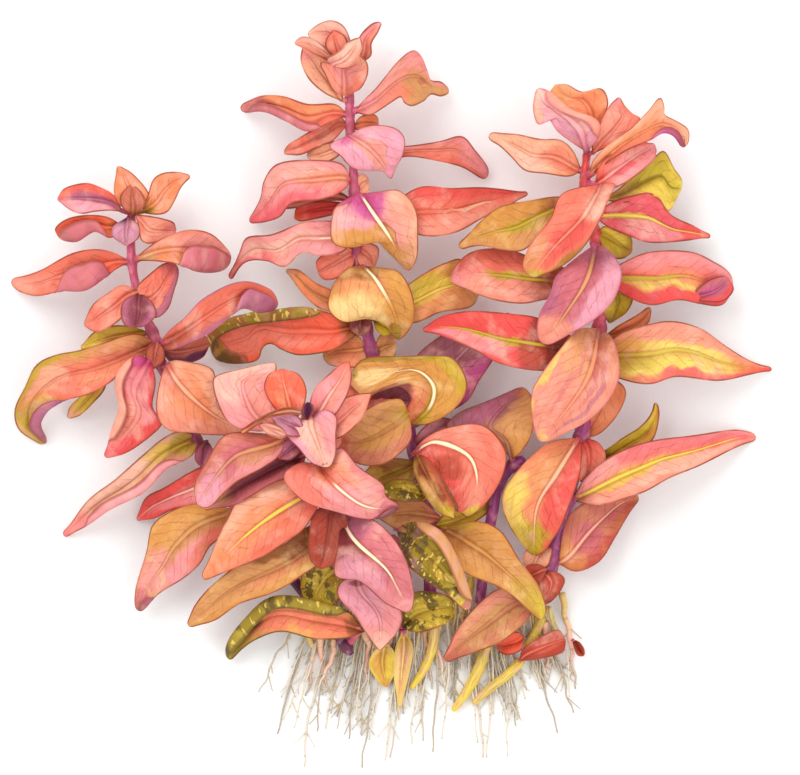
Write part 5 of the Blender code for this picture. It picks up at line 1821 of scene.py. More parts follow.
    Blade("left_leaf_18", SIDE, "pink", (40, 87.4), (12.5, 107.2),
        [(36, 86.2), (32.6, 87.6), (28.6, 90.9), (22.9, 95.9), (17.2, 100.3)],
        [(38.4, 91.2), (33.2, 93.8), (28.6, 98.4), (22, 101.8), (16.4, 105.6)],
        BladeFinish(OLIVE_GOLD, PEACH, PINK, one=BLUSH, other=PINK, rib=STRAW, rib_share=0.2, back=PINK,
            patches=(
                Patch(0.2, -0.1, 0.09, 0.3, OLIVE, 0.8), Patch(0.34, -0.4, 0.16, 0.5, GOLD, 0.8),
                Patch(0.1, 0, 0.1, 1, OLIVE_GOLD, 0.8), Patch(0.56, -0.4, 0.2, 0.5, BLUSH, 0.9),
                Patch(0.92, 0, 0.15, 1, HOT_PINK, 0.4))),
        drop=-7.4, fold=1.2, blunt=0.7, rolls=(Roll(1, 0.05, 1, 1.3, 210),)),
    Blade("left_leaf_11", SIDE, "coral", (31.4, 68.6), (8.6, 88.8),
        [(28, 66.8), (25, 67), (21, 68.4), (16, 70), (11, 71), (7.2, 73), (5, 77.2), (2.8, 82),
         (3.8, 86.2)],
        [(28.4, 71.6), (25, 73.8), (22, 76.6), (18, 78.8), (12.8, 80.2), (9.4, 82.2), (7.9, 84.8),
         (8.3, 87.2)],
        BladeFinish(ROSEWOOD, CORAL, GOLD, one=TAN, rib=BRICK, rib_share=0.3, back=MAUVE, patches=(
            # The peach patch is a painted highlight in the bend.
            Patch(0.62, -0.2, 0.12, 0.5, PEACH, 0.7), Patch(0.88, 0, 0.12, 1.2, OLIVE_GOLD, 0.7),
            Patch(0.62, -0.95, 0.3, 0.25, OLIVE_GOLD, 0.8), Patch(0.08, 0, 0.08, 1, BROWN, 0.6),
            Patch(0.3, 0.4, 0.2, 0.5, ORANGE, 0.6))),
        rib=((20, 73.4), (12, 75.4), (6.8, 79.6), (5.6, 84.4)), arch=4, drop=-8.4, fold=1.8, blunt=0.9,
        rolls=(Roll(1, 0.54, 1.14, 1.5, 220),)),
    Blade("left_leaf_13", SIDE, "coral", (31.6, 68.8), (55.6, 61.2),
        [(34, 66), (37, 63.6), (40, 60.4), (43, 58.4), (46.4, 56.8), (50, 56.4), (54, 58.2)],
        [(34, 70), (38, 68.6), (41.6, 67), (45, 64.4), (48.6, 61.6), (52, 62.2)],
        BladeFinish(ROSEWOOD, CORAL, CORAL, one=CORAL, other=ROSEWOOD, rib=ROSEWOOD, rib_share=0.3,
            back=MAUVE, rim=MAUVE, patches=(
                Patch(0.5, 0.95, 0.35, 0.25, MAUVE, 0.9), Patch(0.15, 0, 0.15, 0.6, BRICK, 0.5))),
        arch=4.6, drop=-5, fold=1.4, tilt=-1, blunt=1.2, rolls=(Roll(1, 0.54, 1.2, 2.6, 235),)),
    Blade("left_leaf_8", SIDE, "coral", (26.4, 52.2), (46.2, 51.4),
        [(31, 48.6), (35, 46.8), (38.6, 46.2), (42.4, 47.4)],
        [(30.4, 52.2), (35.6, 52.8), (40, 54), (44, 53.4)],
        BladeFinish(TAN, ORANGE, PINK, one=SALMON, rib=ORANGE, rib_share=0.3, back=ROSE, bloom=BLUSH,
            patches=(
                Patch(0.12, 0.3, 0.12, 0.6, STRAW, 0.7), Patch(0.7, -0.3, 0.3, 0.6, PINK, 0.6))),
        arch=3, drop=-8.4, fold=1.2, blunt=1.9, rolls=(Roll(1, 0.34, 1.16, 2.9, 235),)),
    Blade("left_leaf_7", SIDE, "coral", (26.2, 52.4), (2, 56.2),
        [(23, 50.6), (19, 49.8), (14, 50.8), (8, 54)],
        [(23.4, 53.8), (20.6, 55.8), (17, 58), (12.4, 58.2), (7.6, 59.2), (4, 58.2)],
        BladeFinish(CORAL, CORAL, SALMON, one=CORAL, rib=CORAL, rib_share=0.3, back=ROSE, bloom=ROSEWOOD,
            patches=(
                Patch(0.2, 0.2, 0.15, 0.6, FLAME, 0.6), Patch(0.85, 0, 0.2, 0.8, SALMON, 0.7))),
        arch=2.6, drop=-9.5, fold=1.4, blunt=0.9, rolls=(Roll(1, 0.06, 0.74, 2.9, 235),)),
    Blade("left_leaf_9", FRONT, "coral", (28, 58), (16.8, 65),
        [(24.4, 57), (21.6, 58.6), (18.6, 61)], [(25.6, 62.4), (22.4, 65.2), (19.2, 66.2)],
        BladeFinish(SALMON, SALMON, CORAL, rib=CORAL, rib_share=0.3, patches=(
            Patch(0.3, 0.1, 0.2, 0.6, CORAL, 0.7), Patch(0.8, 0, 0.2, 1, CORAL, 0.8))),
        arch=2.6, drop=-3, fold=0.8, blunt=0.9),
    Blade("left_leaf_16", FRONT, "red", (30.2, 71.8), (21, 91.4),
        [(27.2, 71.2), (23.8, 74.2), (23.2, 78), (24, 81.4), (22.4, 86)],
        [(31.2, 76.4), (30.6, 81.4), (32.6, 84.4), (30, 87.4), (25.2, 90.6)],
        BladeFinish(MAGENTA, HOT_PINK, HOT_PINK, other=RED, rib=HOT_PINK, rib_share=0.2, back=SALMON,
            patches=(
                Patch(0.7, 0.85, 0.2, 0.4, RED, 0.95), Patch(0.35, 0.2, 0.25, 0.5, PINK, 0.7),
                Patch(0.66, -0.1, 0.2, 0.3, SALMON, 0.7))),
        arch=3, drop=-4, fold=-1.4, blunt=0.7, rolls=(Roll(-1, 0.02, 1, 1.2, 215),)),
    Blade("left_leaf_17", FRONT, "coral", (33.4, 72.6), (49.8, 86.6),
        [(34.8, 72), (37.4, 72.3), (41, 73), (42.9, 74.4), (43.2, 77.6), (43.6, 81.2), (46.2, 84)],
        [(32.4, 74.8), (31.4, 79.6), (31.6, 83.4), (33.8, 86), (38, 86.6), (43.4, 87)],
        BladeFinish(SALMON, ORANGE, PEACH, one=PEACH, other=SALMON, rib=PEACH, rib_share=0.7, patches=(
            Patch(0.3, -0.4, 0.25, 0.5, ORANGE, 0.6), Patch(0.6, -0.6, 0.25, 0.3, PEACH, 0.6))),
        rib=((35.6, 76.4), (39, 80), (43.4, 83.4)), arch=4, drop=-1, fold=-1.4, blunt=1.1),
    Blade("left_leaf_5", FRONT, "coral", (24.6, 45.2), (12, 47.8),
        [(21.6, 43.4), (17.6, 43), (13.6, 43.8), (11.2, 45.8)], [(22.4, 47.6), (19, 46.2), (15.4, 48)],
        BladeFinish(OCHRE, FLAME, CORAL, one=FLAME, rib=FLAME, rib_share=0.2, back=ROSE, bloom=ROSEWOOD,
            patches=(
                Patch(0.98, 0, 0.08, 1, SALMON, 0.8),)),
        arch=2.4, drop=-5, blunt=1, rolls=(Roll(1, 0.15, 1.08, 2, 235),)),
    Blade("left_leaf_2", FRONT, "coral", (26, 42.6), (23.6, 33.2),
        [(23.4, 40.4), (22.8, 37.4)], [(29.2, 41), (29.8, 38.6), (26.6, 34.8)],
        BladeFinish(OCHRE, ORANGE, ORANGE, rib=ORANGE, rib_share=0.3, patches=(
            Patch(0.7, 0.2, 0.3, 0.6, SALMON, 0.5),)),
        arch=1.6, drop=-2),
    Blade("tall_leaf_35", FRONT, "olive", (79.2, 105.4), (93.8, 121.8),
        [(83.4, 104.3), (87.8, 106), (90.9, 110.4), (93.1, 116.4)],
        [(80, 108.8), (81.2, 112.6), (85.4, 116.2), (90.4, 119.4)],
        BladeFinish(OLIVE_GOLD, OLIVE, OLIVE_GOLD, one=OLIVE_GOLD, rib=OLIVE, rib_share=0.2, back=TAN,
            bloom=LILAC, mottle=DARK_OLIVE, patches=(
                Patch(0.15, 0.1, 0.14, 0.8, DARK_OLIVE, 0.8), Patch(0.45, 0.9, 0.3, 0.2, DARK_OLIVE, 0.7),
                Patch(0.62, 0.3, 0.07, 0.2, GOLD, 0.8), Patch(0.72, 0, 0.05, 0.15, YELLOW, 0.8),
                Patch(0.5, 0.1, 0.04, 0.15, GOLD, 0.7), Patch(0.85, 0.5, 0.1, 0.5, GOLD, 0.6),
                Patch(0.97, 0, 0.06, 1.2, ROSEWOOD, 0.8))),
        arch=3, drop=-2, fold=-1.2, blunt=1.2, rolls=(Roll(-1, 0.02, 1.08, 1.4, 220),)),
    Blade("tall_leaf_30", FRONT, "ochre", (82.2, 85), (70.2, 75.4),
        [(86.4, 84.6), (91.4, 81.2), (93.4, 76.8), (91, 72), (87, 71.2), (80, 71.6), (73, 72.6)],
        [(80.6, 83), (82.2, 79.8), (80.2, 77.4), (76.6, 78), (73, 79)],
        BladeFinish(OLIVE_GOLD, OCHRE, TAN, one=OCHRE, rib=CREAM, rib_share=1, rib_span=(0.16, 0.86),
            back=BROWN, bloom=BUTTER, patches=(
                # The butter patch near the tip is a painted highlight on the rolled lip; the maroon one at
                # the inner margin is painted shade in the hollow.
                Patch(0.84, 0.1, 0.15, 0.45, BUTTER, 0.85), Patch(0.42, 0.97, 0.32, 0.26, MAROON, 0.9),
                Patch(0.2, 0.6, 0.2, 0.4, CORAL, 0.8), Patch(0.4, 0.5, 0.2, 0.25, TAN, 0.6),
                Patch(0.3, -0.5, 0.2, 0.5, OCHRE, 0.7), Patch(0.98, 0, 0.04, 1, OLIVE, 0.5),
                Patch(0.76, -1, 0.28, 0.28, OLIVE, 0.9, 0.4),
                Patch(0.45, -0.8, 0.2, 0.25, OLIVE_GOLD, 0.7))),
        rib=((86, 81.2), (86.6, 77), (83, 74), (76.6, 74.8)), arch=4, drop=6, fold=1.6, blunt=2.4),
    Blade("tall_leaf_32", FRONT, "red", (82, 91.4), (93.8, 103.2),
        [(85, 87.6), (90, 85.4), (96.6, 85), (101, 89.8), (100.6, 95), (97.6, 100)],
        [(84.8, 92), (87.4, 96.6), (90.2, 101.2)],
        BladeFinish(RED, CORAL, SALMON, one=CORAL, other=RED, rib=CREAM, rib_share=1, rib_span=(0.05, 0.86),
            back=BROWN, patches=(
                Patch(0.45, 0.35, 0.2, 0.25, BRICK, 0.9), Patch(0.97, 0, 0.07, 1.2, GOLD, 0.9),
                Patch(0.6, -0.98, 0.4, 0.2, CORAL, 0.8), Patch(0.3, -0.5, 0.25, 0.5, SALMON, 0.6))),
        rib=((87, 88.4), (93.6, 91), (95.4, 96), (94.4, 100.4)), arch=5, fold=-1.4, blunt=1,
        rolls=(Roll(1, 0.12, 1, 1.1, 205),)),
    Blade("left_leaf_21", FRONT, "salmon", (73, 126.4), (45.4, 131.8),
        [(69.6, 122.4), (64, 120.4), (57.4, 119.2), (53.2, 120), (49.2, 123.6), (46.2, 127.8)],
        [(68.6, 127.8), (62.6, 127.8), (56.4, 126.4), (51.2, 128)],
        BladeFinish(CORAL, ORANGE, OLIVE_GOLD, other=ORANGE, rib=CORAL, rib_share=0.2, rim=DARK_OLIVE,
            back=OLIVE, bloom=GOLD, back_mottle=DARK_OLIVE, patches=(
                Patch(0.98, 0, 0.29, 1.4, OLIVE, 0.8), Patch(0.74, -0.3, 0.07, 0.6, DARK_OLIVE, 0.85),
                Patch(0.93, 0.3, 0.05, 0.6, OLIVE, 0.7), Patch(0.04, 0, 0.08, 1.2, BROWN, 0.8),
                Patch(0.5, 0.3, 0.3, 0.4, CORAL, 0.6))),
        arch=4, drop=-3.4, blunt=1, rolls=(Roll(-1, 0.02, 1.14, 1.5, 225),)),
    Blade("front_leaf_10", SIDE, "ochre", (67.4, 106.4), (37.6, 125.2),
        [(62.6, 104.8), (56.4, 109), (49, 112), (42.6, 116.8), (39, 121)],
        [(66, 111), (61, 114.8), (55, 118.4), (48, 120.8), (42.8, 124.2)],
        BladeFinish(BROWN, TAN, TAN, one=TAN, other=OCHRE, rib=BROWN, rib_share=0.3, bloom=BUTTER, patches=(
            # The chestnut patch at the base and the brown band along the first margin are painted shade.
            Patch(0.1, -0.3, 0.22, 0.8, CHESTNUT, 0.95), Patch(0.3, -0.8, 0.25, 0.3, BROWN, 0.9),
            Patch(0.7, 0, 0.3, 0.8, TAN, 0.7), Patch(0.42, 0.3, 0.2, 0.3, ORANGE, 0.5))),
        arch=3, drop=-6, fold=1.2, blunt=0.8),
    Blade("left_leaf_20", FRONT, "ochre", (46.6, 102), (27.4, 122.2),
        [(41, 100.6), (35.6, 101.6), (30.6, 104.8), (29.2, 110.4), (27.2, 117.4)],
        [(46.4, 105.4), (42, 109.4), (40, 112.8), (36.6, 115.8), (32, 118.6)],
        BladeFinish(OCHRE, TAN, PINK, one=OCHRE, other=SALMON, rib=TAN, rib_share=0.6, back=MAUVE,
            bloom=BUTTER, patches=(
                Patch(0.55, 0.7, 0.25, 0.5, PINK, 0.9), Patch(0.72, 0, 0.15, 1, PINK, 0.7),
                Patch(0.3, 0.8, 0.2, 0.4, CORAL, 0.8), Patch(0.95, 0, 0.12, 1, ROSE, 0.7),
                Patch(0.3, -0.5, 0.25, 0.6, OCHRE, 0.5))),
        arch=4, drop=-4, fold=-1.4, blunt=1, rolls=(Roll(1, 0.78, 1.16, 1, 205),)),
    Blade("front_leaf_12", FRONT, "pink", (68.2, 103), (81.8, 122.2),
        [(73.6, 103.2), (78.4, 107), (81.6, 112.6), (82.6, 118.6)],
        [(67.6, 109), (67, 115), (72, 116.2), (77, 120.4)],
        BladeFinish(MAROON, ROSE, PINK, one=PINK, rib=CREAM, rib_share=1, rib_span=(0, 0.88), rim=MAROON,
            patches=(
                # The maroon patch near the base on the second side is painted shade.
                Patch(0.2, 0.55, 0.2, 0.6, MAROON, 0.9), Patch(0.16, -0.4, 0.15, 0.6, MAUVE, 0.9),
                Patch(0.55, 0.6, 0.25, 0.5, COOL_PINK, 0.7), Patch(0.6, -0.5, 0.3, 0.4, ROSE, 0.6))),
        rib=((71, 108), (77, 113.4), (79.4, 117.4)), arch=4, drop=-6, fold=-1.6, blunt=1.1),
    Blade("front_leaf_8", SIDE, "coral", (65, 97.6), (40.6, 115.6),
        [(60, 95), (54, 96.6), (48.4, 98.6), (45.6, 103.6), (43, 109)],
        [(64, 100.6), (61.2, 105.4), (58.4, 107.6), (52, 111.6), (44.4, 114.6)],
        BladeFinish(FLAME, ORANGE, ORANGE, one=PEACH, other=CORAL, rib=GOLD, rib_share=1,
            rib_span=(0.06, 0.74), patches=(
                Patch(0.08, 0.2, 0.12, 0.8, RED, 0.7), Patch(0.85, 0, 0.2, 1, ORANGE, 0.8),
                Patch(0.35, 0.6, 0.3, 0.4, CORAL, 0.6))),
        rib=((58.4, 100.6), (50, 106.4)), arch=4, drop=-6, fold=-1.6, blunt=0.9),
    Blade("front_leaf_14", FRONT, "salmon", (64, 93), (79.8, 101.8),
        [(68, 89.4), (71.8, 93.2), (76.4, 96.6), (77.2, 99.4)],
        [(60, 92.4), (56.8, 95.4), (60.6, 100), (67, 102.2), (74, 103.6)],
        BladeFinish(ORANGE, PINK, ROSE, one=PINK, other=PINK, rib=CREAM, rib_share=1, rib_span=(0.24, 0.84),
            rim=MAROON, back=MAUVE_BROWN, patches=(
                Patch(0.3, 0.8, 0.3, 0.4, CORAL, 0.8), Patch(0.2, -0.3, 0.2, 0.5, CORAL, 0.7),
                Patch(0.35, -0.6, 0.2, 0.3, ORANGE, 0.6), Patch(0.98, 0, 0.06, 0.8, MAUVE_BROWN, 0.7),
                Patch(0.6, -0.9, 0.4, 0.3, ROSE, 0.5))),
        rib=((65.2, 95), (69, 98.6), (73.4, 101.2)), arch=4, drop=-3, fold=-1.4, blunt=1.4,
        rolls=(Roll(1, 0.78, 1.2, 1.7, 235),)),
    Blade("front_leaf_6", SIDE, "mauve", (57.6, 87.6), (39.6, 100.8),
        [(52.4, 86.6), (45.4, 86.8), (42, 91.4), (39.4, 97)],
        [(56, 91), (52.6, 93.6), (47, 96.6), (42, 100.8)],
        BladeFinish(BRICK, ROSE, COOL_PINK, one=ROSEWOOD, other=PINK, rib=TAN, rib_share=0.7, patches=(
            Patch(0.85, 0.2, 0.2, 0.9, COOL_PINK, 0.7), Patch(0.3, 0.3, 0.2, 0.4, TAN, 0.6))),
        arch=1.6, drop=-6, fold=-1.2, blunt=1.5),
    Blade("front_leaf_1", SIDE, "pink", (56.8, 86), (54.9, 72.6),
        [(50.6, 86.2), (46, 84.6), (43.6, 80.4), (42.7, 76.2), (44.2, 74.8), (48, 73.9), (52, 73)],
        [(56.6, 82.6), (54.8, 78.4), (54.4, 75.8), (55.2, 74)],
        BladeFinish(PINK, PINK, BLUSH, rib=PINK, rib_share=0.5, bloom=COOL_PINK, patches=(
            Patch(0.7, -0.5, 0.3, 0.5, BLUSH, 0.7), Patch(0.2, 0, 0.2, 0.6, PINK, 0.8),
            Patch(0.5, 0.3, 0.3, 0.4, SALMON, 0.6))),
        arch=1, drop=-3, fold=1.2, blunt=0.9),
    Blade("front_leaf_5", FRONT, "pink", (62.4, 83.6), (65.2, 93.4),
        [(59.4, 84.8), (57.3, 86.8), (59.8, 89.4), (62.4, 92)],
        [(65.2, 82), (67.4, 83.4), (67.2, 86.6), (66.9, 90.2), (66, 92.8)],
        BladeFinish(LILAC, PINK, BLUSH, one=COOL_PINK, rib=PEACH, rib_share=0.8, rim=MAROON, patches=(
            Patch(0.08, 0, 0.14, 1, MAUVE, 0.7), Patch(0.5, -0.2, 0.3, 0.5, BLUSH, 0.8))),
        arch=2.4, fold=-0.8, blunt=1.5),
]

# Young and small blades, which lie among the others. They are raised by given amounts.
SMALL = [
    Blade("left_leaf_1", FRONT, "pink", (24.6, 42.4), (11.4, 39.8),
        [(23, 39.2), (20, 37.4), (17, 36.6), (13, 37.6)],
        [(21.6, 42.2), (19, 42.4), (16.4, 42.8), (14, 42)],
        BladeFinish(MAUVE, MAUVE, RED, one=FLAME, other=COOL_PINK, rib=MAUVE, rib_share=0.3, patches=(
            Patch(0.5, 0.6, 0.4, 0.5, COOL_PINK, 0.9), Patch(0.45, -0.1, 0.35, 0.3, MAUVE, 0.8))),
        arch=1.6, drop=-4, rise=0.2),
    Blade("left_leaf_22", FRONT, "coral", (26.6, 43.2), (26.4, 36.8),
        [(24.4, 41.4), (24.2, 39)], [(29, 41.2), (28.4, 38.6)],
        BladeFinish(BROWN, ROSEWOOD, ROSEWOOD, rib=BROWN, rib_share=0.3),
        arch=1.2, drop=-0.4, rise=1),
    Blade("left_leaf_3", FRONT, "coral", (28.2, 42.6), (38, 35.2),
        [(29.6, 39), (30.6, 36), (32.6, 34.6), (35.6, 34.4)],
        [(31.4, 43), (33.6, 42.4), (35, 40.2), (36.2, 37.6)],
        BladeFinish(OLIVE_GOLD, ORANGE, ORANGE, one=ORANGE, rib=CORAL, rib_share=0.3, patches=(
            Patch(0.1, 0.4, 0.14, 0.6, OLIVE, 0.8),)),
        arch=1.8, drop=-2, rise=0.4),
    Blade("left_leaf_4", FRONT, "coral", (27, 42.8), (35.2, 46.2),
        [(30, 43.2), (33, 43.8), (34.8, 44.6)],
        [(27.8, 45.6), (28.2, 48), (29.6, 48.8), (32, 48.4), (34.2, 47.6)],
        BladeFinish(SALMON, SALMON, PINK, rib=CORAL, rib_share=0.3, patches=(
            Patch(0.5, 0, 0.2, 0.4, PEACH, 0.5),)),
        arch=1.6, drop=-1, rise=1.4),
    Blade("left_leaf_6", FRONT, "mauve", (25.6, 43.4), (25.4, 49.2),
        [(22.8, 45.2), (22.6, 47.4)], [(28, 45.2), (27.8, 47.6)],
        BladeFinish(PLUM, LILAC, LILAC, rib=MAUVE, rib_share=0.3, patches=(
            Patch(0.05, 0.3, 0.12, 0.8, PLUM, 0.8),)),
        arch=1.4, drop=-0.6, rise=0.6),
    Blade("left_leaf_23", FRONT, "mauve", (28.4, 59), (34.8, 52.5),
        [(27.6, 57.2), (30.2, 54.6), (32.6, 52.8)],
        [(29.2, 62.6), (31.6, 63.6), (33.8, 61.6), (34.8, 58.6), (35.7, 55.4), (35.6, 53.6)],
        BladeFinish(SALMON, CORAL, ROSE, rib=CORAL, rib_share=0.3, patches=(
            Patch(0.55, 0.9, 0.5, 0.42, MAUVE, 0.95, 0.3), Patch(0.98, 0, 0.1, 1, ROSE, 0.8))),
        arch=1.6, drop=0.4, rise=1.2),
    Blade("left_leaf_24", FRONT, "mauve", (28, 58.4), (27.2, 65),
        [(24.8, 60.2), (24.2, 63), (25.2, 65.2)], [(30.6, 60.6), (31.2, 63.2), (29, 65.2)],
        BladeFinish(MAROON, MAUVE, MAUVE, rib=MAROON, rib_share=0.3, patches=(
            Patch(0.4, 0, 0.4, 0.6, MAROON, 0.7),)),
        arch=1, drop=-1.2, rise=2.4),
    Blade("left_leaf_10", SIDE, "olive", (29.8, 66.6), (16, 69.6),
        [(27.6, 65.6), (24, 65), (21, 65.4), (18.4, 66.6)], [(27, 68.4), (24, 69.4), (20, 70.2)],
        BladeFinish(OLIVE_GOLD, GOLD, GOLD, other=OLIVE_GOLD, rib=GOLD, rib_share=0.3, bloom=GOLD, patches=(
            Patch(0.4, 0.2, 0.3, 0.6, OCHRE, 0.6),)),
        arch=1.6, drop=-4.6, rise=-1.2),
    Blade("left_leaf_12", SIDE, "ochre", (22, 72.8), (13.4, 83.6),
        [(19, 74.6), (16, 79), (13.8, 81.4)], [(21, 77.6), (18.8, 80.4), (16, 83)],
        BladeFinish(YELLOW, GOLD, PEACH, rib=STRAW, bloom=GOLD),
        arch=0.8, drop=-4.4, rise=-3),
    Blade("left_leaf_14", SIDE, "mauve", (32, 69.4), (41.8, 68.8),
        [(35, 68.2), (38.6, 67.2), (41, 67.2)], [(34, 72.4), (37.4, 72.7), (40.6, 71.4)],
        BladeFinish(ROSE, ROSEWOOD, ROSEWOOD, other=PLUM, rib=ROSE, rib_share=0.3, patches=(
            Patch(0.7, 0.9, 0.4, 0.5, PLUM, 0.95),)),
        arch=1.4, drop=-3, rise=-0.6),
    Blade("left_leaf_15", FRONT, "mauve", (31.4, 68.2), (30.6, 73.8),
        [(29.4, 69.8), (29.2, 72)], [(32.8, 69.8), (32.6, 72.2)],
        BladeFinish(ROSEWOOD, ROSEWOOD, ROSE, rib=ROSE, rib_share=0.3),
        arch=0.8, rise=0.2),
    Blade("left_leaf_19", SIDE, "red", (44.6, 97.4), (27.2, 104),
        [(41, 93.6), (38, 94.4), (33, 97.4), (29, 99.6)], [(40, 100.8), (34.6, 102), (30.6, 103.8)],
        BladeFinish(HOT_PINK, RED, RED, rib=BLUSH, rib_share=0.8, patches=(
            Patch(0.5, 0.3, 0.3, 0.5, PINK, 0.7), Patch(0.95, 0, 0.12, 1, RED, 0.9))),
        drop=-5.4, rise=-0.4),
    Blade("tall_leaf_1", FRONT, "coral", (68.6, 20.4), (60.6, 9.6),
        [(65, 18.8), (61.8, 16), (60.2, 12.4)], [(68.6, 16.4), (67, 13.2), (64.6, 10.4)],
        BladeFinish(PEACH, PEACH, SALMON, one=PEACH, other=ORANGE, rib=SALMON, rib_share=0.3, patches=(
            Patch(0.9, 0, 0.2, 1, PINK, 0.6), Patch(0.2, -0.3, 0.2, 0.8, PEACH, 0.7))),
        arch=1.6, drop=2.4, rise=-0.6),
    Blade("tall_leaf_36", FRONT, "coral", (69, 12.6), (66.8, 6.2),
        [(65.6, 10.6), (65.2, 8.2)], [(69.8, 10), (69, 7.4)],
        BladeFinish(SALMON, CORAL, CORAL, rib=CORAL, rib_share=0.2, patches=(
            Patch(0.5, 0.5, 0.3, 0.4, SALMON, 0.7),)),
        arch=1.8, drop=1.6, rise=2.6),
    Blade("tall_leaf_3", FRONT, "salmon", (68.8, 13.2), (59, 8.8),
        [(64.8, 9.4), (62.4, 7.8), (60.4, 7.6)], [(66.4, 12.6), (64.4, 11.8), (61.6, 10.4)],
        BladeFinish(SALMON, BLUSH, SALMON, one=BLUSH, rib=SALMON, rib_share=0.2, patches=(
            Patch(0.6, -0.5, 0.4, 0.5, BLUSH, 0.9), Patch(0.5, 0.8, 0.4, 0.3, CORAL, 0.7))),
        drop=3.6, rise=3),
    Blade("tall_leaf_4", FRONT, "salmon", (66.4, 13.2), (72, 7.8),
        [(65.4, 11.8), (67.6, 10.6), (70, 8.4)], [(69, 14), (71.2, 12.4), (72.4, 9.8)],
        BladeFinish(PINK, BLUSH, BLUSH, rib=BLUSH, rib_share=0.3, patches=(
            Patch(0.3, 0.9, 0.4, 0.35, SALMON, 0.7),)),
        arch=1.6, drop=1, rise=5.6),
    Blade("tall_leaf_6", FRONT, "coral", (71.6, 13), (76.2, 4.6),
        [(71.4, 9.6), (71.8, 7.6), (73, 6), (74.6, 4.8)], [(74.2, 11.4), (74.4, 8.8), (75.6, 6.6)],
        BladeFinish(SALMON, SALMON, PINK, one=PINK, rib=SALMON, patches=(
            Patch(0.6, -0.3, 0.3, 0.5, PINK, 0.6),)),
        arch=1.6, drop=0.4, rise=1.2),
    Blade("tall_leaf_9", SIDE, "coral", (69.6, 25), (56.8, 30.6),
        [(67.4, 22.8), (64, 25), (60, 27.4), (57.6, 29)], [(66.4, 28.4), (63, 29.8), (60, 31)],
        BladeFinish(ROSEWOOD, CORAL, SALMON, rib=BRICK, patches=(
            Patch(0.3, 0, 0.3, 0.8, ROSEWOOD, 0.7),)),
        arch=1.6, drop=-5, rise=-0.8),
    Blade("tall_leaf_10", SIDE, "coral", (70.4, 25.6), (75.6, 25),
        [(72, 23.4), (74.4, 22.8), (75.6, 23.6)], [(72.4, 26.4), (74.6, 26.4)],
        BladeFinish(ROSEWOOD, ORANGE, ORANGE, rib=ROSEWOOD),
        arch=1, drop=-1, rise=-0.6),
    Blade("tall_leaf_12", SIDE, "salmon", (69.6, 29.4), (61.4, 31.4),
        [(67, 28.2), (63.6, 29.2), (61.8, 30)], [(67, 31.8), (63.8, 32.8)],
        BladeFinish(PEACH, PEACH, BLUSH, rib=PEACH),
        arch=1, drop=-2.4, rise=-0.6),
    Blade("tall_leaf_14", SIDE, "red", (70.6, 41), (58.8, 43.6),
        [(68, 40.4), (63.6, 40.2), (59.6, 41.2)], [(68, 42.6), (64, 43.6), (60.4, 44.2)],
        BladeFinish(RED, RED, FLAME, rib=RED),
        arch=1, drop=-4.4, rise=-2.4),
    Blade("tall_leaf_37", SIDE, "salmon", (70.6, 40.2), (56.4, 41.4),
        [(68, 38.4), (64, 38.4), (60, 38.8)], [(67, 40.2), (63, 40.6), (59, 41.6)],
        BladeFinish(PINK, SALMON, PINK, rib=BLUSH),
        arch=1.2, drop=-4.4, rise=-0.8),
    Blade("tall_leaf_16", SIDE, "salmon", (71.2, 38.2), (73.8, 36.4),
        [(71.6, 35.4), (73, 34.9)], [(72.6, 38.9), (73.8, 38.1)],
        BladeFinish(PEACH, PEACH, BLUSH, rib=PEACH),
        arch=0.8, drop=-0.6, rise=-0.6),
    Blade("tall_leaf_20", SIDE, "coral", (71.6, 50.4), (63.8, 54.4),
        [(68.4, 49), (65, 50.6), (63.2, 52.4)], [(70.2, 54), (67, 55.8), (64.6, 55.8)],
        BladeFinish(CORAL, CORAL, CORAL, rib=CORAL, patches=(
            Patch(0.6, 0.2, 0.3, 0.5, SALMON, 0.6),)),
        arch=1.2, drop=-2.4, rise=-0.4),
    Blade("tall_leaf_21", SIDE, "coral", (71.6, 50), (74.8, 53.4),
        [(73.4, 48.6), (75.6, 49.4), (75.6, 51.6)], [(71.4, 52.4), (73, 54)],
        BladeFinish(CORAL, SALMON, SALMON, rib=CORAL),
        arch=1, drop=-1),
    Blade("tall_leaf_22", SIDE, "ochre", (71, 60.8), (57.2, 54),
        [(66.8, 58.2), (63, 56.4), (59.8, 54)], [(68, 62.4), (64, 61.8), (60.4, 58.6)],
        BladeFinish(OCHRE, ORANGE, OCHRE, rib=BROWN, patches=(
            Patch(0.5, 0, 0.3, 0.6, TAN, 0.5),)),
        arch=1.6, drop=-4, rise=-0.4),
    Blade("tall_leaf_26", FRONT, "mauve", (72.2, 62.8), (72, 67.2),
        [(70.2, 64), (70.2, 66)], [(74, 64), (73.8, 66.2)],
        BladeFinish(BROWN, MAROON, BROWN, rib=BROWN),
        arch=0.8),
    Blade("tall_leaf_27", FRONT, "olive", (74.6, 63.8), (79, 66.4),
        [(76.4, 63), (78.6, 64)], [(75.2, 66), (77, 67.2)],
        BladeFinish(OLIVE, OLIVE_GOLD, OLIVE, rib=GOLD, bloom=GOLD),
        arch=0.8, drop=-1, rise=0.4),
    Blade("tall_leaf_28", SIDE, "ochre", (73.8, 69.6), (64.6, 71.6),
        [(71, 66.8), (67, 67.2), (65, 69)], [(72.4, 73.2), (68.6, 73.4), (66, 73)],
        BladeFinish(OCHRE, ORANGE, TAN, rib=OCHRE),
        arch=1.2, drop=-2.4, rise=-1),
    Blade("tall_leaf_29", SIDE, "ochre", (74.6, 70.4), (79.2, 69),
        [(76, 67), (78.4, 66.6)], [(76.4, 72.2), (78.8, 71.4)],
        BladeFinish(OCHRE, TAN, PEACH, rib=OCHRE, bloom=BUTTER),
        arch=1, drop=-1, rise=-1),
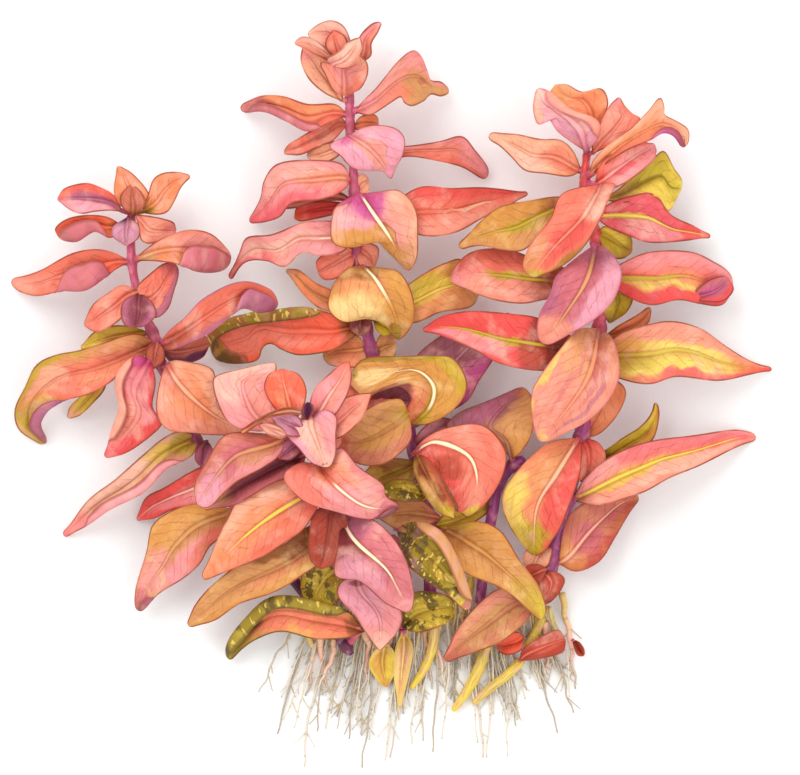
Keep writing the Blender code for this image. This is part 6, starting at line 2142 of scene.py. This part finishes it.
    Blade("tall_leaf_31", FRONT, "ochre", (81.4, 82.4), (67.4, 88.2),
        [(80, 79.8), (75.2, 80.7), (71.6, 83.2), (68.8, 85.6)],
        [(82.4, 87), (80.8, 90), (76.8, 92.8), (72.4, 93), (69, 91)],
        BladeFinish(OLIVE_GOLD, TAN, SALMON, one=TAN, other=ROSEWOOD, rib=BROWN, rib_share=0.4,
            bloom=BUTTER, patches=(
                Patch(0.5, 0.1, 0.25, 0.3, OCHRE, 0.7), Patch(0.9, 0, 0.1, 0.8, BRICK, 0.6),
                Patch(0.3, -0.4, 0.2, 0.3, BROWN, 0.5))),
        arch=2.6, drop=0.2, rise=3.6),
    Blade("tall_leaf_38", FRONT, "salmon", (77.6, 76.4), (66.6, 92),
        [(72, 74.6), (68.4, 79), (66.6, 84), (65.4, 89)],
        [(78.6, 80), (76.6, 84.6), (73.2, 88.6), (69.4, 91.8)],
        BladeFinish(HOT_PINK, SALMON, CORAL, one=CORAL, rib=BRICK, rib_share=0.4, patches=(
            Patch(0.2, 0.2, 0.2, 0.6, HOT_PINK, 0.7), Patch(0.75, 0.6, 0.25, 0.4, TAN, 0.6))),
        arch=2.4, drop=3, rise=0.8),
    Blade("tall_leaf_33", SIDE, "mauve", (86, 84), (102, 62.6),
        [(82.6, 76), (83, 71.6), (87.4, 67.6), (93, 64.4)], [(93, 80.6), (96, 76), (98.6, 72), (101, 67)],
        BladeFinish(MAUVE, MAUVE, MAUVE, one=MAUVE_BROWN, other=MAGENTA, rib=LILAC, rib_share=0.3, patches=(
            Patch(0.6, 0, 0.4, 0.5, MAUVE_BROWN, 0.6),)),
        drop=-3.6, rise=-2.4),
    Blade("tall_leaf_39", FRONT, "ochre", (83.6, 92.4), (73.4, 97.4),
        [(80, 91.6), (76, 92), (73, 94.4)], [(82.8, 96.4), (79, 98.4), (75.4, 98.4)],
        BladeFinish(OLIVE, BROWN, OCHRE, rib=BROWN, bloom=GOLD, patches=(
            Patch(0.5, 0.2, 0.3, 0.5, OLIVE_GOLD, 0.6),)),
        arch=1.2, drop=-0.4, rise=1),
    Blade("tall_leaf_40", FRONT, "olive", (87, 99.8), (75.8, 98.2),
        [(83.6, 96.5), (79.6, 95.7), (77, 96.6)], [(82.8, 100.4), (78.4, 100)],
        BladeFinish(OLIVE_GOLD, OLIVE, DARK_OLIVE, rib=OLIVE, rib_share=0.2, mottle=DARK_OLIVE, bloom=GOLD,
            patches=(
                Patch(0.5, 0.8, 0.5, 0.4, DARK_OLIVE, 0.7), Patch(0.4, -0.3, 0.3, 0.3, GOLD, 0.5))),
        arch=1.6, drop=0.4, rise=3.2),
    Blade("tall_leaf_41", FRONT, "ochre", (88.4, 103.6), (75.8, 103.6),
        [(84.4, 100), (80.4, 99.4), (77.2, 101.2)], [(84.4, 105.6), (79.2, 105.8)],
        BladeFinish(ROSEWOOD, TAN, ROSEWOOD, rib=TAN, rib_share=0.3, bloom=BUTTER, patches=(
            Patch(0.5, 0.2, 0.3, 0.5, TAN, 0.7),)),
        arch=1, drop=-1, rise=0.4),
    Blade("tall_leaf_42", FRONT, "ochre", (83.2, 90.4), (90.8, 103.6),
        [(86.2, 92.2), (88.8, 96.8), (90.8, 101)], [(82.6, 93.8), (84.6, 98.4), (87.6, 102.4)],
        BladeFinish(BROWN, TAN, GOLD, one=BRICK, other=OLIVE, rib=BROWN, rib_share=0.5, bloom=BUTTER,
            patches=(
                Patch(0.3, 0.2, 0.14, 0.5, CHESTNUT, 0.9), Patch(0.6, -0.3, 0.14, 0.4, CHESTNUT, 0.8),
                Patch(0.45, 0.5, 0.12, 0.4, TAN, 0.8), Patch(0.9, 0, 0.1, 1, OLIVE_GOLD, 0.8))),
        arch=1.8, drop=2.6, rise=4.4),
    Blade("tall_leaf_43", SIDE, "olive", (80.2, 125.6), (91, 121.6),
        [(80.4, 120.4), (83, 118.4), (87, 118.4), (90, 119.6)], [(83.4, 126.6), (87.4, 125.6), (90.4, 124)],
        BladeFinish(DARK_OLIVE, OLIVE_GOLD, OLIVE, rib=OLIVE, rib_share=0.2, mottle=DARK_OLIVE, bloom=GOLD,
            patches=(
                Patch(0.5, 0.2, 0.3, 0.5, GOLD, 0.6), Patch(0.4, -0.9, 0.4, 0.3, DARK_OLIVE, 0.8))),
        drop=-0.2, rise=1.6),
    Blade("right_leaf_2", FRONT, "coral", (118.2, 27.6), (111, 17),
        [(114.8, 24.2), (111.6, 21.6), (109.8, 19.2)],
        [(120.4, 24.4), (121.6, 20.6), (120.2, 17.8), (116.4, 18.4), (113.4, 17)],
        BladeFinish(ORANGE, ORANGE, PEACH, rib=CORAL, rib_share=0.3, patches=(
            Patch(0.85, -0.2, 0.2, 0.8, OCHRE, 0.5),)),
        drop=1.6, rise=-0.4),
    Blade("right_leaf_3", FRONT, "coral", (118.2, 31), (123.8, 19.6),
        [(118.6, 27.4), (120.4, 23.8), (122, 21)],
        [(122.8, 28.8), (125.8, 26.6), (128, 24), (126.3, 22.7), (124.9, 21.3)],
        BladeFinish(SALMON, SALMON, PINK, other=CORAL, rib=CORAL, rib_share=0.5),
        drop=2.4, rise=0.2),
    Blade("right_leaf_5", FRONT, "pink", (118.8, 37), (130.8, 28.8),
        [(119.8, 33.2), (122.4, 30.6), (126.4, 28.4)],
        [(122.4, 37.8), (126.4, 35.8), (130.4, 32.4), (131.2, 30.4)],
        BladeFinish(RED, PINK, PINK, one=CORAL, rib=BLUSH, rib_share=0.4, patches=(
            Patch(0.5, 0.2, 0.25, 0.3, HOT_PINK, 0.8),)),
        drop=-1, rise=0.8),
    Blade("right_leaf_6", SIDE, "olive", (119.4, 39.8), (136.2, 38),
        [(123.4, 38), (127, 34.6), (130.4, 31.8), (132.8, 30.2), (134.8, 33.6), (136.4, 36)],
        [(124.4, 40.6), (128, 39.8), (131.4, 39.6), (133.8, 42.2)],
        BladeFinish(GOLD, OLIVE_GOLD, GOLD, other=YELLOW, rib=DARK_OLIVE, rib_share=0.6, bloom=BUTTER,
            patches=(
                Patch(0.4, -0.4, 0.28, 0.6, OLIVE_GOLD, 0.8), Patch(0.3, -0.2, 0.12, 0.3, OLIVE, 0.7),
                Patch(0.6, 0.6, 0.2, 0.4, GOLD, 0.8), Patch(0.9, 0.3, 0.15, 0.6, OLIVE_GOLD, 0.6))),
        arch=2.6, drop=-3.6, rise=-0.6),
    Blade("right_leaf_11", SIDE, "olive", (119.2, 46.4), (126.4, 50.4),
        [(121, 45.2), (124, 45.6), (126.2, 47.4)], [(120.6, 49.4), (122.8, 51.6), (124.8, 51.6)],
        BladeFinish(OLIVE_GOLD, OLIVE_GOLD, OCHRE, rib=OLIVE, bloom=GOLD, patches=(
            Patch(0.4, -0.5, 0.3, 0.5, GOLD, 0.8),)),
        arch=1.2, drop=-1.6, rise=-0.4),
    Blade("right_leaf_15", SIDE, "olive", (120.6, 57.4), (122, 64.6),
        [(124, 57), (126.6, 59), (125.4, 62.4)], [(120.8, 60.6), (120.6, 62.8)],
        BladeFinish(BROWN, OLIVE_GOLD, OLIVE, rib=BROWN, bloom=GOLD),
        arch=1.2, drop=-2, rise=-0.6),
    Blade("right_leaf_16", SIDE, "ochre", (120.6, 67.4), (130.2, 61.6),
        [(123.4, 65.2), (126.6, 63.4), (129.2, 61.8)], [(124, 67.8), (127.6, 66.4), (129.8, 64.4)],
        BladeFinish(TAN, ORANGE, ORANGE, rib=BROWN, rib_share=0.4),
        arch=1.4, drop=-2.6, rise=0.6),
    Blade("right_leaf_20", SIDE, "coral", (118.4, 74.6), (116.2, 88),
        [(122.4, 75.4), (125.2, 78.2), (123.8, 82.6), (120.2, 86.6)],
        [(116.8, 78.4), (115.6, 83), (115, 86.4)],
        BladeFinish(ORANGE, ORANGE, BRICK, one=ORANGE, other=BRICK, rib=BRICK, rib_share=0.4),
        arch=1.8, drop=-2, rise=-1),
    Blade("right_leaf_22", SIDE, "red", (116.4, 87.6), (117.4, 97.4),
        [(119.6, 88.4), (121.2, 91.4), (119.8, 95.4)], [(115, 90.6), (114.8, 94.6)],
        BladeFinish(RED, CORAL, CORAL, rib=RED),
        arch=1.6, drop=-1, rise=0.4),
    Blade("right_leaf_27", SIDE, "coral", (110.8, 108.4), (107, 114),
        [(107, 108.6), (104.8, 110.8), (105, 113)], [(110.4, 111.4), (109.4, 113.4)],
        BladeFinish(SALMON, PEACH, SALMON, rib=PEACH),
        arch=0.8, drop=-0.6),
    Blade("right_leaf_24", SIDE, "olive", (116.8, 92), (131.3, 80.6),
        [(121, 90), (124.4, 87.6), (127.6, 85.6), (129.8, 83.4)],
        [(121.4, 93.4), (126.4, 91), (130.6, 88), (131.9, 83.4)],
        BladeFinish(OLIVE, OLIVE_GOLD, GOLD, other=OCHRE, rib=OLIVE, rib_share=0.4, bloom=GOLD, patches=(
            Patch(0.5, 0.3, 0.25, 0.4, OCHRE, 0.8),)),
        arch=1.8, drop=-2, rise=-0.4),
    Blade("right_leaf_28", SIDE, "red", (104.8, 127.4), (99.3, 128.9),
        [(103.4, 126.4), (101, 127)], [(104.4, 130), (101.9, 131.1), (100, 130.5)],
        BladeFinish(FLAME, FLAME, CORAL, rib=FLAME),
        arch=1, drop=-1.4, rise=-0.4),
    Blade("right_leaf_29", SIDE, "red", (103.8, 132.4), (113.2, 128.2),
        [(104.8, 129.6), (108.8, 127), (111.8, 126.1)], [(108, 131.9), (112.5, 130.6)],
        BladeFinish(BRICK, BRICK, BRICK, rib=CORAL, rib_share=0.4, patches=(
            Patch(0.5, 0, 0.3, 0.5, CORAL, 0.5),)),
        arch=1.2, drop=-1.6, rise=-0.6),
    Blade("right_leaf_30", SIDE, "red", (114.6, 128.1), (116.9, 131.3),
        [(115.9, 128.5), (116.8, 129.9)], [(114.9, 129.7), (115.7, 131.1)],
        BladeFinish(BRICK, BRICK, BRICK, rib=BRICK),
        arch=0.5, drop=-0.6, rise=-2.4),
    Blade("right_leaf_31", FRONT, "red", (108.6, 114.8), (108.6, 121),
        [(111, 114.3), (113, 115.8), (112.2, 118.2), (110.2, 120.4)], [(107.7, 117), (107.7, 119.4)],
        BladeFinish(BRICK, BRICK, BRICK, rib=CORAL, rib_share=0.4, patches=(
            Patch(0.5, 0, 0.3, 0.6, CORAL, 0.4),)),
        arch=1.2, drop=-1.4, rise=0.2),
    Blade("right_leaf_32", FRONT, "mauve", (109.6, 113.8), (104.6, 116.4),
        [(107.6, 112.8), (105.2, 113.4)], [(108.2, 116.4), (106, 117.4)],
        BladeFinish(ROSEWOOD, BRICK, ROSEWOOD, rib=ROSEWOOD),
        arch=1, drop=-0.6, rise=0.6),
    Blade("front_leaf_2", FRONT, "coral", (58.6, 84.8), (56.4, 73.8),
        [(55, 81.6), (53, 78), (53.8, 75)], [(60.8, 81.6), (61.4, 77.8), (59.8, 74.8)],
        BladeFinish(CORAL, FLAME, CORAL, rib=ORANGE, rib_share=0.5, patches=(
            Patch(0.35, -0.3, 0.25, 0.4, ORANGE, 0.7),)),
        drop=-1.4, rise=-0.4),
    Blade("front_leaf_3", FRONT, "coral", (61.8, 84.6), (69.8, 72.4),
        [(62, 80.6), (63.2, 77.4), (65.6, 75), (68, 73)], [(66.4, 83.6), (69.2, 79.8), (70.4, 75.8)],
        BladeFinish(HOT_PINK, PINK, CORAL, rib=BLUSH, rib_share=0.5, patches=(
            Patch(0.6, 0.3, 0.3, 0.4, SALMON, 0.7),)),
        drop=-2.6, rise=-0.8),
    Blade("front_leaf_4", FRONT, "salmon", (63.6, 87.2), (74.2, 78.8),
        [(65.4, 83.2), (68.6, 79.8), (71.6, 78.8)], [(67.4, 87.8), (70.8, 85.6), (73.2, 82.4)],
        BladeFinish(CORAL, SALMON, SALMON, rib=CORAL, rib_share=0.4, patches=(
            Patch(0.5, -0.4, 0.3, 0.4, HOT_PINK, 0.4),)),
        arch=2.4, drop=-3),
    Blade("front_leaf_15", FRONT, "mauve", (61.2, 86.4), (54.6, 83.4),
        [(59.8, 83.2), (57, 82.4)], [(59.6, 87.4), (56.6, 86.6)],
        BladeFinish(MAUVE, LILAC, LILAC, one=LILAC, rib=MAUVE, rib_share=0.3, bloom=LILAC, patches=(
            Patch(0.2, 0.2, 0.3, 0.8, MAUVE, 0.8),)),
        arch=1.4, drop=-0.4, rise=1.8),
    Blade("front_leaf_17", FRONT, "mauve", (61.4, 84.2), (61.8, 80.4),
        [(60.6, 82.6), (60.8, 81)], [(62.8, 82.6), (62.8, 81.2)],
        BladeFinish(PLUM, PLUM, PLUM, rib=PLUM),
        arch=0.8, drop=0.2, rise=2.2),
    Blade("front_leaf_7", SIDE, "mauve", (61.4, 90.6), (41, 101.8),
        [(57, 89.6), (51, 92.6), (45, 96.4)], [(60, 94), (54, 97), (47, 101)],
        BladeFinish(MAROON, MAROON, TAN, other=ROSE, rib=PLUM, rib_share=0.5, patches=(
            Patch(0.3, 0, 0.3, 0.5, MAROON, 0.8), Patch(0.6, -0.8, 0.3, 0.3, STRAW, 0.6))),
        arch=1.4, drop=-6, rise=-1.6),
    Blade("front_leaf_11", FRONT, "mauve", (66.6, 100.4), (64, 113.8),
        [(62.8, 102.4), (61.8, 107.4), (62, 111.6)], [(69.6, 103.6), (69.2, 108.4), (67.4, 112.4)],
        BladeFinish(MAROON, BRICK, BRICK, rib=MAROON, patches=(
            Patch(0.6, 0.3, 0.3, 0.5, ROSEWOOD, 0.4),)),
        arch=1.4, drop=-2),
    Blade("front_leaf_13", FRONT, "pink", (71.6, 114.4), (75.9, 130.2),
        [(68, 116.6), (67.6, 119.4), (71, 123.2), (73.6, 127.2)],
        [(74.4, 116), (79.2, 120.2), (80.5, 123.6), (79, 127.2)],
        BladeFinish(ROSE, PINK, BLUSH, rib=BLUSH, rib_share=0.15, bloom=COOL_PINK, patches=(
            Patch(0.35, -0.3, 0.3, 0.8, COOL_PINK, 0.8), Patch(0.2, 0, 0.05, 0.6, MAROON, 0.7),
            Patch(0.06, 0.3, 0.08, 0.8, MAROON, 0.8), Patch(0.8, 0, 0.04, 0.06, CREAM, 0.7))),
        drop=-3, rise=0.8),
    Blade("front_leaf_18", SIDE, "olive", (68.8, 113.6), (62, 121.8),
        [(65.8, 111.6), (61.4, 112.8), (60, 117.6)], [(68.6, 118), (66.4, 121.4), (63.8, 122.6)],
        BladeFinish(OLIVE, OLIVE_GOLD, GOLD, rib=GOLD, rib_share=0.4, mottle=DARK_OLIVE, bloom=GOLD,
            patches=(
                Patch(0.5, -0.2, 0.25, 0.5, GOLD, 0.7),)),
        arch=1.2, drop=-1.6, rise=-0.4),
    Blade("front_leaf_19", FRONT, "coral", (61.6, 83), (48.4, 86.5),
        [(59, 81.5), (55.6, 81.9), (51.2, 84)], [(57.6, 82.9), (53.8, 83.7), (50.6, 85.7)],
        BladeFinish(BLUSH, PEACH, ORANGE, rib=CREAM, rib_share=0.4),
        arch=1.6, drop=-2, rise=2.6),
    Blade("left_leaf_25", FRONT, "mauve", (41.4, 88), (40.4, 93.6),
        [(39.4, 89.6), (39, 91.8)], [(42.6, 90), (41.9, 92.6)],
        BladeFinish(PLUM, MAUVE, MAUVE, rib=PLUM, rib_share=0.4, patches=(
            Patch(0.1, 0, 0.14, 1, PLUM, 0.9),)),
        arch=0.8, drop=-0.4, rise=0.4),
    Blade("front_leaf_20", SIDE, "mauve", (74.4, 119), (80.6, 108.6),
        [(74, 114), (75.8, 109.6), (78.4, 107)], [(77.6, 117), (80.4, 113)],
        BladeFinish(ROSEWOOD, MAUVE_BROWN, ROSE, rib=ROSE, rib_share=0.3, bloom=GOLD),
        arch=1, drop=-1, rise=-1.6),
    Blade("front_leaf_21", SIDE, "ochre", (77, 128.6), (77.4, 137.6),
        [(74.6, 130.6), (73.8, 133.4), (75.8, 136.6)], [(78.8, 130.4), (79, 134.4)],
        BladeFinish(BUTTER, GOLD, OCHRE, rib=STRAW, rim=STRAW, bloom=GOLD, patches=(
            Patch(0.5, -0.3, 0.3, 0.5, OCHRE, 0.7),)),
        arch=0.4, drop=-1, rise=-2),
    Blade("front_leaf_22", SIDE, "ochre", (80.6, 126), (80, 141.6),
        [(79, 130), (78.8, 136)], [(82.6, 129.6), (81.6, 136)],
        BladeFinish(GOLD, BUTTER, BUTTER, rib=BUTTER, rim=STRAW),
        arch=0.4, drop=-0.6, rise=-2.2),
    Blade("front_leaf_23", FRONT, "salmon", (57.8, 87), (52, 84.9),
        [(56.2, 85.2), (53.8, 84.4)], [(56.2, 87.7), (53.6, 86.7)],
        BladeFinish(BLUSH, BLUSH, PINK, rib=PINK, rib_share=0.3),
        arch=0.8, rise=3),
    # A dark blade laid in the hollow under tall_leaf_30: its dark tones are painted shade.
    Blade("tall_leaf_44", FRONT, "mauve", (73.4, 83), (82.4, 80.8),
        [(74.6, 79.4), (78.4, 76.6), (81.6, 77.6)], [(77.2, 84.2), (80.8, 83.6)],
        BladeFinish(ROSEWOOD, MAROON, MAUVE, rib=MAROON, rib_share=0.3, bloom=ROSE, patches=(
            Patch(0.8, 0.5, 0.2, 0.5, ROSE, 0.6),)),
        arch=1, rise=2.4),
    Blade("tall_leaf_45", SIDE, "olive", (86.4, 105.4), (100, 100),
        [(89, 102.8), (94, 101)], [(91, 106.2), (96.4, 103.6)],
        BladeFinish(OLIVE_GOLD, GOLD, GOLD, rib=STRAW, rib_share=0.3, bloom=GOLD),
        arch=1, drop=-0.6, rise=0.6),
    Blade("tall_leaf_46", SIDE, "mauve", (82.6, 90.2), (90.8, 84),
        [(83.6, 86.6), (87.4, 83.6)], [(86.4, 89.4), (90.2, 86.6)],
        BladeFinish(ROSE, COOL_PINK, MAUVE, rib=MAUVE, rib_share=0.3),
        arch=0.8, drop=-0.6, rise=0.6),
    Blade("right_leaf_14_curl", SIDE, "mauve", (138, 59.8), (145.4, 55.2),
        [(139.4, 57.8), (142.2, 55.8)], [(141.4, 60.4), (144.8, 60.2), (146.8, 57.8)],
        BladeFinish(MAUVE, MAUVE, ROSE, one=ROSE, other=RED, rib=MAUVE, rib_share=0.3, rim=MAROON,
            bloom=ROSE, patches=(
                Patch(0.45, -0.2, 0.25, 0.4, MAGENTA, 0.6), Patch(0.6, 0.9, 0.25, 0.35, RED, 0.8))),
        arch=0.6, drop=-3.4, rise=-1.6),
    Blade("front_leaf_24", FRONT, "mauve", (60.6, 87.6), (55.8, 91.6),
        [(58.4, 87.6), (56, 89.4)], [(60.4, 89.8), (58.2, 91.8)],
        BladeFinish(PLUM, MAUVE, ROSE, rib=MAUVE, rib_share=0.3),
        arch=0.8, drop=-0.6, rise=-1),
]

FANS = [
    RootFan(
        "roots_left", [(62, 120), (70, 119), (78, 120), (86, 120)],
        [(51.6, 138.6), (55.4, 147), (60.8, 153.6), (67.4, 146), (69.8, 148), (72.4, 153.8), (77, 152.4),
         (78, 151.8), (80.6, 143), (82.4, 149), (84.6, 148.4)],
        34, 5,
        [((61.4, 126), (61, 139.4)), ((64, 126.4), (66.4, 140.6)), ((67, 127), (63.4, 137.8)),
         ((72.6, 126), (71.8, 139)), ((78.6, 122), (76.6, 133)), ((84.6, 122), (86.4, 138))]),
    RootFan(
        "roots_right", [(88, 120), (96, 119.6), (104, 120.4), (110, 121.4)],
        [(86.6, 150.6), (88.4, 148), (91, 142), (96.6, 151.8), (97.4, 151.8), (101.6, 151.6), (104, 144),
         (108.4, 138), (111.6, 146.8), (113.2, 138), (114.8, 142.8)],
        36, 11,
        [((88, 122), (89.4, 137.6)), ((91.6, 119), (91.4, 134.6)), ((109, 124.6), (108, 138)),
         ((112.4, 118.6), (115.2, 138))]),
]


def main() -> None:
    """Build the stems, the blades, the roots and the studio, in that order."""
    logging.basicConfig(level=logging.INFO, format="%(name)s: %(message)s")
    for name, shoot in SHOOTS.items():
        bases = [blade.base for blade in (*LAID, *SMALL) if blade.stem == name]
        item = shoot.build(name, bases)
        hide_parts(name)
        LOG.info("%s: a stem with %d blades", name, len(bases))
    Leaves(SHOOTS, LAID, SMALL).build()
    for fan in FANS:
        fan.build()
        LOG.info("%s: a fan of fine roots", fan.node)
    for name, strand in STRANDS.items():
        strand.build(name, [])
        LOG.info("%s: an old leafless stalk", name)
    Studio().build()


if __name__ == "__main__":
    main()
